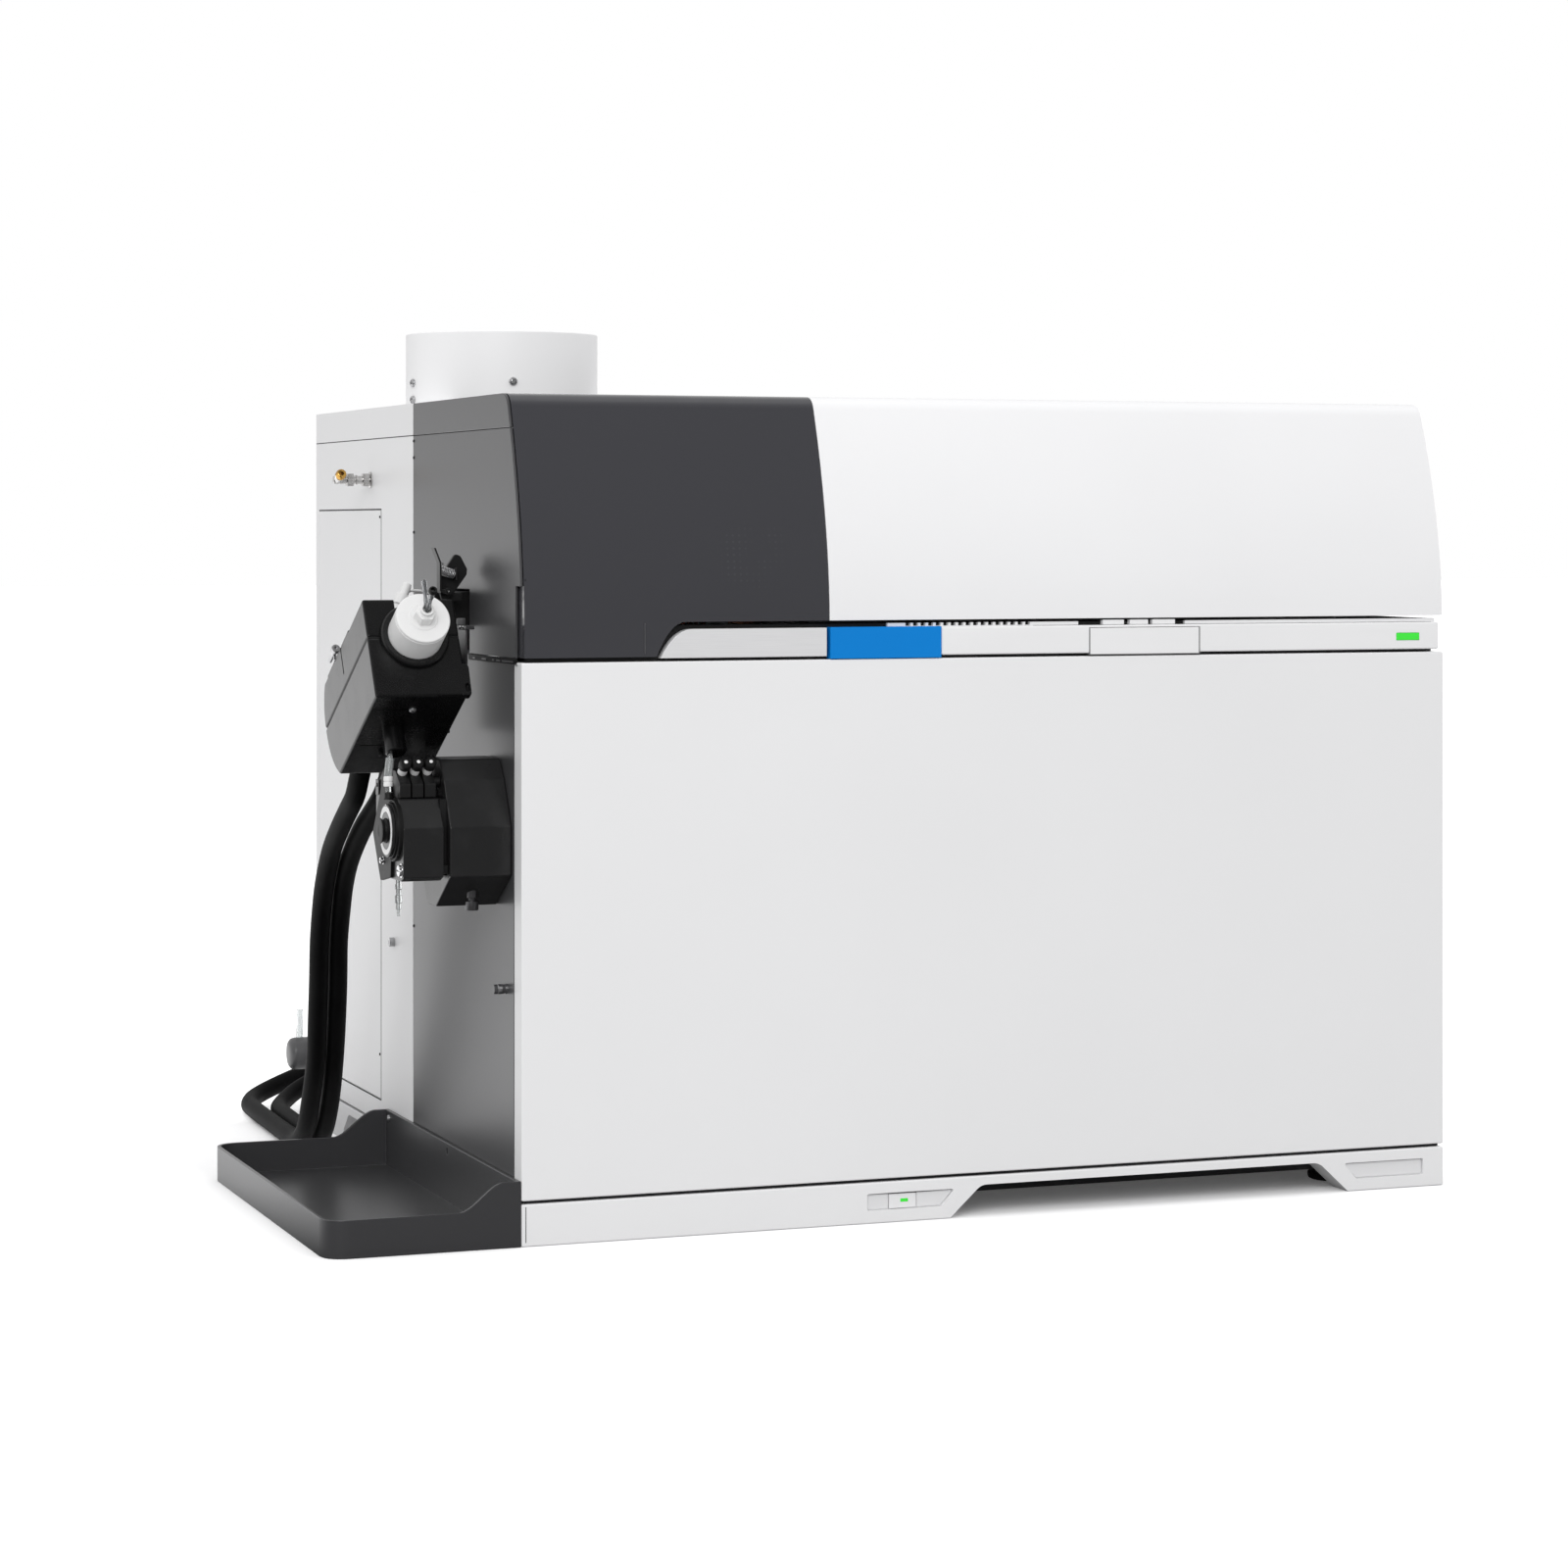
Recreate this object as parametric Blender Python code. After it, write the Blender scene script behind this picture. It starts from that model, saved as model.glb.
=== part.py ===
"""Bench-top inductively coupled plasma mass spectrometer, as separate pieces.

Metres, +Z up. Inside the script the cabinet's front left bottom corner is the origin, X runs
right, Y runs back. One empty carries everything and puts the origin under the middle of the whole.
"""
import math

import bmesh
import bpy
from mathutils import Matrix, Vector

# Cabinet
BODY_WIDTH = 0.730
BODY_DEPTH = 0.600
BODY_HEIGHT = 0.595
GAP = 0.0003
SHEET = 0.003
THIN_SHEET = 0.002
OVERRUN = 0.012
EDGE_ROUND = 0.0012

# Base
PLINTH_HEIGHT = 0.0295
PLINTH_DEPTH = 0.025
SIDE_PLINTH_WIDTH = 0.020
DECK_THICKNESS = 0.0017
DECK_SETBACK = 0.003
PAN_BOTTOM = 0.014
PAN_RAIL_WIDTH = 0.028
PAN_TOP_WALL = 0.004
FOOT_RADIUS = 0.020
FOOT_INSET = 0.060
ARCH_LEFT = 0.3226
ARCH_RIGHT_INSET = 0.0814
ARCH_RIGHT = BODY_WIDTH - ARCH_RIGHT_INSET
ARCH_HEIGHT = 0.023
ARCH_SLANT = 0.025
SIDE_ARCH_FRONT = 0.350
SIDE_ARCH_BACK_INSET = 0.055
SIDE_ARCH_BACK = BODY_DEPTH - SIDE_ARCH_BACK_INSET
RECESS_DEPTH = 0.003
RECESS_BOTTOM = 0.0093
RECESS_TOP = 0.0215
RECESS_SLANT = 0.011
LEFT_RECESS = (0.2585, 0.327)
RIGHT_RECESS_OFFSETS = (0.0856, 0.0175)
RIGHT_RECESS = (BODY_WIDTH - RIGHT_RECESS_OFFSETS[0], BODY_WIDTH - RIGHT_RECESS_OFFSETS[1])
BUTTON_WIDTH = 0.021
BUTTON_HEIGHT = 0.0104
BUTTON_LEFT = 0.276
BUTTON_BOTTOM = 0.0098
BUTTON_PROUD = 0.0012
BUTTON_LENGTH = 0.0075
BUTTON_POCKET = 0.0125

# Panels
COVER_HEIGHT = 0.1615
COVER_BOTTOM = BODY_HEIGHT - COVER_HEIGHT
PANEL_TOP_DROP = 0.0277
PANEL_TOP = COVER_BOTTOM - PANEL_TOP_DROP
RETURN_DEPTH = 0.0184
STRIP_BOTTOM_DROP = 0.0255
STRIP_BOTTOM = COVER_BOTTOM - STRIP_BOTTOM_DROP
STRIP_TOP_DROP = 0.005
STRIP_TOP = COVER_BOTTOM - STRIP_TOP_DROP
STRIP_THICKNESS = 0.008
HOOD_BOTTOM_DROP = 0.0245
HOOD_BOTTOM = COVER_BOTTOM - HOOD_BOTTOM_DROP
SPLIT_X = 0.230
CAP_SEAM_DROP = 0.0245
CAP_SEAM = BODY_HEIGHT - CAP_SEAM_DROP
COVER_BACK = 0.236
HINGE_AXIS_Y_OFFSET = 0.004
HINGE_AXIS_Y = COVER_BACK + HINGE_AXIS_Y_OFFSET
HINGE_AXIS_Z_DROP = 0.0045
HINGE_AXIS_Z = BODY_HEIGHT - HINGE_AXIS_Z_DROP
TOP_FRONT_OFFSET = 0.008
TOP_FRONT = COVER_BACK + TOP_FRONT_OFFSET
DARK_CAP_LENGTH = 0.0447
DARK_DEPTH = TOP_FRONT + DARK_CAP_LENGTH
SIDE_SPLIT_Z_DROP = 0.0025
SIDE_SPLIT_Z = COVER_BOTTOM - SIDE_SPLIT_Z_DROP
COVER_WALL = 0.003
FLANGE_WIDTH = 0.020
NOSE_SET = 0.0017
NOSE_LEAN = 0.0361
NOSE_POWER = 1.81
NOSE_TOP_Z_DROP = 0.009
NOSE_TOP_Z = BODY_HEIGHT - NOSE_TOP_Z_DROP
NOSE_CORNER_Y = 0.0485
DOOR_FRONT = 0.385
DOOR_BACK_INSET = 0.011
DOOR_BACK = BODY_DEPTH - DOOR_BACK_INSET
DOOR_BOTTOM = 0.0495
DOOR_TOP_DROP = 0.0805
DOOR_TOP = BODY_HEIGHT - DOOR_TOP_DROP
CUTOUT_FRONT = 0.132
CUTOUT_BACK = 0.215
CUTOUT_TOP_RISE = 0.0215
CUTOUT_TOP = COVER_BOTTOM + CUTOUT_TOP_RISE
EDGE_SLOT_Y = 0.0148
EDGE_SLOT_TOP_RISE = 0.0255
EDGE_SLOT_TOP = COVER_BOTTOM + EDGE_SLOT_TOP_RISE

# Front strip
NAMEPLATE_WIDTH = 0.086
NAMEPLATE_BOTTOM_DROP = 0.0018
NAMEPLATE_BOTTOM = STRIP_BOTTOM - NAMEPLATE_BOTTOM_DROP
NAMEPLATE_PROUD = 0.0006
STRIP_END_INSET = 0.004
TRIM_LEFT = 0.102
TRIM_ARC_X = 0.1257
TRIM_RIGHT_INSET = 0.0025
TRIM_RIGHT = SPLIT_X - TRIM_RIGHT_INSET
NOTCH_LEFT = 0.0997
NOTCH_ARC_X = 0.1215
LATCH_LEFT_OFFSET = 0.2042
LATCH_LEFT = SPLIT_X + LATCH_LEFT_OFFSET
LATCH_RIGHT_OFFSET = 0.2938
LATCH_RIGHT = SPLIT_X + LATCH_RIGHT_OFFSET
LATCH_BOTTOM_DROP = 0.001
LATCH_BOTTOM = STRIP_BOTTOM - LATCH_BOTTOM_DROP
LATCH_TOP_DROP = 0.002
LATCH_TOP = STRIP_TOP - LATCH_TOP_DROP
LATCH_PLAY = 0.0004
LATCH_THICKNESS = 0.004
LAMP_LEFT_INSET = 0.0403
LAMP_LEFT = BODY_WIDTH - LAMP_LEFT_INSET
LAMP_WIDTH = 0.0193
LAMP_BOTTOM_RISE = 0.007
LAMP_BOTTOM = STRIP_BOTTOM + LAMP_BOTTOM_RISE
LAMP_HEIGHT = 0.0053
LAMP_DEPTH = 0.002
LAMP_PROUD = 0.0003
RAIL_DEPTH = 0.032
RAIL_END = 0.006
RAIL_TOP_DROP = 0.0025
RAIL_TOP = COVER_BOTTOM - RAIL_TOP_DROP
RAIL_BOTTOM = PANEL_TOP + GAP
RAIL_WALL = 0.0025
VENT_COUNT = 17
VENT_LEFT_OFFSET = 0.060
VENT_LEFT = SPLIT_X + VENT_LEFT_OFFSET
VENT_PITCH = 0.0059
VENT_WIDTH = 0.0038

# Exhaust
COLLAR_RADIUS = 0.075
COLLAR_WALL = 0.0018
COLLAR_TOP_RISE = 0.056
COLLAR_TOP = BODY_HEIGHT + COLLAR_TOP_RISE
COLLAR_X = 0.087
COLLAR_Y = 0.345
DUCT_PORT_WIDTH = 0.090

# Hinges
HINGE_ROD_RADIUS = 0.0015
KNUCKLE_RADIUS = 0.0035
KNUCKLE_WIDTH = 0.024
KNUCKLE_INSET = 0.030
BRACKET_WIDTH = 0.010
BRACKET_HEIGHT = 0.008

# Inside
BULKHEAD_X = SPLIT_X
BULKHEAD_THICKNESS = 0.004
BULKHEAD_FRONT = 0.044
BULKHEAD_NOSE_Z_RISE = 0.0465
BULKHEAD_NOSE_Z = COVER_BOTTOM + BULKHEAD_NOSE_Z_RISE
BULKHEAD_NOSE_Y = 0.084
BULKHEAD_TOP_DROP = 0.033
BULKHEAD_TOP = BODY_HEIGHT - BULKHEAD_TOP_DROP
BULKHEAD_BACK_INSET = 0.010
BULKHEAD_BACK = BODY_DEPTH - BULKHEAD_BACK_INSET
ION_AXIS_Y = 0.165
ION_AXIS_Z_RISE = 0.0065
ION_AXIS_Z = COVER_BOTTOM + ION_AXIS_Z_RISE
TORCH_BOX_LEFT = 0.024
TORCH_BOX_FRONT = 0.062
TORCH_BOX_BACK = 0.424
TORCH_BOX_BOTTOM_DROP = 0.0215
TORCH_BOX_BOTTOM = COVER_BOTTOM - TORCH_BOX_BOTTOM_DROP
TORCH_BOX_TOP_DROP = 0.031
TORCH_BOX_TOP = BODY_HEIGHT - TORCH_BOX_TOP_DROP
TORCH_RADIUS = 0.010
TORCH_WALL = 0.001
TORCH_INJECTOR = 0.002
TORCH_END = 0.196
TORCH_PLUG_LENGTH = 0.034
COIL_RADIUS = 0.0145
COIL_TUBE = 0.0016
COIL_TURNS = 3
COIL_START = 0.172
COIL_LENGTH = 0.017
CONE_RADIUS = 0.032
CONE_THICKNESS = 0.008
CONE_TIP = 0.022
CONE_TIP_RADIUS = 0.003
CONE_SHOULDER = 0.016
CHAMBER_X_OFFSETS = (0.0043, 0.040)
CHAMBER_X = (BULKHEAD_X + CHAMBER_X_OFFSETS[0], BODY_WIDTH - CHAMBER_X_OFFSETS[1])
CHAMBER_Y_REACH = 0.070
CHAMBER_Y = (ION_AXIS_Y - CHAMBER_Y_REACH, ION_AXIS_Y + CHAMBER_Y_REACH)
CHAMBER_Z_REACH = 0.065
CHAMBER_Z = (ION_AXIS_Z - CHAMBER_Z_REACH, ION_AXIS_Z + CHAMBER_Z_REACH)
CHAMBER_WALL = 0.012
BEAM_RADIUS = 0.012
THROAT_RADIUS = 0.045
OPTICS_WIDTH = 0.040
OPTICS_BASE = 0.008
LENS_X_OFFSETS = (0.0237, 0.1007)
LENS_X = (CHAMBER_X[0] + LENS_X_OFFSETS[0], CHAMBER_X[0] + LENS_X_OFFSETS[1])
LENS_COUNT = 4
LENS_THICKNESS = 0.004
LENS_TOP_RISE = 0.022
LENS_TOP = ION_AXIS_Z + LENS_TOP_RISE
LENS_BORE = 0.004
ROD_X_OFFSETS = (0.015, 0.130)
ROD_X = (LENS_X[1] + ROD_X_OFFSETS[0], CHAMBER_X[1] - ROD_X_OFFSETS[1])
ROD_RADIUS = 0.0065
ROD_OFFSET = 0.010
COLLAR_PLATE = 0.010
COLLAR_PLATE_INSET = 0.024
DETECTOR_X_OFFSETS = (0.105, 0.050)
DETECTOR_X = (CHAMBER_X[1] - DETECTOR_X_OFFSETS[0], CHAMBER_X[1] - DETECTOR_X_OFFSETS[1])
PUMP_STACK_X_INSET = 0.210
PUMP_STACK_X = CHAMBER_X[1] - PUMP_STACK_X_INSET
TURBO_RADIUS = 0.065
TURBO_NECK = 0.052
TURBO_BASE = 0.090
TURBO_FLANGE = 0.014
TURBO_FOOT_RADIUS = 0.034
GENERATOR_X_INSET = 0.008
GENERATOR_X = (0.020, SPLIT_X - GENERATOR_X_INSET)
GENERATOR_Y = (0.060, 0.400)
GENERATOR_TOP = 0.200
FIN_HEIGHT = 0.030
FIN_COUNT = 7

# Rear panel
FAN_X_INSET = 0.170
FAN_X = BODY_WIDTH - FAN_X_INSET
FAN_Z_DROP = 0.295
FAN_Z = BODY_HEIGHT - FAN_Z_DROP
FAN_RADIUS = 0.055
FAN_HUB_RADIUS = 0.018
FAN_SPOKE = 0.005
FAN_RING_RADIUS = 0.036
FAN_BLADES = 7
FAN_BLADE_THICKNESS = 0.002
FAN_BLADE_CHORD = 0.020
FAN_BLADE_TILT = math.radians(52)
FAN_LENGTH = 0.020
FAN_CLEARANCE = 0.003
LOUVRE_COUNT = 8
LOUVRE_X_INSET = 0.005
LOUVRE_X = (0.120, BODY_WIDTH / 2 - LOUVRE_X_INSET)
LOUVRE_BOTTOM_DROP = 0.295
LOUVRE_BOTTOM = BODY_HEIGHT - LOUVRE_BOTTOM_DROP
LOUVRE_PITCH = 0.018
LOUVRE_HEIGHT = 0.006
INLET_X_INSET = 0.075
INLET_X = BODY_WIDTH - INLET_X_INSET
INLET_Z = 0.120
INLET_WIDTH = 0.056
INLET_HEIGHT = 0.036
INLET_PROUD = 0.005
INLET_WALL = 0.006
INLET_DEPTH = 0.022
PORT_RADIUS = 0.0095
PORT_LENGTH = 0.0077
ELBOW_X = 0.042
ELBOW_Z = 0.056
ELBOW_RADIUS = 0.0135
ELBOW_NECK_RADIUS = 0.010
ELBOW_REACH = 0.026
ELBOW_LEFT = -0.018

# Spill tray
TRAY_WIDTH = 0.1395
TRAY_DEPTH = 0.360
TRAY_WALL = 0.003
TRAY_LOW = 0.0265
TRAY_HIGH = 0.046
TRAY_CORNER = 0.016
TRAY_CURVE_X = (-0.0455, -0.012)

# Spray chamber box, in its own tilted frame: Y runs along its length, Z through its height
BOX_TILT = math.radians(-30)
BOX_CORNER_Y = 0.0153
BOX_CORNER_Z_DROP = 0.0565
BOX_CORNER_Z = ION_AXIS_Z - BOX_CORNER_Z_DROP
BOX_LEFT = -0.100
BOX_RIGHT = -0.034
BOX_LENGTH = 0.127
BOX_HEIGHT = 0.0768
BOX_BULGE = 0.013
BOX_FLOOR_LENGTH = 0.119
BOX_SEAM = 0.0465
BOX_BULGE_SHARE = 0.6
BORE_X = -0.0665
BORE_RADIUS = 0.0203
BORE_DEPTH = 0.112
RING_RADIUS = 0.0245
RING_HEIGHT = 0.0042
CAP_RADIUS = 0.021
CAP_LENGTH = 0.028
CAP_RIM = 0.0022
NUT_RADIUS = 0.0072
NUT_LENGTH = 0.009
NUT_COLLAR_RADIUS = 0.0048
NUT_COLLAR_LENGTH = 0.0035
NEB_RADIUS = 0.0021
NEB_LENGTH = 0.017
NEB_SPREAD = math.radians(24)
BOSS_X = -0.076
BOSS_ALONG = 0.0518
BOSS_RADIUS = 0.0075
BOSS_LENGTH = 0.018
BOSS_ROOT = 0.004

# Torch clamp and its clip
BLOCK_FRONT = 0.140
BLOCK_BACK = 0.198
BLOCK_BOTTOM_DROP = 0.012
BLOCK_BOTTOM = ION_AXIS_Z - BLOCK_BOTTOM_DROP
BLOCK_TOP_RISE = 0.0135
BLOCK_TOP = ION_AXIS_Z + BLOCK_TOP_RISE
BLOCK_LEFT = -0.020
ARM_FRONT = 0.112
ARM_BACK = 0.160
ARM_BOTTOM_DROP = 0.088
ARM_BOTTOM = ION_AXIS_Z - ARM_BOTTOM_DROP
JAW_FRONT = 0.108
JAW_MID = 0.117
JAW_BACK = 0.121
JAW_SEAT_X = -0.016
BRIDGE_X = (-0.0195, -0.009)
BRIDGE_BOTTOM_RISE = 0.0065
BRIDGE_BOTTOM = ION_AXIS_Z + BRIDGE_BOTTOM_RISE
PIVOT_X = -0.0224
PIVOT_Z_RISE = 0.0144
PIVOT_Z = ION_AXIS_Z + PIVOT_Z_RISE
PIVOT_RADIUS = 0.0010
PIVOT_EYE = 0.0026
PIVOT_CLEARANCE = 0.0002
BLADE_THICKNESS = 0.0013
SPRING_Z_RISE = 0.0275
SPRING_Z = ION_AXIS_Z + SPRING_Z_RISE
SPRING_Y = 0.1125
SPRING_COIL = 0.0036
SPRING_WIRE = 0.0004
SPRING_TURNS = 6
SPRING_SPAN = 0.0115

# Peristaltic pump
PUMP_AXIS_Y = 0.0445
PUMP_AXIS_Z_DROP = 0.1513
PUMP_AXIS_Z = ION_AXIS_Z - PUMP_AXIS_Z_DROP
PUMP_FRONT = 0.0226
PUMP_FACE_OFFSETS = (0.0317, 0.0023)
PUMP_FACE = (PUMP_AXIS_Z - PUMP_FACE_OFFSETS[0], PUMP_AXIS_Z + PUMP_FACE_OFFSETS[1])
HOUSING_LEFT = -0.045
HOUSING_TOP_RISE = 0.0483
HOUSING_TOP = PUMP_AXIS_Z + HOUSING_TOP_RISE
HOUSING_BOTTOM_DROP = 0.0557
HOUSING_BOTTOM = PUMP_AXIS_Z - HOUSING_BOTTOM_DROP
HOUSING_BACK = 0.116
HOUSING_SHARES = (
    (0.304, 1), (0.186, 0.865), (0, 0.558), (0, 0.231), (0.400, 0), (0.657, 0), (0.765, 0.231),
    (0.807, 0.356), (1, 0.548), (1, 0.644), (0.872, 0.856), (0.700, 1),
)
HEAD_LEFT = -0.0785
HEAD_RIGHT = -0.0495
HEAD_TOP_RISE = 0.0223
HEAD_TOP = PUMP_AXIS_Z + HEAD_TOP_RISE
HEAD_BACK = 0.098
HEAD_SHOULDER_Y = 0.036
HEAD_BOTTOM_DROP = 0.0347
HEAD_BOTTOM = PUMP_AXIS_Z - HEAD_BOTTOM_DROP
HEAD_FRONT_CHAMFER = 0.0074
HEAD_BACK_CHAMFER = 0.014
HEAD_BACK_RISE = 0.021
EAR_THICKNESS = 0.0012
PLATE_THICKNESS = 0.002
PLATE_REACH = 0.033
PLATE_SHARES = (
    (1.667, -0.142), (1.015, -1.142), (0.167, -1.006), (0.046, 0.342), (0.470, 0.918),
    (0.894, 0.948),
)
DISC_RADIUS = 0.0217
DISC_THICKNESS = 0.0025
DRUM_RADIUS = 0.0143
DRUM_CAVITY = 0.0155
DRUM_END_WALL = 0.002
ROLLER_COUNT = 8
SHAFT_RADIUS = 0.004
RING_DISC_RADIUS = 0.0185
RING_DISC_THICKNESS = 0.002
KNOB_RADIUS = 0.0098
KNOB_LENGTH = 0.0045
CLAMP_PITCH = 0.009
CLAMP_WIDTH = 0.0078
CLAMP_MIDDLE_X = -0.064
CLAMP_PIVOT_Y_INSET = 0.002
CLAMP_PIVOT_Y = HEAD_BACK - CLAMP_PIVOT_Y_INSET
CLAMP_PIVOT_Z_RISE = 0.0062
CLAMP_PIVOT_Z = HEAD_TOP + CLAMP_PIVOT_Z_RISE
CLAMP_PIN_RADIUS = 0.0015
CLAMP_EYE = 0.004
CLAMP_TOP_RISE = 0.019
CLAMP_TOP = HEAD_TOP + CLAMP_TOP_RISE
CLAMP_CROWN_Y = (0.050, 0.082)
CLAMP_NOSE_Z_RISE = 0.010
CLAMP_NOSE_Z = HEAD_TOP + CLAMP_NOSE_Z_RISE
ADJUSTER_RADIUS = 0.0031
ADJUSTER_KNOB_RADIUS = 0.0039
ADJUSTER_LENGTH = 0.017
ADJUSTER_KNOB_LENGTH = 0.0065
ADJUSTER_TILT = math.radians(35)
ADJUSTER_Y = 0.050
ADJUSTER_Z_RISE = 0.016
ADJUSTER_Z = HEAD_TOP + ADJUSTER_Z_RISE
THUMB_RADIUS = 0.0050
THUMB_X = -0.0229
THUMB_Y = 0.045
THUMB_REACH = 0.002
THUMB_LENGTH = 0.017

# Side fittings
FITTING_Y = 0.418
FITTING_Z_DROP = 0.057
FITTING_Z = BODY_HEIGHT - FITTING_Z_DROP
FITTING_RADIUS = 0.0032
FITTING_HEX = 0.0058
FITTING_REACH = 0.0305
FITTING_ELBOW = 0.010
PLUG_RADIUS = 0.0036
PLUG_LENGTH = 0.006
SCREW_RADIUS = 0.0034
SCREW_LENGTH = 0.0040
SCREW_STANDOFF = 0.0090
DARK_SCREW = (0.0389, 0.1754)
WHITE_SCREW = (0.3457, 0.1778)

# Hoses: routes through hand-chosen points, in metres
HOSE_DIAMETER = 0.015
HOSE_STEP = 0.030
OUTER_HOSE_ROUTE = (
    (-0.0780, 0.1420, 0.3265), (-0.0780, 0.1490, 0.3180), (-0.0770, 0.1640, 0.3050),
    (-0.0760, 0.1860, 0.2940), (-0.0750, 0.2150, 0.2790), (-0.0730, 0.2470, 0.2620),
    (-0.0710, 0.2700, 0.2460), (-0.0690, 0.2900, 0.2290), (-0.0670, 0.3060, 0.2110),
    (-0.0650, 0.3220, 0.1830), (-0.0630, 0.3330, 0.1500), (-0.0610, 0.3450, 0.1200),
    (-0.0580, 0.3620, 0.0880), (-0.0550, 0.3900, 0.0540), (-0.0520, 0.4200, 0.0260),
    (-0.0490, 0.4600, 0.0100), (-0.0470, 0.5100, 0.0078), (-0.0450, 0.5800, 0.0078),
    (-0.0430, 0.6400, 0.0078), (-0.0400, 0.6740, 0.0085), (-0.0260, 0.7000, 0.0120),
    (0.0040, 0.7120, 0.0220), (0.0400, 0.7060, 0.0360), (0.0720, 0.6880, 0.0500),
    (0.0920, 0.6560, 0.0600), (0.0970, 0.6200, 0.0620), (0.0970, 0.6083, 0.0620),
)
INNER_HOSE_ROUTE = (
    (-0.0560, 0.1420, 0.3265), (-0.0560, 0.1490, 0.3180), (-0.0565, 0.1640, 0.3050),
    (-0.0565, 0.1880, 0.2930), (-0.0570, 0.2180, 0.2780), (-0.0560, 0.2490, 0.2610),
    (-0.0550, 0.2730, 0.2450), (-0.0530, 0.2940, 0.2280), (-0.0510, 0.3100, 0.2100),
    (-0.0490, 0.3270, 0.1820), (-0.0470, 0.3370, 0.1500), (-0.0450, 0.3490, 0.1200),
    (-0.0420, 0.3680, 0.0870), (-0.0380, 0.3960, 0.0530), (-0.0350, 0.4250, 0.0260),
    (-0.0310, 0.4620, 0.0100), (-0.0290, 0.5100, 0.0078), (-0.0270, 0.5800, 0.0078),
    (-0.0240, 0.6300, 0.0078), (-0.0160, 0.6560, 0.0100), (0.0040, 0.6760, 0.0190),
    (0.0320, 0.6780, 0.0320), (0.0560, 0.6640, 0.0460), (0.0690, 0.6400, 0.0570),
    (0.0720, 0.6190, 0.0620), (0.0720, 0.6083, 0.0620),
)

# Drain tube, from the box's boss to the pump: a route through hand-chosen points
DRAIN_RADIUS = 0.0018
DRAIN_STEP = 0.004
DRAIN_DROPS = (
    (-0.0803, 0.0522, 0.2551), (-0.0804, 0.0519, 0.2569), (-0.0815, 0.0502, 0.2640),
    (-0.0821, 0.0500, 0.2680), (-0.0823, 0.0496, 0.2740), (-0.0822, 0.0490, 0.2800),
    (-0.0822, 0.0486, 0.2836),
)
DRAIN_ROUTE = tuple((x, y, BODY_HEIGHT - drop) for x, y, drop in DRAIN_DROPS)
TAIL_X = -0.072
TAIL_Y = 0.060
TAIL_END_INSET = 0.027
TAIL_END = HEAD_BOTTOM - TAIL_END_INSET

# Facets
ROUND_STEPS = 20
FINE_STEPS = 28
COLLAR_STEPS = 40
SMALL_STEPS = 12
PROFILE_STEPS = 12
SMOOTH_ANGLE = math.radians(35)
CUT_FACTOR = 1.6

# Colours
WHITE = (0.80, 0.80, 0.80)
SIDE_GREY = (0.060, 0.060, 0.063)
SMOKE = (0.045, 0.045, 0.050)
BLACK = (0.014, 0.014, 0.015)
STEEL = (0.60, 0.60, 0.61)
BLUE = (0.006, 0.209, 0.597)
GREEN = (0.03, 0.61, 0.03)
AMBER = (0.68, 0.38, 0.05)
GLASS = (0.75, 0.80, 0.82)
COPPER = (0.72, 0.33, 0.18)

AXES = {"X": (1, 2, 0), "Y": (0, 2, 1), "Z": (0, 1, 2)}


def clear_scene():
    for thing in list(bpy.data.objects):
        bpy.data.objects.remove(thing, do_unlink=True)


def finish_material(name, colour, roughness, metallic):
    """One Principled finish for each piece."""
    finish = bpy.data.materials.new(name)
    finish.use_nodes = True
    shader = finish.node_tree.nodes["Principled BSDF"]
    shader.inputs["Base Color"].default_value = (*colour, 1.0)
    shader.inputs["Roughness"].default_value = roughness
    shader.inputs["Metallic"].default_value = metallic
    return finish


class Maker:
    """Makes objects in one frame, which is a parent empty, and cuts or joins them."""

    def __init__(self, frame):
        self.frame = frame

    def piece(self, name, shape, finish, pivot=(0, 0, 0), smooth=True):
        """A named sub-part, with its origin at the pivot."""
        shape.transform(Matrix.Translation(-Vector(pivot)))
        mesh = bpy.data.meshes.new(name)
        shape.to_mesh(mesh)
        shape.free()
        item = bpy.data.objects.new(name, mesh)
        bpy.context.scene.collection.objects.link(item)
        item.parent = self.frame
        item.location = pivot
        if finish is not None:
            mesh.materials.append(finish_material(name, *finish))
        if smooth:
            mesh.shade_smooth()
            mesh.set_sharp_from_angle(angle=SMOOTH_ANGLE)
        return item

    def operand(self, item, shape, operation):
        """A hidden guide that a Boolean adds to a piece or takes away from it."""
        guide = self.piece(item.name + "_guide", shape, None, smooth=False)
        guide.hide_render = True
        guide.display_type = "WIRE"
        step = item.modifiers.new(operation.lower(), "BOOLEAN")
        step.operation = operation
        step.solver = "EXACT"
        step.object = guide

    def cut(self, item, shape):
        self.operand(item, shape, "DIFFERENCE")

    def add(self, item, shape):
        self.operand(item, shape, "UNION")


def soften(item, width, segments=2):
    """Rounds the sharp edges of a piece."""
    rounding = item.modifiers.new("edges", "BEVEL")
    rounding.width = width
    rounding.segments = segments
    rounding.limit_method = "ANGLE"
    rounding.angle_limit = SMOOTH_ANGLE
    rounding.use_clamp_overlap = True


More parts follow.
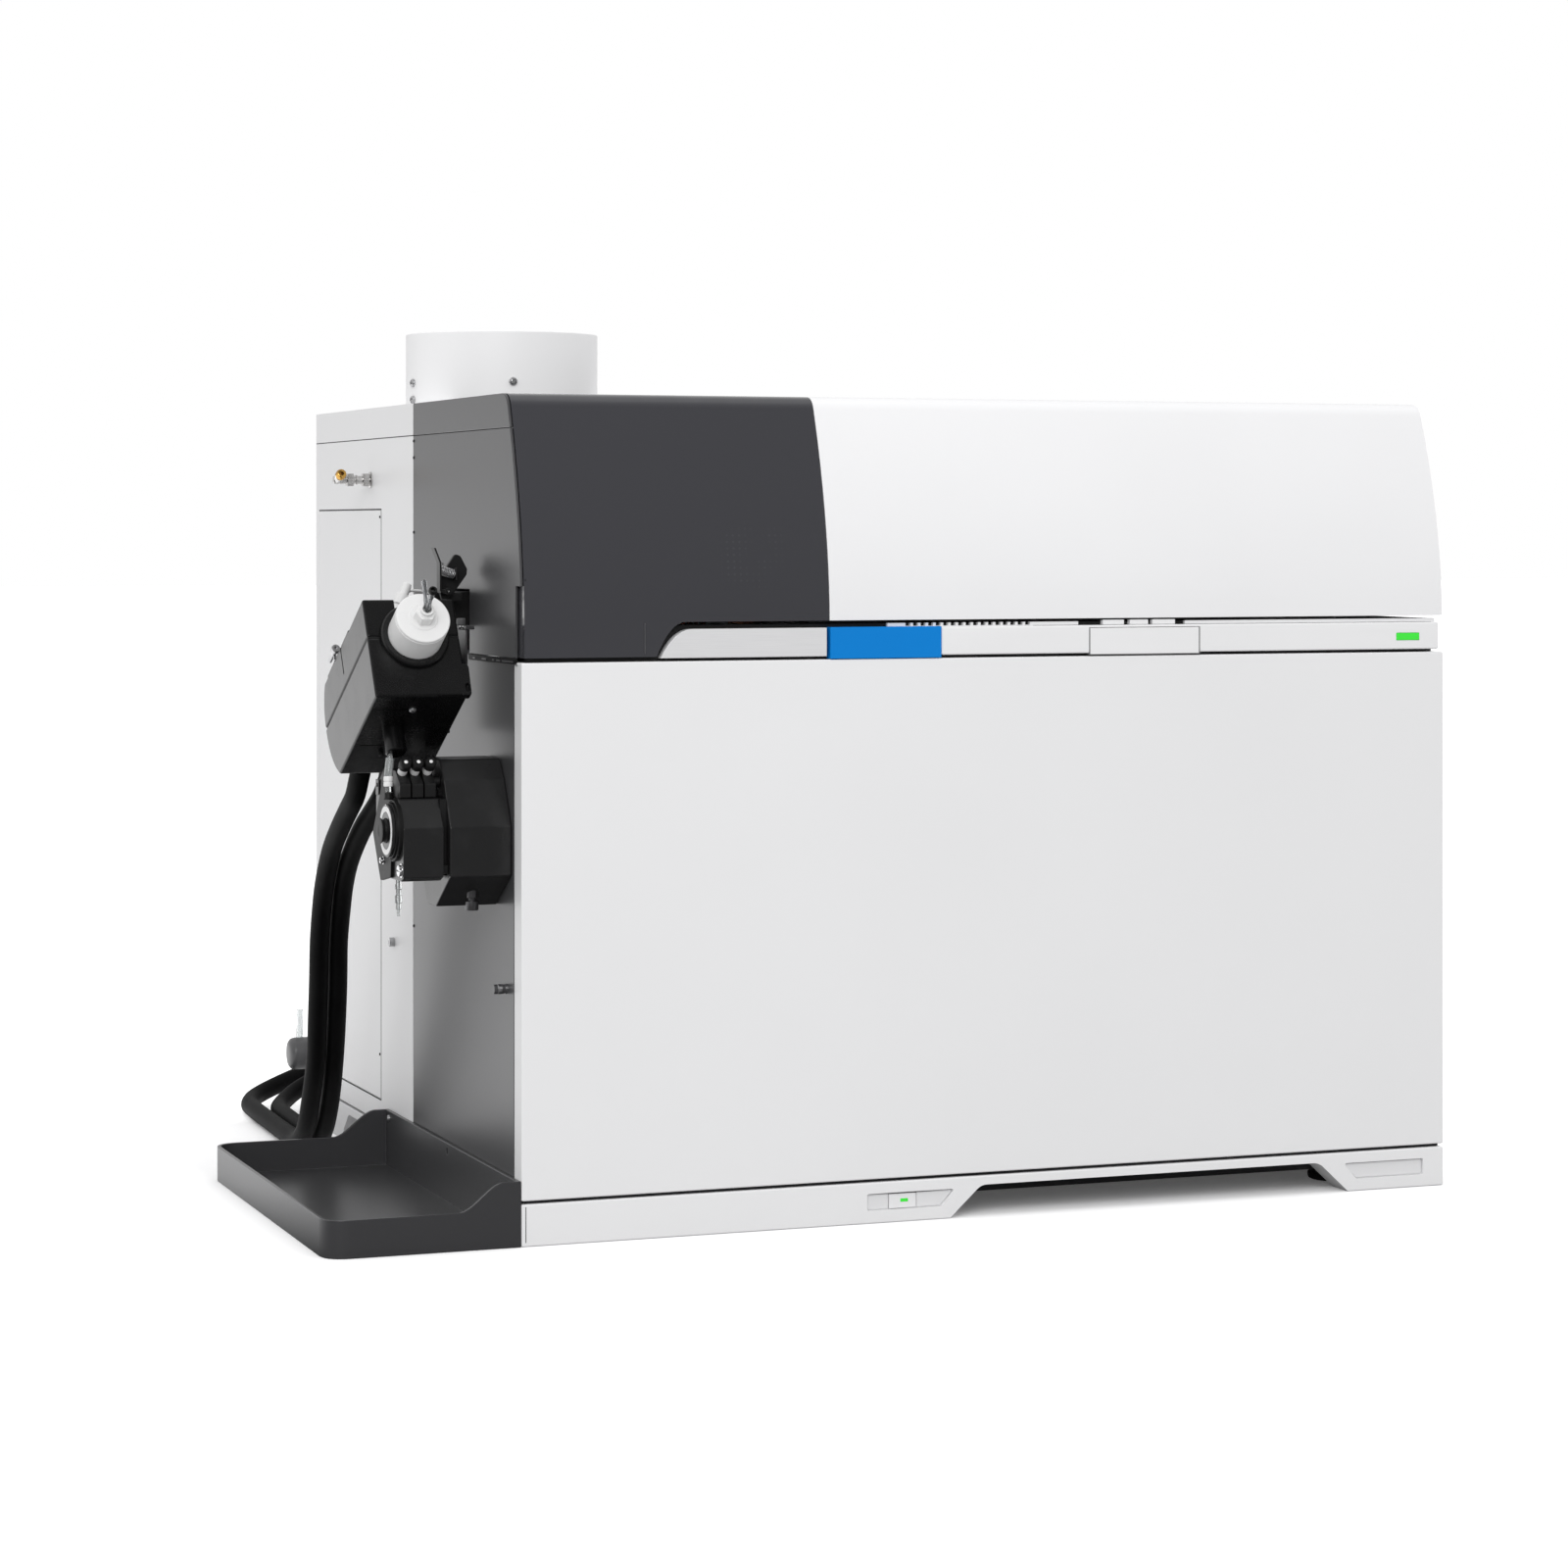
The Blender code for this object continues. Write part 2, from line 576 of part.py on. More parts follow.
def prism(outline, axis, low, high):
    """A closed outline in the plane across an axis, drawn out from low to high."""
    first, second, along = AXES[axis]
    shape = bmesh.new()
    ends = []
    for level in (low, high):
        ring = []
        for point in outline:
            place = [0.0, 0.0, 0.0]
            place[first], place[second], place[along] = point[0], point[1], level
            ring.append(shape.verts.new(place))
        ends.append(ring)
    count = len(outline)
    shape.faces.new(ends[0])
    shape.faces.new(ends[1])
    for index in range(count):
        following = (index + 1) % count
        shape.faces.new((ends[0][index], ends[0][following], ends[1][following], ends[1][index]))
    bmesh.ops.recalc_face_normals(shape, faces=shape.faces)
    return shape


def block(x, y, z):
    """A box between pairs of low and high limits."""
    outline = [(x[0], y[0]), (x[1], y[0]), (x[1], y[1]), (x[0], y[1])]
    return prism(outline, "Z", z[0], z[1])


def turned(profile, axis, centre, steps=ROUND_STEPS):
    """A profile of (radius, place along the axis) turned about an axis through a centre."""
    first, second, along = AXES[axis]
    shape = bmesh.new()
    rings = []
    for radius, level in profile:
        ring = []
        for step in range(steps if radius > 0 else 1):
            angle = math.tau * step / steps
            place = [0.0, 0.0, 0.0]
            place[first] = centre[first] + radius * math.cos(angle)
            place[second] = centre[second] + radius * math.sin(angle)
            place[along] = centre[along] + level
            ring.append(shape.verts.new(place))
        rings.append(ring)
    for near, far in zip(rings, rings[1:] + rings[:1]):
        if len(near) == 1 and len(far) == 1:
            continue
        for step in range(steps):
            following = (step + 1) % steps
            corners = []
            for ring, order in ((near, (step, following)), (far, (following, step))):
                for index in order:
                    vertex = ring[index] if len(ring) > 1 else ring[0]
                    if vertex not in corners:
                        corners.append(vertex)
            shape.faces.new(corners)
    bmesh.ops.recalc_face_normals(shape, faces=shape.faces)
    return shape


def rod(axis, centre, radius, low, high, steps=ROUND_STEPS):
    """A plain round bar from low to high along an axis."""
    return turned([(0, low), (radius, low), (radius, high), (0, high)], axis, centre, steps)


def ring_bar(axis, centre, inner, outer, low, high, steps=ROUND_STEPS):
    return turned([(inner, low), (outer, low), (outer, high), (inner, high)], axis, centre, steps)


def turn_shape(shape, angle, axis, centre):
    """Turns a shape about an axis through a centre."""
    turning = Matrix.Translation(Vector(centre)) @ Matrix.Rotation(angle, 4, axis)
    shape.transform(turning @ Matrix.Translation(-Vector(centre)))
    return shape


def arc(centre, radius, start, end, steps):
    """Points of a circular arc, with angles in turns of a full circle."""
    points = []
    for step in range(steps + 1):
        angle = math.tau * (start + (end - start) * step / steps)
        points.append((centre[0] + radius * math.cos(angle), centre[1] + radius * math.sin(angle)))
    return points


def bend(start, control, end, steps):
    """Points of a quadratic curve, without its first point."""
    points = []
    for step in range(1, steps + 1):
        t = step / steps
        points.append(tuple(
            (1 - t) ** 2 * a + 2 * t * (1 - t) * b + t ** 2 * c
            for a, b, c in zip(start, control, end)))
    return points


def offset_line(points, distance):
    """An open line moved sideways, to the right of the way it runs."""
    moved = []
    for index, point in enumerate(points):
        before = Vector(points[max(index - 1, 0)])
        after = Vector(points[min(index + 1, len(points) - 1)])
        way = (after - before).normalized()
        moved.append((point[0] + way.y * distance, point[1] - way.x * distance))
    return moved


def nose_depth(height):
    """How far the covers' front leans back at a height."""
    share = max(height - COVER_BOTTOM, 0) / (BODY_HEIGHT - COVER_BOTTOM)
    return NOSE_SET + NOSE_LEAN * share ** NOSE_POWER


def nose_line(bottom):
    """The covers' front profile, from its bottom edge up and round onto the top."""
    points = []
    if bottom < COVER_BOTTOM:
        points.append((nose_depth(bottom), bottom))
    for step in range(PROFILE_STEPS + 1):
        height = COVER_BOTTOM + (NOSE_TOP_Z - COVER_BOTTOM) * step / PROFILE_STEPS
        points.append((nose_depth(height), height))
    slope = NOSE_LEAN * NOSE_POWER / (BODY_HEIGHT - COVER_BOTTOM)
    slope *= ((NOSE_TOP_Z - COVER_BOTTOM) / (BODY_HEIGHT - COVER_BOTTOM)) ** (NOSE_POWER - 1)
    corner = (nose_depth(NOSE_TOP_Z) + slope * (BODY_HEIGHT - NOSE_TOP_Z), BODY_HEIGHT)
    return points + bend(points[-1], corner, (NOSE_CORNER_Y, BODY_HEIGHT), 5)


def rounded_plan(x, y, radius, corners):
    """A rectangle in plan, with the named corners rounded."""
    outline = []
    places = (("front_left", x[0], y[0], 1, 1, 0.5), ("front_right", x[1], y[0], -1, 1, 0.75),
              ("back_right", x[1], y[1], -1, -1, 0.0), ("back_left", x[0], y[1], 1, -1, 0.25))
    for name, corner_x, corner_y, way_x, way_y, start in places:
        if name in corners:
            centre = (corner_x + way_x * radius, corner_y + way_y * radius)
            outline += arc(centre, radius, start, start + 0.25, 6)
        else:
            outline.append((corner_x, corner_y))
    return outline


def arch_outline(left, right, slant):
    """A gap under a plinth, open below, with slanting ends and rounded top corners."""
    top = ARCH_HEIGHT
    return [(left, -OVERRUN), (left, 0), (left + slant * 0.72, top * 0.86),
            (left + slant, top), (right - slant, top), (right - slant * 0.72, top * 0.86),
            (right, 0), (right, -OVERRUN)]


def recess_outline(ends):
    """A recess in the plinth's face, with one slanting end."""
    left, right = ends
    if left < ARCH_LEFT:
        return [(left, RECESS_BOTTOM), (right - RECESS_SLANT, RECESS_BOTTOM),
                (right, RECESS_TOP), (left, RECESS_TOP)]
    return [(left + RECESS_SLANT, RECESS_BOTTOM), (right, RECESS_BOTTOM),
            (right, RECESS_TOP), (left, RECESS_TOP)]


WHITE_PAINT = (WHITE, 0.45, 0.0)
GREY_PAINT = (SIDE_GREY, 0.45, 0.0)
BLACK_PLASTIC = (BLACK, 0.45, 0.0)
BARE_STEEL = (STEEL, 0.35, 0.9)
CLEAR = (GLASS, 0.10, 0.0)
DECK_TOP = PLINTH_HEIGHT + GAP + DECK_THICKNESS
PANEL_BOTTOM = DECK_TOP + GAP


def make_base(cab):
    """Plinths, and the base pan with its four feet."""
    front = cab.piece("front_plinth", block((0, BODY_WIDTH), (0, PLINTH_DEPTH), (0, PLINTH_HEIGHT)),
                      WHITE_PAINT)
    soften(front, EDGE_ROUND)
    cab.cut(front, prism(arch_outline(ARCH_LEFT, ARCH_RIGHT, ARCH_SLANT), "Y",
                         -OVERRUN, PLINTH_DEPTH + OVERRUN))
    for ends in (LEFT_RECESS, RIGHT_RECESS):
        cab.cut(front, prism(recess_outline(ends), "Y", -OVERRUN, RECESS_DEPTH))
    button_x = (BUTTON_LEFT, BUTTON_LEFT + BUTTON_WIDTH)
    button_z = (BUTTON_BOTTOM, BUTTON_BOTTOM + BUTTON_HEIGHT)
    cab.cut(front, block((button_x[0] - GAP, button_x[1] + GAP), (-OVERRUN, BUTTON_POCKET),
                         (button_z[0] - GAP, button_z[1] + GAP)))
    button_front = RECESS_DEPTH - BUTTON_PROUD
    button = cab.piece("power_button",
                       block(button_x, (button_front, button_front + BUTTON_LENGTH), button_z),
                       WHITE_PAINT, pivot=(sum(button_x) / 2, button_front, sum(button_z) / 2))
    soften(button, GAP)

    for name, left in (("left_plinth", 0), ("right_plinth", BODY_WIDTH - SIDE_PLINTH_WIDTH)):
        side = cab.piece(name, block((left, left + SIDE_PLINTH_WIDTH),
                                     (PLINTH_DEPTH + GAP, BODY_DEPTH), (0, PLINTH_HEIGHT)),
                         WHITE_PAINT)
        cab.cut(side, prism(arch_outline(SIDE_ARCH_FRONT, SIDE_ARCH_BACK, ARCH_SLANT), "X",
                            left - OVERRUN, left + SIDE_PLINTH_WIDTH + OVERRUN))

    pan_x = (SIDE_PLINTH_WIDTH + GAP, BODY_WIDTH - SIDE_PLINTH_WIDTH - GAP)
    pan_y = (PLINTH_DEPTH + GAP, BODY_DEPTH - DECK_SETBACK)
    pan = cab.piece("base_pan", block((DECK_SETBACK, BODY_WIDTH - DECK_SETBACK),
                                      (DECK_SETBACK, BODY_DEPTH - DECK_SETBACK),
                                      (PLINTH_HEIGHT + GAP, DECK_TOP)), BARE_STEEL)
    cab.add(pan, block(pan_x, pan_y, (PAN_BOTTOM, DECK_TOP)))
    middle = (pan_x[0] + pan_x[1]) / 2
    for low, high in ((pan_x[0] + PAN_RAIL_WIDTH, middle - PAN_RAIL_WIDTH),
                      (middle + PAN_RAIL_WIDTH, pan_x[1] - PAN_RAIL_WIDTH)):
        cab.cut(pan, block((low, high), (pan_y[0] + PAN_RAIL_WIDTH, pan_y[1] - PAN_RAIL_WIDTH),
                           (PAN_BOTTOM - OVERRUN, DECK_TOP - PAN_TOP_WALL)))

    chamfer = PAN_BOTTOM / 4
    for x in (FOOT_INSET, BODY_WIDTH - FOOT_INSET):
        for y in (FOOT_INSET, BODY_DEPTH - FOOT_INSET):
            cab.add(pan, turned([(0, 0), (FOOT_RADIUS, 0), (FOOT_RADIUS, PAN_BOTTOM - chamfer),
                                 (FOOT_RADIUS - chamfer, PAN_BOTTOM + PAN_TOP_WALL),
                                 (0, PAN_BOTTOM + PAN_TOP_WALL)], "Z", (x, y, 0)))


def make_panels(cab):
    """The fixed sheet-metal skins."""
    top = PANEL_TOP
    front = cab.piece("lower_front_panel",
                      block((0, BODY_WIDTH), (0, RETURN_DEPTH), (PANEL_BOTTOM, top)), WHITE_PAINT)
    soften(front, EDGE_ROUND)
    cab.cut(front, block((SHEET, BODY_WIDTH - SHEET), (SHEET, RETURN_DEPTH + OVERRUN),
                         (PANEL_BOTTOM + SHEET, top - SHEET)))

    side_front = RETURN_DEPTH + GAP
    back = BODY_DEPTH
    right = [(side_front, PANEL_BOTTOM), (back, PANEL_BOTTOM), (back, CAP_SEAM - GAP),
             (TOP_FRONT, CAP_SEAM - GAP), (TOP_FRONT, SIDE_SPLIT_Z), (side_front, SIDE_SPLIT_Z)]
    cab.piece("right_side_panel", prism(right, "X", BODY_WIDTH - SHEET, BODY_WIDTH), WHITE_PAINT)

    lower_top = HOOD_BOTTOM - 2 * GAP
    lower = cab.piece("left_lower_panel",
                      block((0, SHEET), (side_front, DARK_DEPTH - GAP),
                            (PANEL_BOTTOM, lower_top)), GREY_PAINT)
    cab.add(lower, rod("X", (0, *DARK_SCREW), SCREW_RADIUS, -SCREW_STANDOFF, SHEET / 2,
                       SMALL_STEPS))

    upper_bottom = lower_top + GAP
    upper_top = CAP_SEAM - GAP
    dark_back = DARK_DEPTH - GAP
    nose = [(nose_depth(z), z) for z in
            [upper_top + (EDGE_SLOT_TOP - upper_top) * step / PROFILE_STEPS
             for step in range(PROFILE_STEPS + 1)]]
    upper = [(EDGE_SLOT_Y, upper_bottom), (CUTOUT_FRONT, upper_bottom),
             (CUTOUT_FRONT, CUTOUT_TOP), (CUTOUT_BACK, CUTOUT_TOP), (CUTOUT_BACK, upper_bottom),
             (dark_back, upper_bottom), (dark_back, upper_top)] + nose
    upper.append((EDGE_SLOT_Y, EDGE_SLOT_TOP))
    cab.piece("left_upper_panel", prism(upper, "X", 0, THIN_SHEET), GREY_PAINT)

    arm_nose = [point for point in nose_line(HOOD_BOTTOM) if point[1] > CAP_SEAM]
    arm_nose.insert(0, (nose_depth(CAP_SEAM), CAP_SEAM))
    arm = arm_nose + [(DARK_DEPTH - EDGE_ROUND, BODY_HEIGHT), (DARK_DEPTH - EDGE_ROUND, CAP_SEAM)]
    cap = cab.piece("left_top_cap", block((0, SPLIT_X), (TOP_FRONT, DARK_DEPTH),
                                          (CAP_SEAM, BODY_HEIGHT)), GREY_PAINT)
    cab.cut(cap, block((SHEET, SPLIT_X - SHEET), (TOP_FRONT + SHEET, DARK_DEPTH - SHEET),
                       (CAP_SEAM - OVERRUN, BODY_HEIGHT - SHEET)))
    cab.add(cap, prism(arm, "X", 0, THIN_SHEET))

    plan = [(0, DARK_DEPTH + GAP), (SPLIT_X + GAP, DARK_DEPTH + GAP), (SPLIT_X + GAP, TOP_FRONT),
            (BODY_WIDTH, TOP_FRONT), (BODY_WIDTH, BODY_DEPTH), (0, BODY_DEPTH)]
    inner = [(SHEET, DARK_DEPTH + SHEET), (SPLIT_X + SHEET, DARK_DEPTH + SHEET),
             (SPLIT_X + SHEET, TOP_FRONT + SHEET), (BODY_WIDTH - SHEET, TOP_FRONT + SHEET),
             (BODY_WIDTH - SHEET, BODY_DEPTH - SHEET), (SHEET, BODY_DEPTH - SHEET)]
    cover = cab.piece("top_cover", prism(plan, "Z", CAP_SEAM, BODY_HEIGHT), WHITE_PAINT)
    cab.cut(cover, prism(inner, "Z", CAP_SEAM - OVERRUN, BODY_HEIGHT - SHEET))
    for item in (cap, cover):
        cab.cut(item, rod("Z", (COLLAR_X, COLLAR_Y, 0), COLLAR_RADIUS + GAP,
                          CAP_SEAM - OVERRUN, BODY_HEIGHT + OVERRUN, COLLAR_STEPS))
    cab.piece("exhaust_collar",
              ring_bar("Z", (COLLAR_X, COLLAR_Y, 0), COLLAR_RADIUS - COLLAR_WALL, COLLAR_RADIUS,
                       TORCH_BOX_TOP + GAP, COLLAR_TOP, COLLAR_STEPS), WHITE_PAINT)

    rear_front = DARK_DEPTH + GAP
    side = cab.piece("rear_left_panel", block((0, SHEET), (rear_front, back),
                                              (PANEL_BOTTOM, CAP_SEAM - GAP)), WHITE_PAINT)
    cab.cut(side, block((-OVERRUN, SHEET + OVERRUN), (DOOR_FRONT, DOOR_BACK),
                        (DOOR_BOTTOM, DOOR_TOP)))
    cab.add(side, rod("X", (0, *WHITE_SCREW), SCREW_RADIUS, -SCREW_LENGTH, SHEET / 2,
                      SMALL_STEPS))
    cab.piece("access_panel", block((0, SHEET), (DOOR_FRONT + GAP, DOOR_BACK - GAP),
                                    (DOOR_BOTTOM + GAP, DOOR_TOP - GAP)), WHITE_PAINT)


def make_rear(cab):
    """Rear panel with its fan, louvres, mains inlet and ports."""
    front = BODY_DEPTH - SHEET
    inside_x = (SHEET + GAP, BODY_WIDTH - SHEET - GAP)
    rear = cab.piece("rear_panel", block(inside_x, (front, BODY_DEPTH),
                                         (PANEL_BOTTOM, CAP_SEAM - GAP)), WHITE_PAINT)
    centre = (FAN_X, 0, FAN_Z)
    cab.cut(rear, rod("Y", centre, FAN_RADIUS, front - OVERRUN, BODY_DEPTH + OVERRUN, FINE_STEPS))
    half = FAN_SPOKE / 2
    reach = FAN_RADIUS + FAN_SPOKE
    guard = rod("Y", centre, FAN_HUB_RADIUS, front, BODY_DEPTH)
    cab.add(rear, guard)
    cab.add(rear, block((FAN_X - reach, FAN_X + reach), (front, BODY_DEPTH),
                        (FAN_Z - half, FAN_Z + half)))
    cab.add(rear, block((FAN_X - half, FAN_X + half), (front, BODY_DEPTH),
                        (FAN_Z - reach, FAN_Z + reach)))
    cab.add(rear, ring_bar("Y", centre, FAN_RING_RADIUS - half, FAN_RING_RADIUS + half,
                           front, BODY_DEPTH, FINE_STEPS))
    for index in range(LOUVRE_COUNT):
        bottom = LOUVRE_BOTTOM + index * LOUVRE_PITCH
        cab.cut(rear, block(LOUVRE_X, (front - OVERRUN, BODY_DEPTH + OVERRUN),
                            (bottom, bottom + LOUVRE_HEIGHT)))
    socket_x = (INLET_X - INLET_WIDTH / 2, INLET_X + INLET_WIDTH / 2)
    socket_z = (INLET_Z - INLET_HEIGHT / 2, INLET_Z + INLET_HEIGHT / 2)
    hollow_x = (socket_x[0] + INLET_WALL, socket_x[1] - INLET_WALL)
    hollow_z = (socket_z[0] + INLET_WALL, socket_z[1] - INLET_WALL)
    flange = BODY_DEPTH + GAP
    body = (BODY_DEPTH - INLET_DEPTH - INLET_WALL, flange + INLET_PROUD)
    neck = INLET_WALL / 2
    cab.cut(rear, block((hollow_x[0] - neck - GAP, hollow_x[1] + neck + GAP),
                        (front - OVERRUN, BODY_DEPTH + OVERRUN),
                        (hollow_z[0] - neck - GAP, hollow_z[1] + neck + GAP)))
    inlet = cab.piece("mains_inlet", block(socket_x, (flange, body[1]), socket_z), BLACK_PLASTIC)
    cab.add(inlet, block((hollow_x[0] - neck, hollow_x[1] + neck), body,
                         (hollow_z[0] - neck, hollow_z[1] + neck)))
    cab.cut(inlet, block(hollow_x, (body[1] - INLET_DEPTH, body[1] + OVERRUN), hollow_z))

    ports = cab.piece("rear_ports", turned(
        [(0, ELBOW_LEFT - ELBOW_X), (ELBOW_RADIUS * 0.75, ELBOW_LEFT - ELBOW_X),
         (ELBOW_RADIUS, ELBOW_LEFT - ELBOW_X + ELBOW_RADIUS * 0.3),
         (ELBOW_RADIUS, ELBOW_RADIUS * 0.7), (ELBOW_RADIUS * 0.7, ELBOW_RADIUS),
         (0, ELBOW_RADIUS)], "X", (ELBOW_X, BODY_DEPTH + ELBOW_REACH, ELBOW_Z)), BLACK_PLASTIC)
    cab.add(ports, rod("Y", (ELBOW_X, 0, ELBOW_Z), ELBOW_NECK_RADIUS,
                       BODY_DEPTH + GAP, BODY_DEPTH + ELBOW_REACH))
    cab.add(ports, block((ELBOW_X - ELBOW_RADIUS, OUTER_HOSE_ROUTE[-1][0] + ELBOW_RADIUS),
                         (flange, flange + THIN_SHEET),
                         (ELBOW_Z - ELBOW_RADIUS, ELBOW_Z + ELBOW_RADIUS + ELBOW_NECK_RADIUS)))
    for route in (OUTER_HOSE_ROUTE, INNER_HOSE_ROUTE):
        end = route[-1]
        cab.add(ports, rod("Y", (end[0], 0, end[2]), PORT_RADIUS, flange, flange + PORT_LENGTH))

    rotor_low = front - GAP - FAN_LENGTH
    tip = FAN_RADIUS - FAN_CLEARANCE
    fan = cab.piece("fan_rotor", rod("Y", centre, FAN_HUB_RADIUS, rotor_low, front - GAP),
                    BLACK_PLASTIC, pivot=(FAN_X, front, FAN_Z))
    half_blade = FAN_BLADE_THICKNESS / 2
    middle_y = (rotor_low + front) / 2
    for index in range(FAN_BLADES):
        blade = block((FAN_X - half_blade, FAN_X + half_blade),
                      (middle_y - FAN_BLADE_CHORD / 2, middle_y + FAN_BLADE_CHORD / 2),
                      (FAN_Z + FAN_HUB_RADIUS / 2, FAN_Z + tip))
        turn_shape(blade, FAN_BLADE_TILT, "Z", (FAN_X, middle_y, FAN_Z))
        turn_shape(blade, math.tau * index / FAN_BLADES, "Y", (FAN_X, middle_y, FAN_Z))
        cab.add(fan, blade)


def make_front_strip(cab):
    """Cross rail with what is fixed to its face."""
    rail_front = STRIP_THICKNESS + GAP
    rail_x = (RAIL_END, BODY_WIDTH - RAIL_END)
    rail = cab.piece("cross_rail", block(rail_x, (rail_front, rail_front + RAIL_DEPTH),
                                         (RAIL_BOTTOM, RAIL_TOP)), BLACK_PLASTIC)
    cab.cut(rail, block((rail_x[0] + RAIL_WALL, rail_x[1] - RAIL_WALL),
                        (rail_front + RAIL_WALL, rail_front + RAIL_DEPTH + OVERRUN),
                        (RAIL_BOTTOM + RAIL_WALL, RAIL_TOP - RAIL_WALL)))
    for index in range(VENT_COUNT):
        left = VENT_LEFT + index * VENT_PITCH
        cab.cut(rail, block((left, left + VENT_WIDTH),
                            (rail_front + RAIL_WALL * 2, rail_front + RAIL_DEPTH / 2),
                            (RAIL_TOP - RAIL_WALL * CUT_FACTOR, RAIL_TOP + OVERRUN)))

    nameplate_right = SPLIT_X + NAMEPLATE_WIDTH
    plate = cab.piece("nameplate", block((SPLIT_X, nameplate_right),
                                         (-NAMEPLATE_PROUD, STRIP_THICKNESS),
                                         (NAMEPLATE_BOTTOM, STRIP_TOP + GAP)), (BLUE, 0.4, 0.0))
    soften(plate, GAP)
    strip = cab.piece("fascia_strip", block((nameplate_right + GAP, BODY_WIDTH - STRIP_END_INSET),
                                            (0, STRIP_THICKNESS), (STRIP_BOTTOM, STRIP_TOP)),
                      WHITE_PAINT)
    soften(strip, EDGE_ROUND)
    cab.cut(strip, block((LATCH_LEFT - LATCH_PLAY, LATCH_RIGHT + LATCH_PLAY),
                         (-OVERRUN, STRIP_THICKNESS + OVERRUN),
                         (STRIP_BOTTOM - OVERRUN, LATCH_TOP + LATCH_PLAY)))
    lamp_x = (LAMP_LEFT, LAMP_LEFT + LAMP_WIDTH)
    lamp_z = (LAMP_BOTTOM, LAMP_BOTTOM + LAMP_HEIGHT)
    cab.cut(strip, block((lamp_x[0] - GAP, lamp_x[1] + GAP), (-OVERRUN, LAMP_DEPTH + GAP),
                         (lamp_z[0] - GAP, lamp_z[1] + GAP)))
    cab.piece("status_lamp", block(lamp_x, (-LAMP_PROUD, LAMP_DEPTH), lamp_z), (GREEN, 0.3, 0.0))

    latch_x = (LATCH_LEFT, LATCH_RIGHT)
    latch = cab.piece("latch_plate", block(latch_x, (0, LATCH_THICKNESS),
                                           (LATCH_BOTTOM, LATCH_TOP)), WHITE_PAINT,
                      pivot=(sum(latch_x) / 2, 0, LATCH_BOTTOM))
    soften(latch, GAP)

    arc_x = TRIM_ARC_X - TRIM_LEFT
    trim = [(TRIM_LEFT, STRIP_BOTTOM), (TRIM_RIGHT, STRIP_BOTTOM), (TRIM_RIGHT, STRIP_TOP),
            (TRIM_ARC_X, STRIP_TOP)]
    trim += bend(trim[-1], (TRIM_LEFT + arc_x * 0.45, STRIP_TOP), trim[0], 8)[:-1]
    cab.piece("trim_plate", prism(trim, "Y", 0, STRIP_THICKNESS), BARE_STEEL)


def cover_shell(cab, name, x, bottom, open_ends, finish):
    """A cover blown to the nose profile, with flanged or closed ends and hinge knuckles."""
    line = nose_line(bottom)
    outer = line + [(COVER_BACK, BODY_HEIGHT), (COVER_BACK, bottom)]
    cover = cab.piece(name, prism(outer, "X", x[0], x[1]), finish,
                      pivot=((x[0] + x[1]) / 2, HINGE_AXIS_Y, HINGE_AXIS_Z))
    reach = COVER_BACK + OVERRUN
    for depth, span in [(COVER_WALL, (x[0] + COVER_WALL, x[1] - COVER_WALL))] + open_ends:
        inner = offset_line(line, depth)
        inner[0] = (inner[0][0], bottom - OVERRUN)
        top = BODY_HEIGHT - depth
        inner = [point for point in inner if point[1] < top - GAP]
        inner += [(inner[-1][0] + (top - inner[-1][1]), top), (reach, top),
                  (reach, bottom - OVERRUN)]
        cab.cut(cover, prism(inner, "X", span[0], span[1]))
    middle = (x[0] + x[1]) / 2
    knuckles = (x[0] + KNUCKLE_INSET, middle, x[1] - KNUCKLE_INSET)
    half = KNUCKLE_WIDTH / 2
    skin_low = BODY_HEIGHT - COVER_WALL
    for place in knuckles:
        eye = [(COVER_BACK - KNUCKLE_RADIUS, skin_low + GAP),
               (COVER_BACK - KNUCKLE_RADIUS, HINGE_AXIS_Z - KNUCKLE_RADIUS),
               (HINGE_AXIS_Y, HINGE_AXIS_Z - KNUCKLE_RADIUS)]
        eye += arc((HINGE_AXIS_Y, HINGE_AXIS_Z), KNUCKLE_RADIUS, -0.25, 0.25, 6)[1:]
        eye.append((COVER_BACK - GAP, HINGE_AXIS_Z + KNUCKLE_RADIUS))
        eye.append((COVER_BACK - GAP, skin_low + GAP))
        cab.add(cover, prism(eye, "X", place - half, place + half))
    cab.cut(cover, rod("X", (0, HINGE_AXIS_Y, HINGE_AXIS_Z), HINGE_ROD_RADIUS + GAP,
                       x[0] - OVERRUN, x[1] + OVERRUN, SMALL_STEPS))
    return cover, knuckles


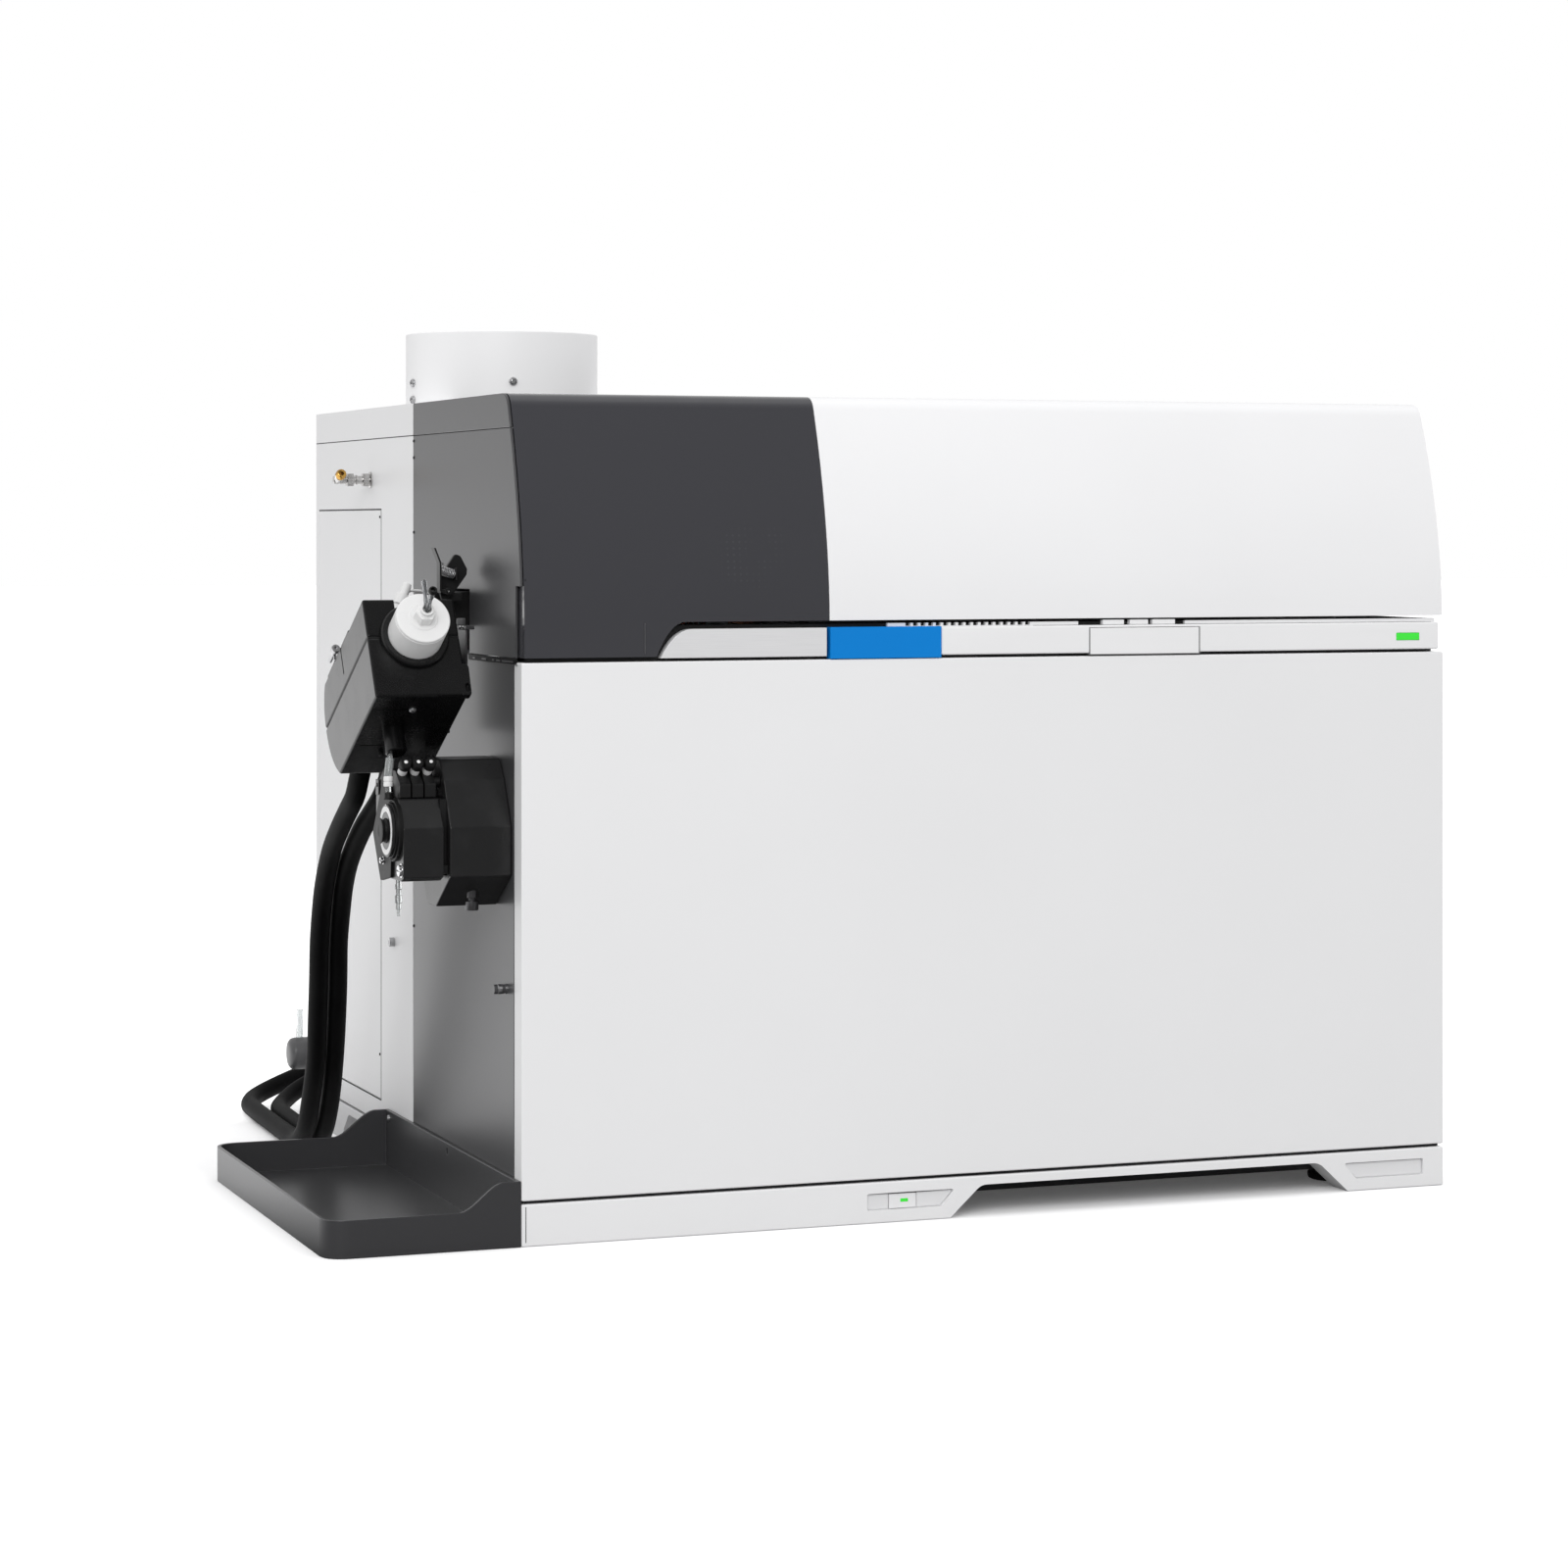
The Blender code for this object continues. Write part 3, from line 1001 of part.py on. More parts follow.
def make_covers(cab):
    """The smoked torch hood and the white analyser cover, hinged at the back."""
    hood_x = (THIN_SHEET + 2 * GAP, SPLIT_X - GAP)
    side_reach = COVER_WALL + OVERRUN
    hood, hood_knuckles = cover_shell(
        cab, "torch_hood", hood_x, HOOD_BOTTOM,
        [(FLANGE_WIDTH, (hood_x[0] - OVERRUN, hood_x[1] + OVERRUN))],
        (SMOKE, 0.15, 0.0))
    notch = [(NOTCH_LEFT, HOOD_BOTTOM - OVERRUN), (NOTCH_LEFT, HOOD_BOTTOM)]
    notch += bend(notch[-1], (NOTCH_LEFT + (NOTCH_ARC_X - NOTCH_LEFT) * 0.45, COVER_BOTTOM),
                  (NOTCH_ARC_X, COVER_BOTTOM), 8)
    notch += [(SPLIT_X + OVERRUN, COVER_BOTTOM), (SPLIT_X + OVERRUN, HOOD_BOTTOM - OVERRUN)]
    cab.cut(hood, prism(notch, "Y", -OVERRUN, FLANGE_WIDTH + OVERRUN))

    cover_x = (SPLIT_X + GAP, BODY_WIDTH)
    cover, cover_knuckles = cover_shell(
        cab, "analyser_cover", cover_x, COVER_BOTTOM,
        [(FLANGE_WIDTH, (cover_x[0] - OVERRUN, cover_x[0] + side_reach))], WHITE_PAINT)

    hinge = cab.piece("hinge_rod", rod("X", (0, HINGE_AXIS_Y, HINGE_AXIS_Z), HINGE_ROD_RADIUS,
                                       hood_x[0] + COVER_WALL, cover_x[1] - COVER_WALL - GAP,
                                       SMALL_STEPS), BARE_STEEL)
    for place in hood_knuckles[:-1] + cover_knuckles[:-1]:
        low = place + KNUCKLE_WIDTH / 2 + BRACKET_WIDTH
        cab.add(hinge, block((low, low + BRACKET_WIDTH),
                             (HINGE_AXIS_Y - HINGE_ROD_RADIUS, TOP_FRONT - GAP),
                             (HINGE_AXIS_Z - BRACKET_HEIGHT, HINGE_AXIS_Z + HINGE_ROD_RADIUS)))


def make_bulkhead(cab):
    """The wall between torch side and vacuum side, and the shielded box on it."""
    outline = [(BULKHEAD_FRONT, PANEL_BOTTOM), (BULKHEAD_FRONT, BULKHEAD_NOSE_Z),
               (BULKHEAD_NOSE_Y, BULKHEAD_TOP), (BULKHEAD_BACK, BULKHEAD_TOP),
               (BULKHEAD_BACK, PANEL_BOTTOM)]
    wall = cab.piece("centre_bulkhead", prism(outline, "X", BULKHEAD_X,
                                              BULKHEAD_X + BULKHEAD_THICKNESS), BARE_STEEL)
    axis = (0, ION_AXIS_Y, ION_AXIS_Z)
    cab.cut(wall, rod("X", axis, BEAM_RADIUS, BULKHEAD_X - OVERRUN,
                      BULKHEAD_X + BULKHEAD_THICKNESS + OVERRUN))

    box_x = (TORCH_BOX_LEFT, BULKHEAD_X - GAP)
    box_y = (TORCH_BOX_FRONT, TORCH_BOX_BACK)
    box_z = (TORCH_BOX_BOTTOM, TORCH_BOX_TOP)
    box = cab.piece("torch_box", block(box_x, box_y, box_z), BARE_STEEL)
    cab.cut(box, block((box_x[0] + THIN_SHEET, box_x[1] - THIN_SHEET),
                       (box_y[0] - OVERRUN, box_y[1] - THIN_SHEET),
                       (box_z[0] + THIN_SHEET, box_z[1] - THIN_SHEET)))
    cab.cut(box, rod("X", axis, TORCH_RADIUS + GAP, box_x[0] - OVERRUN, box_x[0] + OVERRUN))
    cab.cut(box, rod("X", axis, CONE_RADIUS + GAP, box_x[1] - OVERRUN, box_x[1] + OVERRUN,
                     FINE_STEPS))
    port = DUCT_PORT_WIDTH / 2
    cab.cut(box, block((COLLAR_X - port, COLLAR_X + port), (COLLAR_Y - port, COLLAR_Y + port),
                       (box_z[1] - OVERRUN, box_z[1] + OVERRUN)))

    torch_low = TORCH_BOX_LEFT
    step_out = TORCH_RADIUS * 0.35
    bore = TORCH_RADIUS - TORCH_WALL
    plug = torch_low + TORCH_PLUG_LENGTH
    cab.piece("torch", turned(
        [(0, torch_low), (TORCH_RADIUS - step_out, torch_low),
         (TORCH_RADIUS - step_out, torch_low + TORCH_PLUG_LENGTH / 2),
         (TORCH_RADIUS, torch_low + TORCH_PLUG_LENGTH / 2), (TORCH_RADIUS, TORCH_END),
         (bore, TORCH_END), (bore, plug), (TORCH_INJECTOR, plug),
         (TORCH_INJECTOR, TORCH_END - TORCH_RADIUS), (0, TORCH_END - TORCH_RADIUS)],
        "X", axis), CLEAR)

    flange = BULKHEAD_X - GAP
    cab.piece("sampler_cone", turned(
        [(0, flange), (CONE_RADIUS, flange), (CONE_RADIUS, flange - CONE_THICKNESS),
         (CONE_SHOULDER, flange - CONE_THICKNESS), (CONE_TIP_RADIUS, flange - CONE_TIP),
         (0, flange - CONE_TIP)], "X", axis, FINE_STEPS), (COPPER, 0.35, 0.9))


def tube_through(name, points, radius, frame, finish, resolution, closed_steps=None):
    """A tube along a list of points, as a bevelled curve with filled caps."""
    curve = bpy.data.curves.new(name, "CURVE")
    curve.dimensions = "3D"
    curve.bevel_depth = radius
    curve.bevel_resolution = resolution
    curve.use_fill_caps = True
    line = curve.splines.new("POLY")
    line.points.add(len(points) - 1)
    for place, point in zip(line.points, points):
        place.co = (*point, 1.0)
    line.use_smooth = True
    curve.materials.append(finish_material(name, *finish))
    item = bpy.data.objects.new(name, curve)
    bpy.context.scene.collection.objects.link(item)
    item.parent = frame
    return item


def least_self_gap(points, diameter, skip):
    """The least clear distance between stretches of one tube that aren't neighbours."""
    least = None
    for index, point in enumerate(points):
        for other in points[index + skip:]:
            clear = (Vector(point) - Vector(other)).length - diameter
            least = clear if least is None else min(least, clear)
    return least


def make_coil(frame):
    """The load coil round the torch, one unbroken tube whose ends stand on the box's floor."""
    floor = TORCH_BOX_BOTTOM + THIN_SHEET + GAP
    steps = 16
    points = [(COIL_START, ION_AXIS_Y, floor), (COIL_START, ION_AXIS_Y, floor + 2 * COIL_TUBE)]
    for step in range(COIL_TURNS * steps + 1):
        angle = math.tau * step / steps
        along = COIL_START + COIL_LENGTH * step / (COIL_TURNS * steps)
        points.append((along, ION_AXIS_Y + COIL_RADIUS * math.sin(angle),
                       ION_AXIS_Z - COIL_RADIUS * math.cos(angle)))
    end = COIL_START + COIL_LENGTH
    points += [(end, ION_AXIS_Y, floor + 2 * COIL_TUBE), (end, ION_AXIS_Y, floor)]
    tube_through("load_coil", points, COIL_TUBE, frame, (COPPER, 0.3, 1.0), 1)
    print("load coil least gap", round(least_self_gap(points[2:-2], 2 * COIL_TUBE, steps // 2), 5))


def make_vacuum(cab):
    """Vacuum chamber with its ion optics, over the turbo pump."""
    chamber = cab.piece("vacuum_chamber", block(CHAMBER_X, CHAMBER_Y, CHAMBER_Z), BARE_STEEL)
    soften(chamber, THIN_SHEET)
    inner = [(low + CHAMBER_WALL, high - CHAMBER_WALL)
             for low, high in (CHAMBER_X, CHAMBER_Y, CHAMBER_Z)]
    cab.cut(chamber, block(*inner))
    axis = (0, ION_AXIS_Y, ION_AXIS_Z)
    cab.cut(chamber, rod("X", axis, BEAM_RADIUS, CHAMBER_X[0] - OVERRUN,
                         CHAMBER_X[0] + CHAMBER_WALL + OVERRUN))
    throat_y = sum(CHAMBER_Y) / 2
    cab.cut(chamber, rod("Z", (PUMP_STACK_X, throat_y, 0), THROAT_RADIUS,
                         CHAMBER_Z[0] - OVERRUN, CHAMBER_Z[0] + CHAMBER_WALL + OVERRUN,
                         FINE_STEPS))

    floor = CHAMBER_Z[0] + CHAMBER_WALL + GAP
    side = (ION_AXIS_Y - OPTICS_WIDTH / 2, ION_AXIS_Y + OPTICS_WIDTH / 2)
    comb = [(LENS_X[0], floor), (LENS_X[1], floor), (LENS_X[1], floor + OPTICS_BASE)]
    pitch = (LENS_X[1] - LENS_X[0] - LENS_THICKNESS) / (LENS_COUNT - 1)
    for index in reversed(range(LENS_COUNT)):
        low = LENS_X[0] + index * pitch
        high = low + LENS_THICKNESS
        if index < LENS_COUNT - 1:
            comb.append((high, floor + OPTICS_BASE))
        comb += [(high, LENS_TOP), (low, LENS_TOP)]
        if index > 0:
            comb.append((low, floor + OPTICS_BASE))
    lenses = cab.piece("ion_lenses", prism(comb, "Y", side[0], side[1]), BARE_STEEL)
    cab.cut(lenses, rod("X", axis, LENS_BORE, LENS_X[0] - OVERRUN, LENS_X[1] + OVERRUN,
                        SMALL_STEPS))

    near, far = ROD_X[0] + COLLAR_PLATE_INSET, ROD_X[1] - COLLAR_PLATE_INSET - COLLAR_PLATE
    rods = cab.piece("quadrupole_rods", block((near, near + COLLAR_PLATE), side,
                                              (floor, LENS_TOP)), BARE_STEEL)
    cab.add(rods, block((far, far + COLLAR_PLATE), side, (floor, LENS_TOP)))
    for way_y, way_z in ((-1, -1), (-1, 1), (1, -1), (1, 1)):
        place = (0, ION_AXIS_Y + way_y * ROD_OFFSET, ION_AXIS_Z + way_z * ROD_OFFSET)
        cab.add(rods, rod("X", place, ROD_RADIUS, ROD_X[0], ROD_X[1], SMALL_STEPS))

    detector = cab.piece("detector", block(DETECTOR_X, side, (floor, LENS_TOP)), BARE_STEEL)
    soften(detector, THIN_SHEET)
    cab.cut(detector, rod("X", axis, LENS_BORE * 2, DETECTOR_X[0] - OVERRUN,
                          DETECTOR_X[0] + OVERRUN, SMALL_STEPS))

    top = CHAMBER_Z[0] - GAP
    flange = top - TURBO_FLANGE
    waist = flange - TURBO_FLANGE
    cab.piece("turbo_pump", turned(
        [(0, PANEL_BOTTOM), (TURBO_FOOT_RADIUS, PANEL_BOTTOM), (TURBO_FOOT_RADIUS, TURBO_BASE),
         (TURBO_RADIUS, TURBO_BASE), (TURBO_RADIUS, waist), (TURBO_NECK, waist),
         (TURBO_NECK, flange), (TURBO_RADIUS, flange), (TURBO_RADIUS, top),
         (THROAT_RADIUS, top), (THROAT_RADIUS, waist), (0, waist)],
        "Z", (PUMP_STACK_X, throat_y, 0), FINE_STEPS), BARE_STEEL)

    base = GENERATOR_TOP - FIN_HEIGHT
    fins = [(GENERATOR_X[0], PANEL_BOTTOM), (GENERATOR_X[1], PANEL_BOTTOM)]
    width = (GENERATOR_X[1] - GENERATOR_X[0]) / (2 * FIN_COUNT - 1)
    for index in reversed(range(FIN_COUNT)):
        low = GENERATOR_X[0] + 2 * index * width
        high = low + width
        if index < FIN_COUNT - 1:
            fins.append((high, base))
        fins += [(high, GENERATOR_TOP), (low, GENERATOR_TOP)]
        if index > 0:
            fins.append((low, base))
    cab.piece("rf_generator", prism(fins, "Y", GENERATOR_Y[0], GENERATOR_Y[1]), BARE_STEEL)


def make_tray(cab):
    """Spill tray hung beside the cabinet under the sample introduction."""
    right = -GAP
    x = (-TRAY_WIDTH, right)
    y = (0, TRAY_DEPTH)
    rounded = ("front_left", "back_left")
    tray = cab.piece("spill_tray", prism(rounded_plan(x, y, TRAY_CORNER, rounded), "Z",
                                         0, TRAY_HIGH), GREY_PAINT)
    low_x, high_x = TRAY_CURVE_X
    middle = ((low_x + high_x) / 2, (TRAY_LOW + TRAY_HIGH) / 2)
    rim = [(-TRAY_WIDTH - OVERRUN, TRAY_LOW), (low_x, TRAY_LOW)]
    rim += bend(rim[-1], ((low_x + middle[0]) / 2, TRAY_LOW), middle, 5)
    rim += bend(middle, ((high_x + middle[0]) / 2, TRAY_HIGH), (high_x, TRAY_HIGH), 5)
    rim += [(high_x, TRAY_HIGH + OVERRUN), (-TRAY_WIDTH - OVERRUN, TRAY_HIGH + OVERRUN)]
    cab.cut(tray, prism(rim, "Y", -OVERRUN, TRAY_DEPTH + OVERRUN))
    inside = rounded_plan((x[0] + TRAY_WALL, x[1] - TRAY_WALL),
                          (y[0] + TRAY_WALL, y[1] - TRAY_WALL), TRAY_CORNER - TRAY_WALL, rounded)
    cab.cut(tray, prism(inside, "Z", TRAY_WALL, TRAY_HIGH + OVERRUN))


def make_chamber_box(box):
    """Cooled box with the spray chamber in its bore, in the box's tilted frame."""
    back = [(BOX_LENGTH, BOX_HEIGHT)]
    bulge = (BOX_LENGTH + BOX_BULGE, BOX_SEAM)
    back += bend(back[-1], (bulge[0], BOX_SEAM + (BOX_HEIGHT - BOX_SEAM) * BOX_BULGE_SHARE),
                 bulge, 5)
    below = bend(bulge, (bulge[0], BOX_SEAM * (1 - BOX_BULGE_SHARE)), (BOX_FLOOR_LENGTH, 0), 7)
    axis = (BORE_X, 0, BOX_SEAM)

    lower = box.piece("chamber_lower_shell", prism(
        [(0, 0), (0, BOX_SEAM - GAP / 2), (bulge[0], BOX_SEAM - GAP / 2)] + below,
        "X", BOX_LEFT, BOX_RIGHT), BLACK_PLASTIC)
    upper = box.piece("chamber_upper_shell", prism(
        [(0, BOX_SEAM + GAP / 2), (0, BOX_HEIGHT)] + back[:-1]
        + [(bulge[0], BOX_SEAM + GAP / 2)], "X", BOX_LEFT, BOX_RIGHT), BLACK_PLASTIC)
    for shell in (lower, upper):
        soften(shell, EDGE_ROUND)
        box.cut(shell, rod("Y", axis, BORE_RADIUS, -OVERRUN, BORE_DEPTH, FINE_STEPS))
    box.add(lower, rod("Z", (BOSS_X, BOSS_ALONG, 0), BOSS_RADIUS, -BOSS_LENGTH, BOSS_ROOT))

    chamber_end = BORE_DEPTH - GAP
    glass = BORE_RADIUS - GAP
    box.piece("spray_chamber", turned(
        [(0, 0), (glass, 0), (glass, chamber_end - glass / 2), (glass * 0.7, chamber_end),
         (0, chamber_end)], "Y", axis, FINE_STEPS), CLEAR)
    box.piece("chamber_ring", turned(
        [(CAP_RADIUS + GAP, -GAP), (RING_RADIUS, -GAP), (RING_RADIUS, -RING_HEIGHT * 0.7),
         (RING_RADIUS - RING_HEIGHT * 0.3, -RING_HEIGHT), (CAP_RADIUS + GAP, -RING_HEIGHT)],
        "Y", axis, FINE_STEPS), BLACK_PLASTIC)
    front = -CAP_LENGTH
    cap = box.piece("end_cap", turned(
        [(0, -GAP), (CAP_RADIUS, -GAP), (CAP_RADIUS, front + CAP_RIM),
         (CAP_RADIUS - CAP_RIM, front), (0, front)], "Y", axis, FINE_STEPS), WHITE_PAINT)
    box.add(cap, turned([(0, front + CAP_RIM), (NUT_RADIUS, front + CAP_RIM),
                         (NUT_RADIUS, front - NUT_LENGTH), (0, front - NUT_LENGTH)],
                        "Y", axis, 6))
    nose = front - NUT_LENGTH
    box.add(cap, rod("Y", axis, NUT_COLLAR_RADIUS, nose - NUT_COLLAR_LENGTH, nose + CAP_RIM))
    tip = nose - NUT_COLLAR_LENGTH - GAP
    centre = (BORE_X, tip, BOX_SEAM)
    glass_tube = box.piece("nebulizer", rod("Y", axis, NEB_RADIUS, tip - NEB_LENGTH, tip,
                                            SMALL_STEPS), CLEAR)
    branch = rod("Y", axis, NEB_RADIUS * 0.8, tip - NEB_LENGTH, tip - NEB_RADIUS * 2, SMALL_STEPS)
    root = (BORE_X, tip - NEB_RADIUS * 2, BOX_SEAM)
    turn_shape(branch, -NEB_SPREAD * 2, "X", root)
    turn_shape(branch, NEB_SPREAD, "Z", centre)
    box.add(glass_tube, branch)


def make_torch_clamp(cab):
    """Bracket that carries the box and clamps the torch joint, with its sprung clip."""
    arm_x = (BOX_RIGHT + GAP, BLOCK_LEFT)
    clamp = cab.piece("clamp_block", block((arm_x[1] - GAP, TORCH_BOX_LEFT - GAP),
                                           (BLOCK_FRONT, BLOCK_BACK),
                                           (BLOCK_BOTTOM, BLOCK_TOP)), BLACK_PLASTIC)
    cab.add(clamp, block(arm_x, (ARM_FRONT + ARM_BACK - BLOCK_FRONT, ARM_BACK),
                         (ARM_BOTTOM, BLOCK_TOP)))
    cab.add(clamp, block(arm_x, (ARM_FRONT, ARM_BACK), (ARM_BOTTOM, ARM_BOTTOM + BLOCK_FRONT / 4)))
    bend_z = PIVOT_Z + PIVOT_EYE + THIN_SHEET
    upper = [(JAW_SEAT_X, bend_z), (JAW_SEAT_X, SPRING_Z + 2 * SPRING_COIL),
             (JAW_SEAT_X + SPRING_COIL, SPRING_Z + 4 * SPRING_COIL),
             (JAW_SEAT_X + 2 * SPRING_COIL, SPRING_Z + 3 * SPRING_COIL),
             (JAW_SEAT_X + 3 * SPRING_COIL, SPRING_Z), (JAW_SEAT_X + 2 * SPRING_COIL, bend_z)]
    lower = [(JAW_SEAT_X, bend_z + THIN_SHEET), (JAW_SEAT_X + SPRING_COIL, bend_z + THIN_SHEET),
             (BRIDGE_X[1], BRIDGE_BOTTOM), (PIVOT_X - PIVOT_EYE, BRIDGE_BOTTOM),
             (PIVOT_X - PIVOT_EYE, PIVOT_Z + PIVOT_EYE)]
    cab.add(clamp, prism(upper, "Y", JAW_FRONT, JAW_BACK))
    cab.add(clamp, prism(lower, "Y", JAW_MID, JAW_BACK - GAP))
    cab.add(clamp, block(BRIDGE_X, (JAW_MID + THIN_SHEET, BLOCK_FRONT + THIN_SHEET),
                         (BRIDGE_BOTTOM + GAP, BLOCK_TOP - GAP)))
    pivot = (PIVOT_X, 0, PIVOT_Z)
    cab.add(clamp, rod("Y", pivot, PIVOT_RADIUS, JAW_FRONT - GAP, JAW_MID + THIN_SHEET,
                       SMALL_STEPS))

    blade = BLADE_THICKNESS
    rest_x = JAW_SEAT_X - SPRING_SPAN
    low = PIVOT_Z
    bend_at = SPRING_Z + 2 * SPRING_COIL
    tip = bend_at + 3 * SPRING_COIL
    lean = SPRING_COIL * 1.2
    outline = [(rest_x - blade, low), (rest_x, low), (rest_x, bend_at), (rest_x - lean, tip),
               (rest_x - lean - blade, tip), (rest_x - blade, bend_at)]
    lever = cab.piece("clip_lever", prism(outline, "Y", JAW_FRONT, JAW_MID - GAP),
                      BLACK_PLASTIC, pivot=(PIVOT_X, JAW_FRONT, PIVOT_Z))
    cab.add(lever, block((rest_x - blade / 2, PIVOT_X), (JAW_FRONT + GAP, JAW_MID - 2 * GAP),
                         (PIVOT_Z - PIVOT_EYE / 2, PIVOT_Z + PIVOT_EYE / 2)))
    cab.add(lever, rod("Y", pivot, PIVOT_EYE, JAW_FRONT, JAW_MID - GAP, SMALL_STEPS))
    cab.cut(lever, rod("Y", pivot, PIVOT_RADIUS + PIVOT_CLEARANCE, JAW_FRONT - OVERRUN,
                       JAW_MID + OVERRUN, SMALL_STEPS))

    start = rest_x + GAP
    end = JAW_SEAT_X - GAP
    wire = 2 * SPRING_WIRE
    steps = 9
    points = [(start, SPRING_Y, SPRING_Z + SPRING_COIL)]
    span = end - start - 2 * wire
    for step in range(SPRING_TURNS * steps + 1):
        angle = math.tau * step / steps
        points.append((start + wire + span * step / (SPRING_TURNS * steps),
                       SPRING_Y + SPRING_COIL * math.sin(angle),
                       SPRING_Z + SPRING_COIL * math.cos(angle)))
    points.append((end, SPRING_Y, SPRING_Z + SPRING_COIL))
    tube_through("clip_spring", points, SPRING_WIRE, cab.frame, BARE_STEEL, 1)
    print("clip spring least gap", round(least_self_gap(points, wire, steps // 2), 5))


def make_pump(cab):
    """Peristaltic pump on the cabinet's side, with three tube clamps."""
    marks = [(PUMP_FRONT + (HOUSING_BACK - PUMP_FRONT) * share_y,
              HOUSING_BOTTOM + (HOUSING_TOP - HOUSING_BOTTOM) * share_z)
             for share_y, share_z in HOUSING_SHARES]
    housing = marks[:5] + bend(marks[4], marks[5], marks[6], 6)
    housing += bend(marks[6], marks[7], marks[8], 2) + marks[9:]
    motor = cab.piece("pump_motor_housing", prism(housing, "X", HOUSING_LEFT, -GAP),
                      BLACK_PLASTIC)
    soften(motor, EDGE_ROUND)
    cab.add(motor, rod("Z", (THUMB_X, THUMB_Y, 0), THUMB_RADIUS, HOUSING_BOTTOM - THUMB_REACH,
                       HOUSING_BOTTOM - THUMB_REACH + THUMB_LENGTH, SMALL_STEPS))

    axis = (0, PUMP_AXIS_Y, PUMP_AXIS_Z)
    outline = [(PUMP_FRONT, PUMP_FACE[0]), (PUMP_FRONT, PUMP_FACE[1]),
               (HEAD_SHOULDER_Y, HEAD_TOP), (HEAD_BACK, HEAD_TOP),
               (HEAD_BACK, HEAD_BOTTOM + HEAD_BACK_RISE),
               (HEAD_BACK - HEAD_BACK_CHAMFER, HEAD_BOTTOM),
               (PUMP_FRONT + HEAD_FRONT_CHAMFER, HEAD_BOTTOM)]
    head = cab.piece("pump_head", prism(outline, "X", HEAD_LEFT, HEAD_RIGHT), BLACK_PLASTIC)
    cab.add(head, block((HEAD_RIGHT - SHEET, HOUSING_LEFT - GAP),
                        (PUMP_AXIS_Y - DRUM_CAVITY, HEAD_BACK - HEAD_BACK_CHAMFER),
                        (PUMP_AXIS_Z - DISC_RADIUS, PUMP_AXIS_Z + DRUM_RADIUS)))
    plate = [(PUMP_AXIS_Y + PLATE_REACH * share_y, PUMP_AXIS_Z + PLATE_REACH * share_z)
             for share_y, share_z in PLATE_SHARES]
    cab.add(head, prism(plate, "X", HEAD_LEFT - PLATE_THICKNESS, HEAD_LEFT + PLATE_THICKNESS / 2))
    disc_left = HEAD_LEFT - PLATE_THICKNESS - DISC_THICKNESS
    cab.add(head, rod("X", axis, DISC_RADIUS, disc_left, HEAD_LEFT + PLATE_THICKNESS / 2,
                      FINE_STEPS))
    ear_y = (CLAMP_PIVOT_Y - CLAMP_EYE, CLAMP_PIVOT_Y + CLAMP_EYE)
    reach = CLAMP_PITCH + CLAMP_WIDTH / 2 + GAP
    for low in (CLAMP_MIDDLE_X - reach - EAR_THICKNESS, CLAMP_MIDDLE_X + reach):
        cab.add(head, block((low, low + EAR_THICKNESS), ear_y,
                            (HEAD_TOP - EAR_THICKNESS, CLAMP_PIVOT_Z + CLAMP_EYE)))
    pivot = (0, CLAMP_PIVOT_Y, CLAMP_PIVOT_Z)
    cab.add(head, rod("X", pivot, CLAMP_PIN_RADIUS, CLAMP_MIDDLE_X - reach - EAR_THICKNESS / 2,
                      CLAMP_MIDDLE_X + reach + EAR_THICKNESS / 2, SMALL_STEPS))
    cab.add(head, rod("Z", (TAIL_X, TAIL_Y, 0), DRAIN_RADIUS, TAIL_END, PUMP_FACE[0],
                      SMALL_STEPS))
    drum_x = (HEAD_LEFT + DRUM_END_WALL, HEAD_RIGHT - DRUM_END_WALL)
    cab.cut(head, rod("X", axis, DRUM_CAVITY, drum_x[0], drum_x[1], FINE_STEPS))
    cab.cut(head, block(drum_x, (HEAD_SHOULDER_Y + THIN_SHEET, PUMP_AXIS_Y + DRUM_RADIUS),
                        (PUMP_AXIS_Z, HEAD_TOP + SHEET / 2)))
    cab.cut(head, rod("X", axis, SHAFT_RADIUS + GAP, disc_left - OVERRUN,
                      HOUSING_LEFT - GAP + OVERRUN))

    scallops = []
    for step in range(ROLLER_COUNT * 4):
        angle = math.tau * step / (ROLLER_COUNT * 4)
        radius = DRUM_RADIUS * (0.90 + 0.10 * math.cos(angle * ROLLER_COUNT))
        scallops.append((PUMP_AXIS_Y + radius * math.cos(angle),
                         PUMP_AXIS_Z + radius * math.sin(angle)))
    rotor = cab.piece("pump_rotor", prism(scallops, "X", drum_x[0] + GAP, drum_x[1] - GAP),
                      BLACK_PLASTIC, pivot=(HEAD_LEFT, PUMP_AXIS_Y, PUMP_AXIS_Z))
    ring_right = disc_left - GAP
    ring_left = ring_right - RING_DISC_THICKNESS
    cab.add(rotor, rod("X", axis, SHAFT_RADIUS, ring_left, HOUSING_LEFT - 2 * GAP, SMALL_STEPS))
    cab.add(rotor, rod("X", axis, RING_DISC_RADIUS, ring_left, ring_right, FINE_STEPS))
    cab.add(rotor, rod("X", axis, KNOB_RADIUS, ring_left - KNOB_LENGTH, ring_right - GAP))

    names = ("pump_clamp_outer", "pump_clamp_middle", "pump_clamp_inner")
    for index, name in enumerate(names):
        centre_x = CLAMP_MIDDLE_X + (index - 1) * CLAMP_PITCH
        make_pump_clamp(cab, name, centre_x)


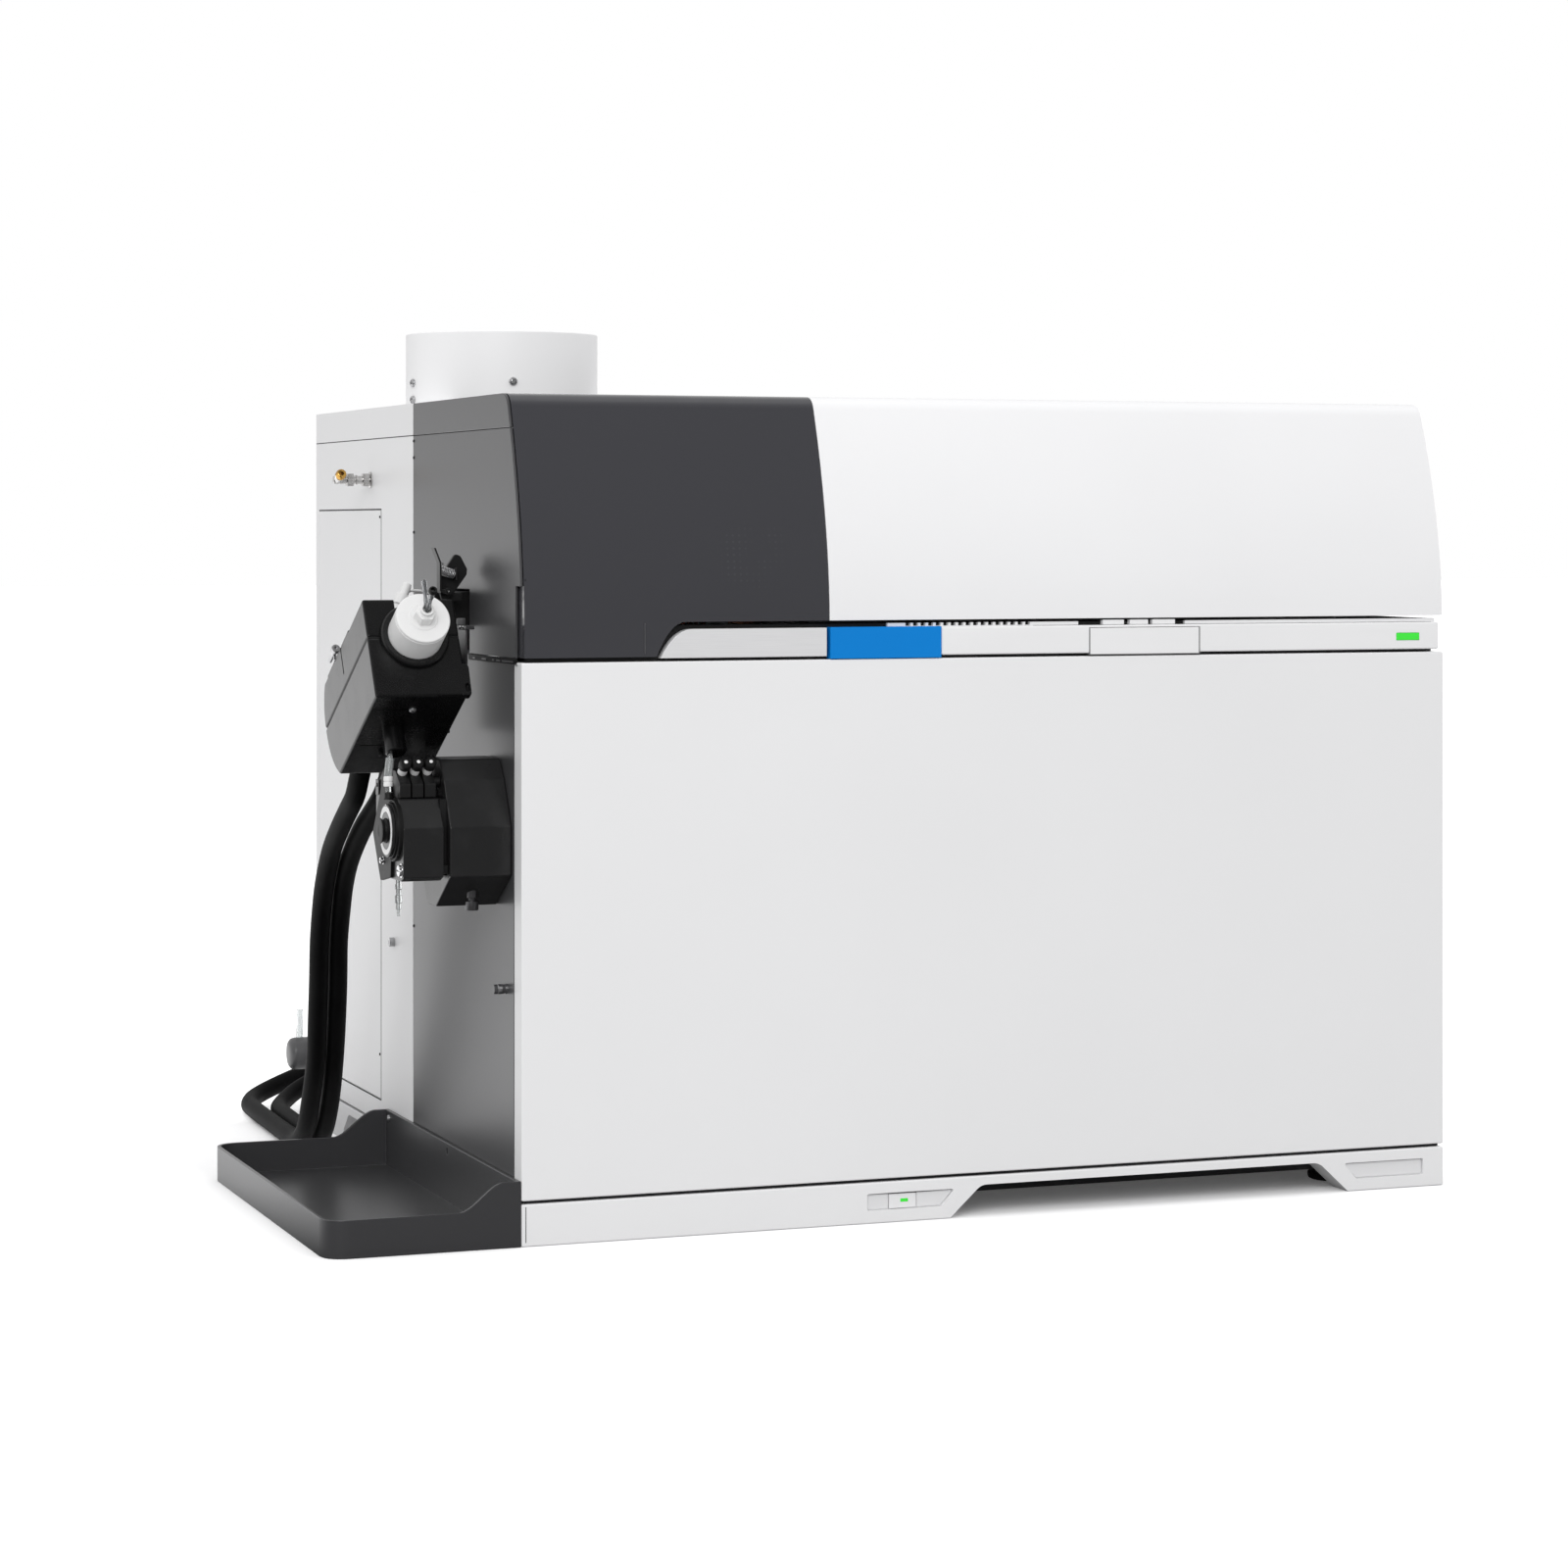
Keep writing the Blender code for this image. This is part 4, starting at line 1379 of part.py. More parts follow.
def make_pump_clamp(cab, name, centre_x):
    """One tube clamp: a shoe over the rotor, its pivot eye and its tension adjuster."""
    low = HEAD_TOP + GAP
    x = (centre_x - CLAMP_WIDTH / 2, centre_x + CLAMP_WIDTH / 2)
    outline = [(HEAD_SHOULDER_Y + THIN_SHEET, low), (CLAMP_PIVOT_Y, low)]
    outline += arc((CLAMP_PIVOT_Y, CLAMP_PIVOT_Z), CLAMP_EYE, 0, 0.25, 5)
    outline += [(CLAMP_CROWN_Y[1], CLAMP_TOP), (CLAMP_CROWN_Y[0], CLAMP_TOP),
                (HEAD_SHOULDER_Y + THIN_SHEET, CLAMP_NOSE_Z)]
    clamp = cab.piece(name, prism(outline, "X", x[0], x[1]), BLACK_PLASTIC,
                      pivot=(centre_x, CLAMP_PIVOT_Y, CLAMP_PIVOT_Z))
    cab.cut(clamp, rod("X", (0, CLAMP_PIVOT_Y, CLAMP_PIVOT_Z), CLAMP_PIN_RADIUS + GAP,
                       x[0] - OVERRUN, x[1] + OVERRUN, SMALL_STEPS))
    foot = (centre_x, ADJUSTER_Y, ADJUSTER_Z)
    sleeve_end = ADJUSTER_LENGTH - ADJUSTER_KNOB_LENGTH
    stud = turned([(0, -ADJUSTER_RADIUS), (ADJUSTER_RADIUS, -ADJUSTER_RADIUS),
                   (ADJUSTER_RADIUS, sleeve_end), (ADJUSTER_KNOB_RADIUS, sleeve_end),
                   (ADJUSTER_KNOB_RADIUS, ADJUSTER_LENGTH), (0, ADJUSTER_LENGTH)],
                  "Z", foot, SMALL_STEPS)
    turn_shape(stud, math.pi / 2 - ADJUSTER_TILT, "X", foot)
    cab.add(clamp, stud)


def make_drain(frame):
    """Clear drain tube from the box's boss down to the pump."""
    tube_through("drain_tube", smooth_route(DRAIN_ROUTE, DRAIN_STEP), DRAIN_RADIUS, frame,
                 CLEAR, 1)


def make_fittings(cab):
    """Gas fitting on the side, and the screws."""
    axis = (0, FITTING_Y, FITTING_Z)
    fitting = cab.piece("gas_fitting", rod("X", axis, FITTING_RADIUS, -FITTING_REACH, -GAP,
                                           SMALL_STEPS), BARE_STEEL)
    quarter = FITTING_REACH / 4
    for low in (-quarter, -2.6 * quarter):
        cab.add(fitting, turned([(0, low), (FITTING_HEX, low), (FITTING_HEX, low + quarter * 0.7),
                                 (0, low + quarter * 0.7)], "X", axis, 6))
    elbow_x = -FITTING_REACH + FITTING_RADIUS
    cab.add(fitting, rod("Y", (elbow_x, FITTING_Y, FITTING_Z), FITTING_RADIUS,
                         -FITTING_ELBOW, FITTING_RADIUS, SMALL_STEPS))
    cab.piece("gas_plug", turned(
        [(0, -FITTING_ELBOW - GAP), (PLUG_RADIUS, -FITTING_ELBOW - GAP),
         (PLUG_RADIUS, -FITTING_ELBOW - PLUG_LENGTH), (0, -FITTING_ELBOW - PLUG_LENGTH)],
        "Y", (elbow_x, FITTING_Y, FITTING_Z), SMALL_STEPS), (AMBER, 0.35, 0.3))


def smooth_route(route, step):
    """Evenly spaced points on a smooth curve through a route, with a straight stub at each end."""
    fine = []
    knots = [Vector(point) for point in route[1:-1]]
    padded = [2 * knots[0] - knots[1]] + knots + [2 * knots[-1] - knots[-2]]
    pieces = 12
    for index in range(1, len(padded) - 2):
        p0, p1, p2, p3 = padded[index - 1:index + 3]
        for part in range(pieces):
            t = part / pieces
            fine.append(0.5 * ((2 * p1) + (p2 - p0) * t + (2 * p0 - 5 * p1 + 4 * p2 - p3) * t ** 2
                               + (3 * p1 - p0 - 3 * p2 + p3) * t ** 3))
    fine.append(knots[-1])
    total = sum((b - a).length for a, b in zip(fine, fine[1:]))
    count = max(2, round(total / step))
    points = [tuple(fine[0])]
    target = total / count
    travelled = 0.0
    for a, b in zip(fine, fine[1:]):
        length = (b - a).length
        while travelled + length >= target * len(points) and len(points) < count:
            share = (target * len(points) - travelled) / length
            points.append(tuple(a.lerp(b, share)))
        travelled += length
    return [route[0]] + points + [tuple(fine[-1]), route[-1]]


def make_hoses(frame):
    """Two foam-covered coolant hoses from the box to the rear ports."""
    cords = []
    for name, route in (("coolant_hose_outer", OUTER_HOSE_ROUTE),
                        ("coolant_hose_inner", INNER_HOSE_ROUTE)):
        cords.append(tube_through(name, smooth_route(route, HOSE_STEP), HOSE_DIAMETER / 2, frame,
                                  BLACK_PLASTIC, 2))
    return cords


def standing_place(cords):
    """Where the whole must stand for the origin to lie under its middle, hoses left out."""
    graph = bpy.context.evaluated_depsgraph_get()
    low = [math.inf, math.inf]
    high = [-math.inf, -math.inf]
    for item in bpy.context.scene.objects:
        if item.type == "EMPTY" or item.hide_render or item in cords:
            continue
        solid = item.evaluated_get(graph)
        for vertex in solid.to_mesh().vertices:
            place = solid.matrix_world @ vertex.co
            for side in range(2):
                low[side] = min(low[side], place[side])
                high[side] = max(high[side], place[side])
        solid.to_mesh_clear()
    place = (-(low[0] + high[0]) / 2, -(low[1] + high[1]) / 2, 0)
    print("moved by", [round(value, 6) for value in place])
    return place


def main():
    clear_scene()
    instrument = bpy.data.objects.new("instrument", None)
    bpy.context.scene.collection.objects.link(instrument)
    tilted = bpy.data.objects.new("chamber_box_frame", None)
    bpy.context.scene.collection.objects.link(tilted)
    tilted.parent = instrument
    tilted.location = (0, BOX_CORNER_Y, BOX_CORNER_Z)
    tilted.rotation_euler = (BOX_TILT, 0, 0)

    cab = Maker(instrument)
    make_base(cab)
    make_panels(cab)
    make_rear(cab)
    make_front_strip(cab)
    make_covers(cab)
    make_bulkhead(cab)
    make_coil(instrument)
    make_vacuum(cab)
    make_tray(cab)
    make_chamber_box(Maker(tilted))
    make_torch_clamp(cab)
    make_pump(cab)
    make_fittings(cab)
    make_drain(instrument)
    cords = make_hoses(instrument)
    instrument.location = standing_place(cords)


main()
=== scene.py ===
import math

import bmesh
import bpy
from mathutils import Matrix, Vector


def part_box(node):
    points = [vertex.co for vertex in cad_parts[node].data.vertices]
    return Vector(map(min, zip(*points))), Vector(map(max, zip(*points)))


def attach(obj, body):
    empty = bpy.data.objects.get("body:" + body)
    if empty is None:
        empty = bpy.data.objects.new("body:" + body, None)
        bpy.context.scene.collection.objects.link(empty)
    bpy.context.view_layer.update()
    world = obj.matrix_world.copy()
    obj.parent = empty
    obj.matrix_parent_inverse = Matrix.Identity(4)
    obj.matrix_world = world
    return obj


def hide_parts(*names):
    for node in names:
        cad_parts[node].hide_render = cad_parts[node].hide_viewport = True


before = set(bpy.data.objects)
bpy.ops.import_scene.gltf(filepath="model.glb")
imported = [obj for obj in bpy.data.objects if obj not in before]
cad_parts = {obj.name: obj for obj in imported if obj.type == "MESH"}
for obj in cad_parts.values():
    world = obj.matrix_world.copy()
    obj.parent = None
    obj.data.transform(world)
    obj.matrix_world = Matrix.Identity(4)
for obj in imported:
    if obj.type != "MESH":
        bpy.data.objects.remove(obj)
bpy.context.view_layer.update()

# The whole instrument is drawn in metres from the front left bottom corner of its cabinet, which
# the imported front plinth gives: X to the right, Y to the back, Z up. Longer lists of places are
# written in millimetres and read through mm().
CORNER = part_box("front_plinth")[0]


def at(x, y, z):
    """A place on the cabinet, in the scene."""
    return Vector((CORNER.x + x, CORNER.y + y, CORNER.z + z))


# The camera stands to the front left, level with the pump, as a studio camera with a long lens
# does. Its back is moved down instead of tipping the camera, so that upright edges stay upright.
CAMERA_PLACE = (-0.772653, -2.583353, 0.499590)
CAMERA_TURN = math.radians(-20.527)
CAMERA_LENS = 88.937
CAMERA_FILM = 36.0
CAMERA_SHIFT = -0.1631

camera_data = bpy.data.cameras.new("camera")
camera_data.lens = CAMERA_LENS
camera_data.sensor_width = CAMERA_FILM
camera_data.shift_y = CAMERA_SHIFT
camera = bpy.data.objects.new("camera", camera_data)
camera.location = at(*CAMERA_PLACE)
camera.rotation_euler = (math.pi / 2, 0, CAMERA_TURN)
bpy.context.scene.collection.objects.link(camera)
bpy.context.scene.camera = camera
bpy.context.scene.view_settings.view_transform = "Standard"


# The studio: white surroundings that also show in gloss and glass, a pale floor that keeps the
# instrument's shadow, and two large soft lamps, one from the front left and one from above.
DARK_ROOM = 0.90
GREY_ROOM = 0.20
DARK_ROOM_SPREAD = (0.15, 0.50)
DARK_FLOOR = 0.90
DARK_FLOOR_FRONT = (0.0, 0.30)
FLOOR_WHITE = (0.97, 0.97, 0.975)
FLOOR_BOUNCE = (0.45, 0.45, 0.45)
FLOOR_LIFT = 0.32
FLOOR_LEAST_LIFT = 0.07
FLOOR_LIFT_SPREAD = (0.0, 0.04)
FOOTPRINT = (0.435, 0.306, 1)
FLOOR_REACH = 30.0
LAMPS = (("lamp_front", (-1.7, -3.6, 2.5), 2.6, 78), ("lamp_top", (0.9, -0.6, 3.4), 3.0, 3))
LAMP_AIM = (0.35, 0.30, 0.30)


class Wire:
    """A socket in a node tree. Sums and products of wires add Math nodes to that tree."""

    def __init__(self, tree, socket=None):
        self.tree = tree
        self.socket = socket

    def node(self, kind, settings, inputs, output=0):
        """Adds a node: its settings first, then the values or wires of its inputs."""
        made = self.tree.nodes.new(kind)
        for name, value in settings.items():
            if name == "stops":
                for index, (place, colour) in enumerate(value):
                    stops = made.color_ramp.elements
                    stop = stops[index] if index < 2 else stops.new(place)
                    stop.position = place
                    stop.color = colour
            else:
                setattr(made, name, value)
        for name, value in inputs.items():
            if isinstance(value, Wire):
                self.tree.links.new(value.socket, made.inputs[name])
            else:
                made.inputs[name].default_value = value
        return Wire(self.tree, made.outputs[output])

    def maths(self, operation, *values):
        return self.node("ShaderNodeMath", {"operation": operation}, dict(enumerate(values)))

    def __add__(self, other):
        return self.maths("ADD", self, other)

    def __radd__(self, other):
        return self.maths("ADD", other, self)

    def __sub__(self, other):
        return self.maths("SUBTRACT", self, other)

    def __rsub__(self, other):
        return self.maths("SUBTRACT", other, self)

    def __mul__(self, other):
        return self.maths("MULTIPLY", self, other)

    def __rmul__(self, other):
        return self.maths("MULTIPLY", other, self)

    def clipped(self, low, high):
        """This value spread from low to high onto 0 to 1, and held there."""
        settings = {"clamp": True}
        return self.node("ShaderNodeMapRange", settings, {"Value": self, "From Min": low,
                                                          "From Max": high})


def seen_directly(tree):
    """1 for what the camera, a mirror or clear glass sees, and 0 for what only lights."""
    start = Wire(tree)
    kinds = ("Is Camera Ray", "Is Glossy Ray", "Is Transmission Ray")
    rays = [start.node("ShaderNodeLightPath", {}, {}, kind) for kind in kinds]
    return rays[0].maths("MAXIMUM", rays[0], rays[1].maths("MAXIMUM", rays[1], rays[2]))


surroundings = bpy.data.worlds.new("surroundings")
bpy.context.scene.world = surroundings
surroundings.use_nodes = True
sky = surroundings.node_tree
way = Wire(sky).node("ShaderNodeTexCoord", {}, {}, "Generated")
frontward = way.node("ShaderNodeSeparateXYZ", {}, {"Vector": way}, "Y") * -1
mirrored = way.node("ShaderNodeLightPath", {}, {}, "Is Glossy Ray")
dark_room = frontward.clipped(*DARK_ROOM_SPREAD) * (DARK_ROOM - GREY_ROOM) + GREY_ROOM
sky.nodes["Background"].inputs["Color"].default_value = (1, 1, 1, 1)
sky.links.new((1 - dark_room * mirrored).socket, sky.nodes["Background"].inputs["Strength"])

floor_finish = bpy.data.materials.new("studio_floor")
floor_finish.use_nodes = True
floor_tree = floor_finish.node_tree
floor_shader = floor_tree.nodes["Principled BSDF"]
floor_shader.inputs["Roughness"].default_value = 1.0
floor_shader.inputs["Specular IOR Level"].default_value = 0.0
floor_shader.inputs["Emission Strength"].default_value = 1.0
lift = seen_directly(floor_tree)
spot = lift.node("ShaderNodeTexCoord", {}, {}, "Object")
behind = lift.node("ShaderNodeSeparateXYZ", {}, {"Vector": spot}, "Y")
ahead = (behind * -1).clipped(*DARK_FLOOR_FRONT)
unlit = ahead * lift.node("ShaderNodeLightPath", {}, {}, "Is Glossy Ray") * -DARK_FLOOR + 1
for operation, values, output in (("ABSOLUTE", {}, 0), ("SUBTRACT", {1: FOOTPRINT}, 0),
                                  ("MAXIMUM", {1: (0, 0, 0)}, 0), ("LENGTH", {}, "Value")):
    spot = spot.node("ShaderNodeVectorMath", {"operation": operation}, {0: spot, **values},
                     output)
glow = lift * unlit * (spot.clipped(*FLOOR_LIFT_SPREAD) * FLOOR_LIFT + FLOOR_LEAST_LIFT)
floor_tree.links.new(lift.node("ShaderNodeCombineColor", {}, {0: glow, 1: glow, 2: glow}).socket,
                     floor_shader.inputs["Emission Color"])
shown = lift.node("ShaderNodeMix", {"data_type": "RGBA"},
                  {0: lift, 6: (*FLOOR_BOUNCE, 1), 7: (*FLOOR_WHITE, 1)}, 2)
shown = shown.node("ShaderNodeVectorMath", {"operation": "SCALE"}, {0: shown, "Scale": unlit}, 0)
floor_tree.links.new(shown.socket, floor_shader.inputs["Base Color"])
floor_mesh = bpy.data.meshes.new("studio_floor")
floor_mesh.from_pydata([(x * FLOOR_REACH, y * FLOOR_REACH, 0)
                        for x, y in ((-1, -1), (1, -1), (1, 1), (-1, 1))], [], [(0, 1, 2, 3)])
floor_mesh.materials.append(floor_finish)
floor = bpy.data.objects.new("studio_floor", floor_mesh)
bpy.context.scene.collection.objects.link(floor)

for name, place, size, power in LAMPS:
    lamp_data = bpy.data.lights.new(name, "AREA")
    lamp_data.shape = "DISK"
    lamp_data.size = size
    lamp_data.energy = power
    lamp = bpy.data.objects.new(name, lamp_data)
    lamp.location = at(*place)
    lamp.rotation_euler = (at(*LAMP_AIM) - at(*place)).to_track_quat("-Z", "Y").to_euler()
    bpy.context.scene.collection.objects.link(lamp)


# The two coolant hoses: rubber hose in a black foam sleeve, 15 mm across. They leave the cooled
# box at its back, hang past the tray's corner, lie on the bench and turn into the rear ports.
HOSE_DIAMETER = 0.015
HOSE_STEP = 0.006
HOSE_SMOOTHNESS = 9
HOSE_BLACK = (0.0020, 0.0020, 0.0022)
HOSE_DUST = (0.0050, 0.0050, 0.0053)


def mm(text):
    """Places written in millimetres, their numbers parted by spaces and the places by commas."""
    return [tuple(float(number) / 1000 for number in place.split())
            for place in text.split(",")]


OUTER_HOSE_ROUTE = mm("-78 142 326.5, -78 149 318, -77 164 305, -76 186 294, -75 215 279, "
                      "-73 247 262, -71 270 246, -69 290 229, -67 306 211, -65 322 183, "
                      "-63 333 150, -61 345 120, -58 362 88, -55 390 54, -52 420 26, -49 460 10, "
                      "-47 510 7.8, -45 580 7.8, -43 640 7.8, -40 674 8.5, -26 700 12, 4 712 22, "
                      "40 706 36, 72 688 50, 92 656 60, 97 620 62, 97 608.3 62")
INNER_HOSE_ROUTE = mm("-56 142 326.5, -56 149 318, -56.5 164 305, -56.5 188 293, -57 218 278, "
                      "-56 249 261, -55 273 245, -53 294 228, -51 310 210, -49 327 182, "
                      "-47 337 150, -45 349 120, -42 368 87, -38 396 53, -35 425 26, -31 462 10, "
                      "-29 510 7.8, -27 580 7.8, -24 630 7.8, -16 656 10, 4 676 19, 32 678 32, "
                      "56 664 46, 69 640 57, 72 619 62, 72 608.3 62")


def smooth_route(route, step):
    """Evenly spaced points on a smooth curve through a route, with a straight stub at each end."""
    fine = []
    knots = [Vector(point) for point in route[1:-1]]
    padded = [2 * knots[0] - knots[1]] + knots + [2 * knots[-1] - knots[-2]]
    pieces = 12
    for index in range(1, len(padded) - 2):
        p0, p1, p2, p3 = padded[index - 1:index + 3]
        for part in range(pieces):
            t = part / pieces
            fine.append(0.5 * ((2 * p1) + (p2 - p0) * t + (2 * p0 - 5 * p1 + 4 * p2 - p3) * t ** 2
                               + (3 * p1 - p0 - 3 * p2 + p3) * t ** 3))
    fine.append(knots[-1])
    total = sum((b - a).length for a, b in zip(fine, fine[1:]))
    count = max(2, round(total / step))
    points = [tuple(fine[0])]
    target = total / count
    travelled = 0.0
    for a, b in zip(fine, fine[1:]):
        length = (b - a).length
        while travelled + length >= target * len(points) and len(points) < count:
            share = (target * len(points) - travelled) / length
            points.append(tuple(a.lerp(b, share)))
        travelled += length
    return [route[0]] + points + [tuple(fine[-1]), route[-1]]


class Finish:
    """A material in the making. Plain numbers go on its shader, and what varies is wired to it."""

    def __init__(self, name, colour, **numbers):
        self.material = bpy.data.materials.new(name)
        self.material.use_nodes = True
        self.tree = self.material.node_tree
        self.shader = self.tree.nodes["Principled BSDF"]
        self.shader.inputs["Base Color"].default_value = (*colour, 1)
        for words, value in numbers.items():
            socket = words.replace("_", " ").title().replace("Ior", "IOR")
            self.shader.inputs[socket].default_value = value
        self.place = Wire(self.tree).node("ShaderNodeTexCoord", {}, {}, "Object")

    def noise(self, scale, detail=2.0, stretch=(1, 1, 1)):
        """Cloudy noise from 0 to 1, with so many patches to the metre."""
        place = self.place
        if stretch != (1, 1, 1):
            place = place.node("ShaderNodeMapping", {}, {"Vector": place, "Scale": stretch})
        return place.node("ShaderNodeTexNoise", {}, {"Vector": place, "Scale": scale,
                                                     "Detail": detail})

    def blend(self, share, colour_a, colour_b):
        """A colour between two others."""
        first, second = (c if isinstance(c, Wire) else (*c, 1) for c in (colour_a, colour_b))
        return share.node("ShaderNodeMix", {"data_type": "RGBA"}, {0: share, 6: first, 7: second},
                          2)

    def wire(self, socket, value):
        self.tree.links.new(value.socket, self.shader.inputs[socket])

    def relief(self, height, depth, strength=1.0):
        """Raises the surface, where height is 1, by a depth in metres."""
        bump = {"Height": height, "Distance": depth, "Strength": strength}
        self.wire("Normal", height.node("ShaderNodeBump", {}, bump))


foam = Finish("hose_foam", HOSE_BLACK, roughness=0.62, specular_ior_level=0.10)
cells = foam.noise(2600, 3.0)
dust = foam.noise(24, 2.0)
foam.wire("Base Color", foam.blend(dust.clipped(0.45, 0.75) * 0.8, HOSE_BLACK, HOSE_DUST))
foam.wire("Roughness", cells * 0.16 + 0.54)
foam.relief(cells + dust * 1.5, 0.00016, 0.7)


def along_route(name, points, radius, finish):
    """A round tube whose middle follows points given on the cabinet."""
    line = bpy.data.curves.new(name, "CURVE")
    line.dimensions = "3D"
    line.bevel_depth = radius
    line.bevel_resolution = HOSE_SMOOTHNESS
    line.use_fill_caps = True
    spline = line.splines.new("POLY")
    spline.points.add(len(points) - 1)
    for knot, point in zip(spline.points, points):
        knot.co = (*at(*point), 1)
    spline.use_smooth = True
    line.materials.append(finish)
    tube = bpy.data.objects.new(name, line)
    bpy.context.scene.collection.objects.link(tube)
    return tube


for name, node, route in (("foam_hose_outer", "coolant_hose_outer", OUTER_HOSE_ROUTE),
                          ("foam_hose_inner", "coolant_hose_inner", INNER_HOSE_ROUTE)):
    run = smooth_route(route, HOSE_STEP)
    hose = along_route(name, run, HOSE_DIAMETER / 2, foam.material)
    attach(hose, "chassis")
    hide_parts(node)
    at(*route[0])


# The drain tube: soft clear tube, 3.6 mm across, pushed up into the cooled box's drain
# spout, that runs straight down to its plug in the pump.
DRAIN_DIAMETER = 0.0036
DRAIN_STEP = 0.0012
DRAIN_TINT = (0.86, 0.88, 0.88)
DRAIN_ROUTE = mm("-80.2 53.2 341.9, -80.3 52.2 339.9, -80.4 51.9 338.1, -81.5 50.2 331, "
                 "-82.1 50 327, -82.3 49.6 321, -82.2 49 315, -82.2 48.6 311.4, -82.2 48.5 310.4")


def clear_finish(name, tint, ior, bloom):
    """Clear glass or soft tube, with a faint bloom of fingers and drops on it."""
    finish = Finish(name, tint, roughness=0.06, ior=ior, transmission_weight=0.86)
    smear = finish.noise(160, 3.0)
    finish.wire("Roughness", smear.clipped(0.4, 0.8) * bloom + 0.04)
    finish.relief(smear, 0.00003, 0.4)
    return finish.material


soft_tube = clear_finish("clear_soft_tube", DRAIN_TINT, 1.40, 0.20)
drain_run = smooth_route(DRAIN_ROUTE, DRAIN_STEP)
drain = along_route("drain_hose", drain_run, DRAIN_DIAMETER / 2, soft_tube)
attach(drain, "chassis")
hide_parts("drain_tube")
at(*DRAIN_ROUTE[1])


# The base: a folded steel pan on four rubber feet, set back behind the plinth. The feet are
# turned black rubber, screwed up into the pan.
# The pan's steel is coloured near black, far darker than bare steel: painted shade for the dark
# under the cabinet that shows through the plinth's arch.
PAN_STEEL_PAINTED_SHADE = (0.060, 0.060, 0.063)
RUBBER = (0.016, 0.016, 0.017)
FOOT_INSET = 0.060
FOOT_RADIUS = 0.0212
FOOT_HEIGHT = 0.0128
FOOT_STEPS = 64
CABINET_WIDTH = 0.730
CABINET_DEPTH = 0.600
MERGE = 0.000004
FLAT = math.radians(0.5)
AXES = {"X": (1, 2, 0), "Y": (0, 2, 1), "Z": (0, 1, 2)}


def spun(profile, axis, centre, steps):
    """A closed profile of (radius, place along the axis), turned about an axis."""
    first, second, along = AXES[axis]
    shape = bmesh.new()
    rings = []
    for radius, level in profile:
        ring = []
        for step in range(steps if radius > 0 else 1):
            angle = math.tau * step / steps
            place = [0.0, 0.0, 0.0]
            place[first] = centre[first] + radius * math.cos(angle)
            place[second] = centre[second] + radius * math.sin(angle)
            place[along] = centre[along] + level
            ring.append(shape.verts.new(place))
        rings.append(ring)
    for near, far in zip(rings, rings[1:] + rings[:1]):
        if len(near) == 1 and len(far) == 1:
            continue
        for step in range(steps):
            following = (step + 1) % steps
            corners = []
            for ring, order in ((near, (step, following)), (far, (following, step))):
                for index in order:
                    vertex = ring[index] if len(ring) > 1 else ring[0]
                    if vertex not in corners:
                        corners.append(vertex)
            shape.faces.new(corners)
    bmesh.ops.recalc_face_normals(shape, faces=shape.faces)
    return shape


def gathered(*shapes):
    """Several shapes kept in one mesh."""
    whole = bmesh.new()
    for shape in shapes:
        part = bpy.data.meshes.new("part")
        shape.to_mesh(part)
        shape.free()
        whole.from_mesh(part)
        bpy.data.meshes.remove(part)
    return whole


def eased(shape, width, sharper=50, segments=2):
    """Rounds every edge that is sharper than an angle in degrees."""
    edges = [edge for edge in shape.edges
             if len(edge.link_faces) == 2 and edge.calc_face_angle() > math.radians(sharper)]
    bmesh.ops.bevel(shape, geom=edges, offset=width, segments=segments, profile=0.5,
                    affect="EDGES", clamp_overlap=True)
    return shape


def from_node(node):
    """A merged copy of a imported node's mesh, back in the cabinet's own measures."""
    shape = bmesh.new()
    shape.from_mesh(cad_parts[node].data)
    bmesh.ops.remove_doubles(shape, verts=shape.verts, dist=MERGE)
    bmesh.ops.dissolve_limit(shape, angle_limit=FLAT, verts=shape.verts, edges=shape.edges)
    shape.transform(Matrix.Translation(-CORNER))
    return shape


def set_in(name, shape, finish, stands_for=(), body="chassis", smooth=38):
    """Puts a shape drawn on the cabinet into the scene as a piece on its body."""
    shape.transform(Matrix.Translation(CORNER))
    mesh = bpy.data.meshes.new(name)
    shape.to_mesh(mesh)
    shape.free()
    return mount(name, mesh, finish, stands_for, body, smooth)


def mount(name, mesh, finish, stands_for=(), body="chassis", smooth=38):
    """Makes a piece of a finished mesh: shading, material, body and what it stands for."""
    mesh.materials.clear()
    mesh.materials.append(finish)
    mesh.shade_smooth()
    mesh.set_sharp_from_angle(angle=math.radians(smooth))
    piece = bpy.data.objects.new(name, mesh)
    bpy.context.scene.collection.objects.link(piece)
    shading = piece.modifiers.new("flat faces stay flat", "WEIGHTED_NORMAL")
    shading.keep_sharp = True
    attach(piece, body)
    if stands_for:
        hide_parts(*([stands_for] if isinstance(stands_for, str) else stands_for))
    return piece


def refined(name, node, width, finish, body="chassis", sharper=50, segments=2, smooth=38):
    """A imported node's own form with its sharp edges rounded to a width, set in its place."""
    shape = from_node(node)
    if width:
        shape = eased(shape, width, sharper, segments)
    return set_in(name, shape, finish, node, body, smooth)


def textured(name, colour, noises, spread, tint, rough, relief=(), share=1, **numbers):
    """A finish varied by noises: the last one tints its colour, the first gives its relief.

    rough holds what each noise adds to the roughness, and last what comes off it.
    relief is a depth, a strength, and where there is a third value the second noise's part.
    """
    finish = Finish(name, colour, **numbers)
    waves = [finish.noise(*noise) for noise in noises]
    cloud = waves[-1].clipped(*spread)
    finish.wire("Base Color", finish.blend(cloud * share if share != 1 else cloud, colour,
                                           [value * tint for value in colour]))
    level = numbers["roughness"] - rough[-1]
    for wave, amount in zip(waves, rough):
        level = wave * amount + level if amount else level
    finish.wire("Roughness", level)
    if relief:
        height = waves[0] + waves[1] * relief[2] if relief[2:] else waves[0]
        finish.relief(height, *relief[:2])
    return finish.material


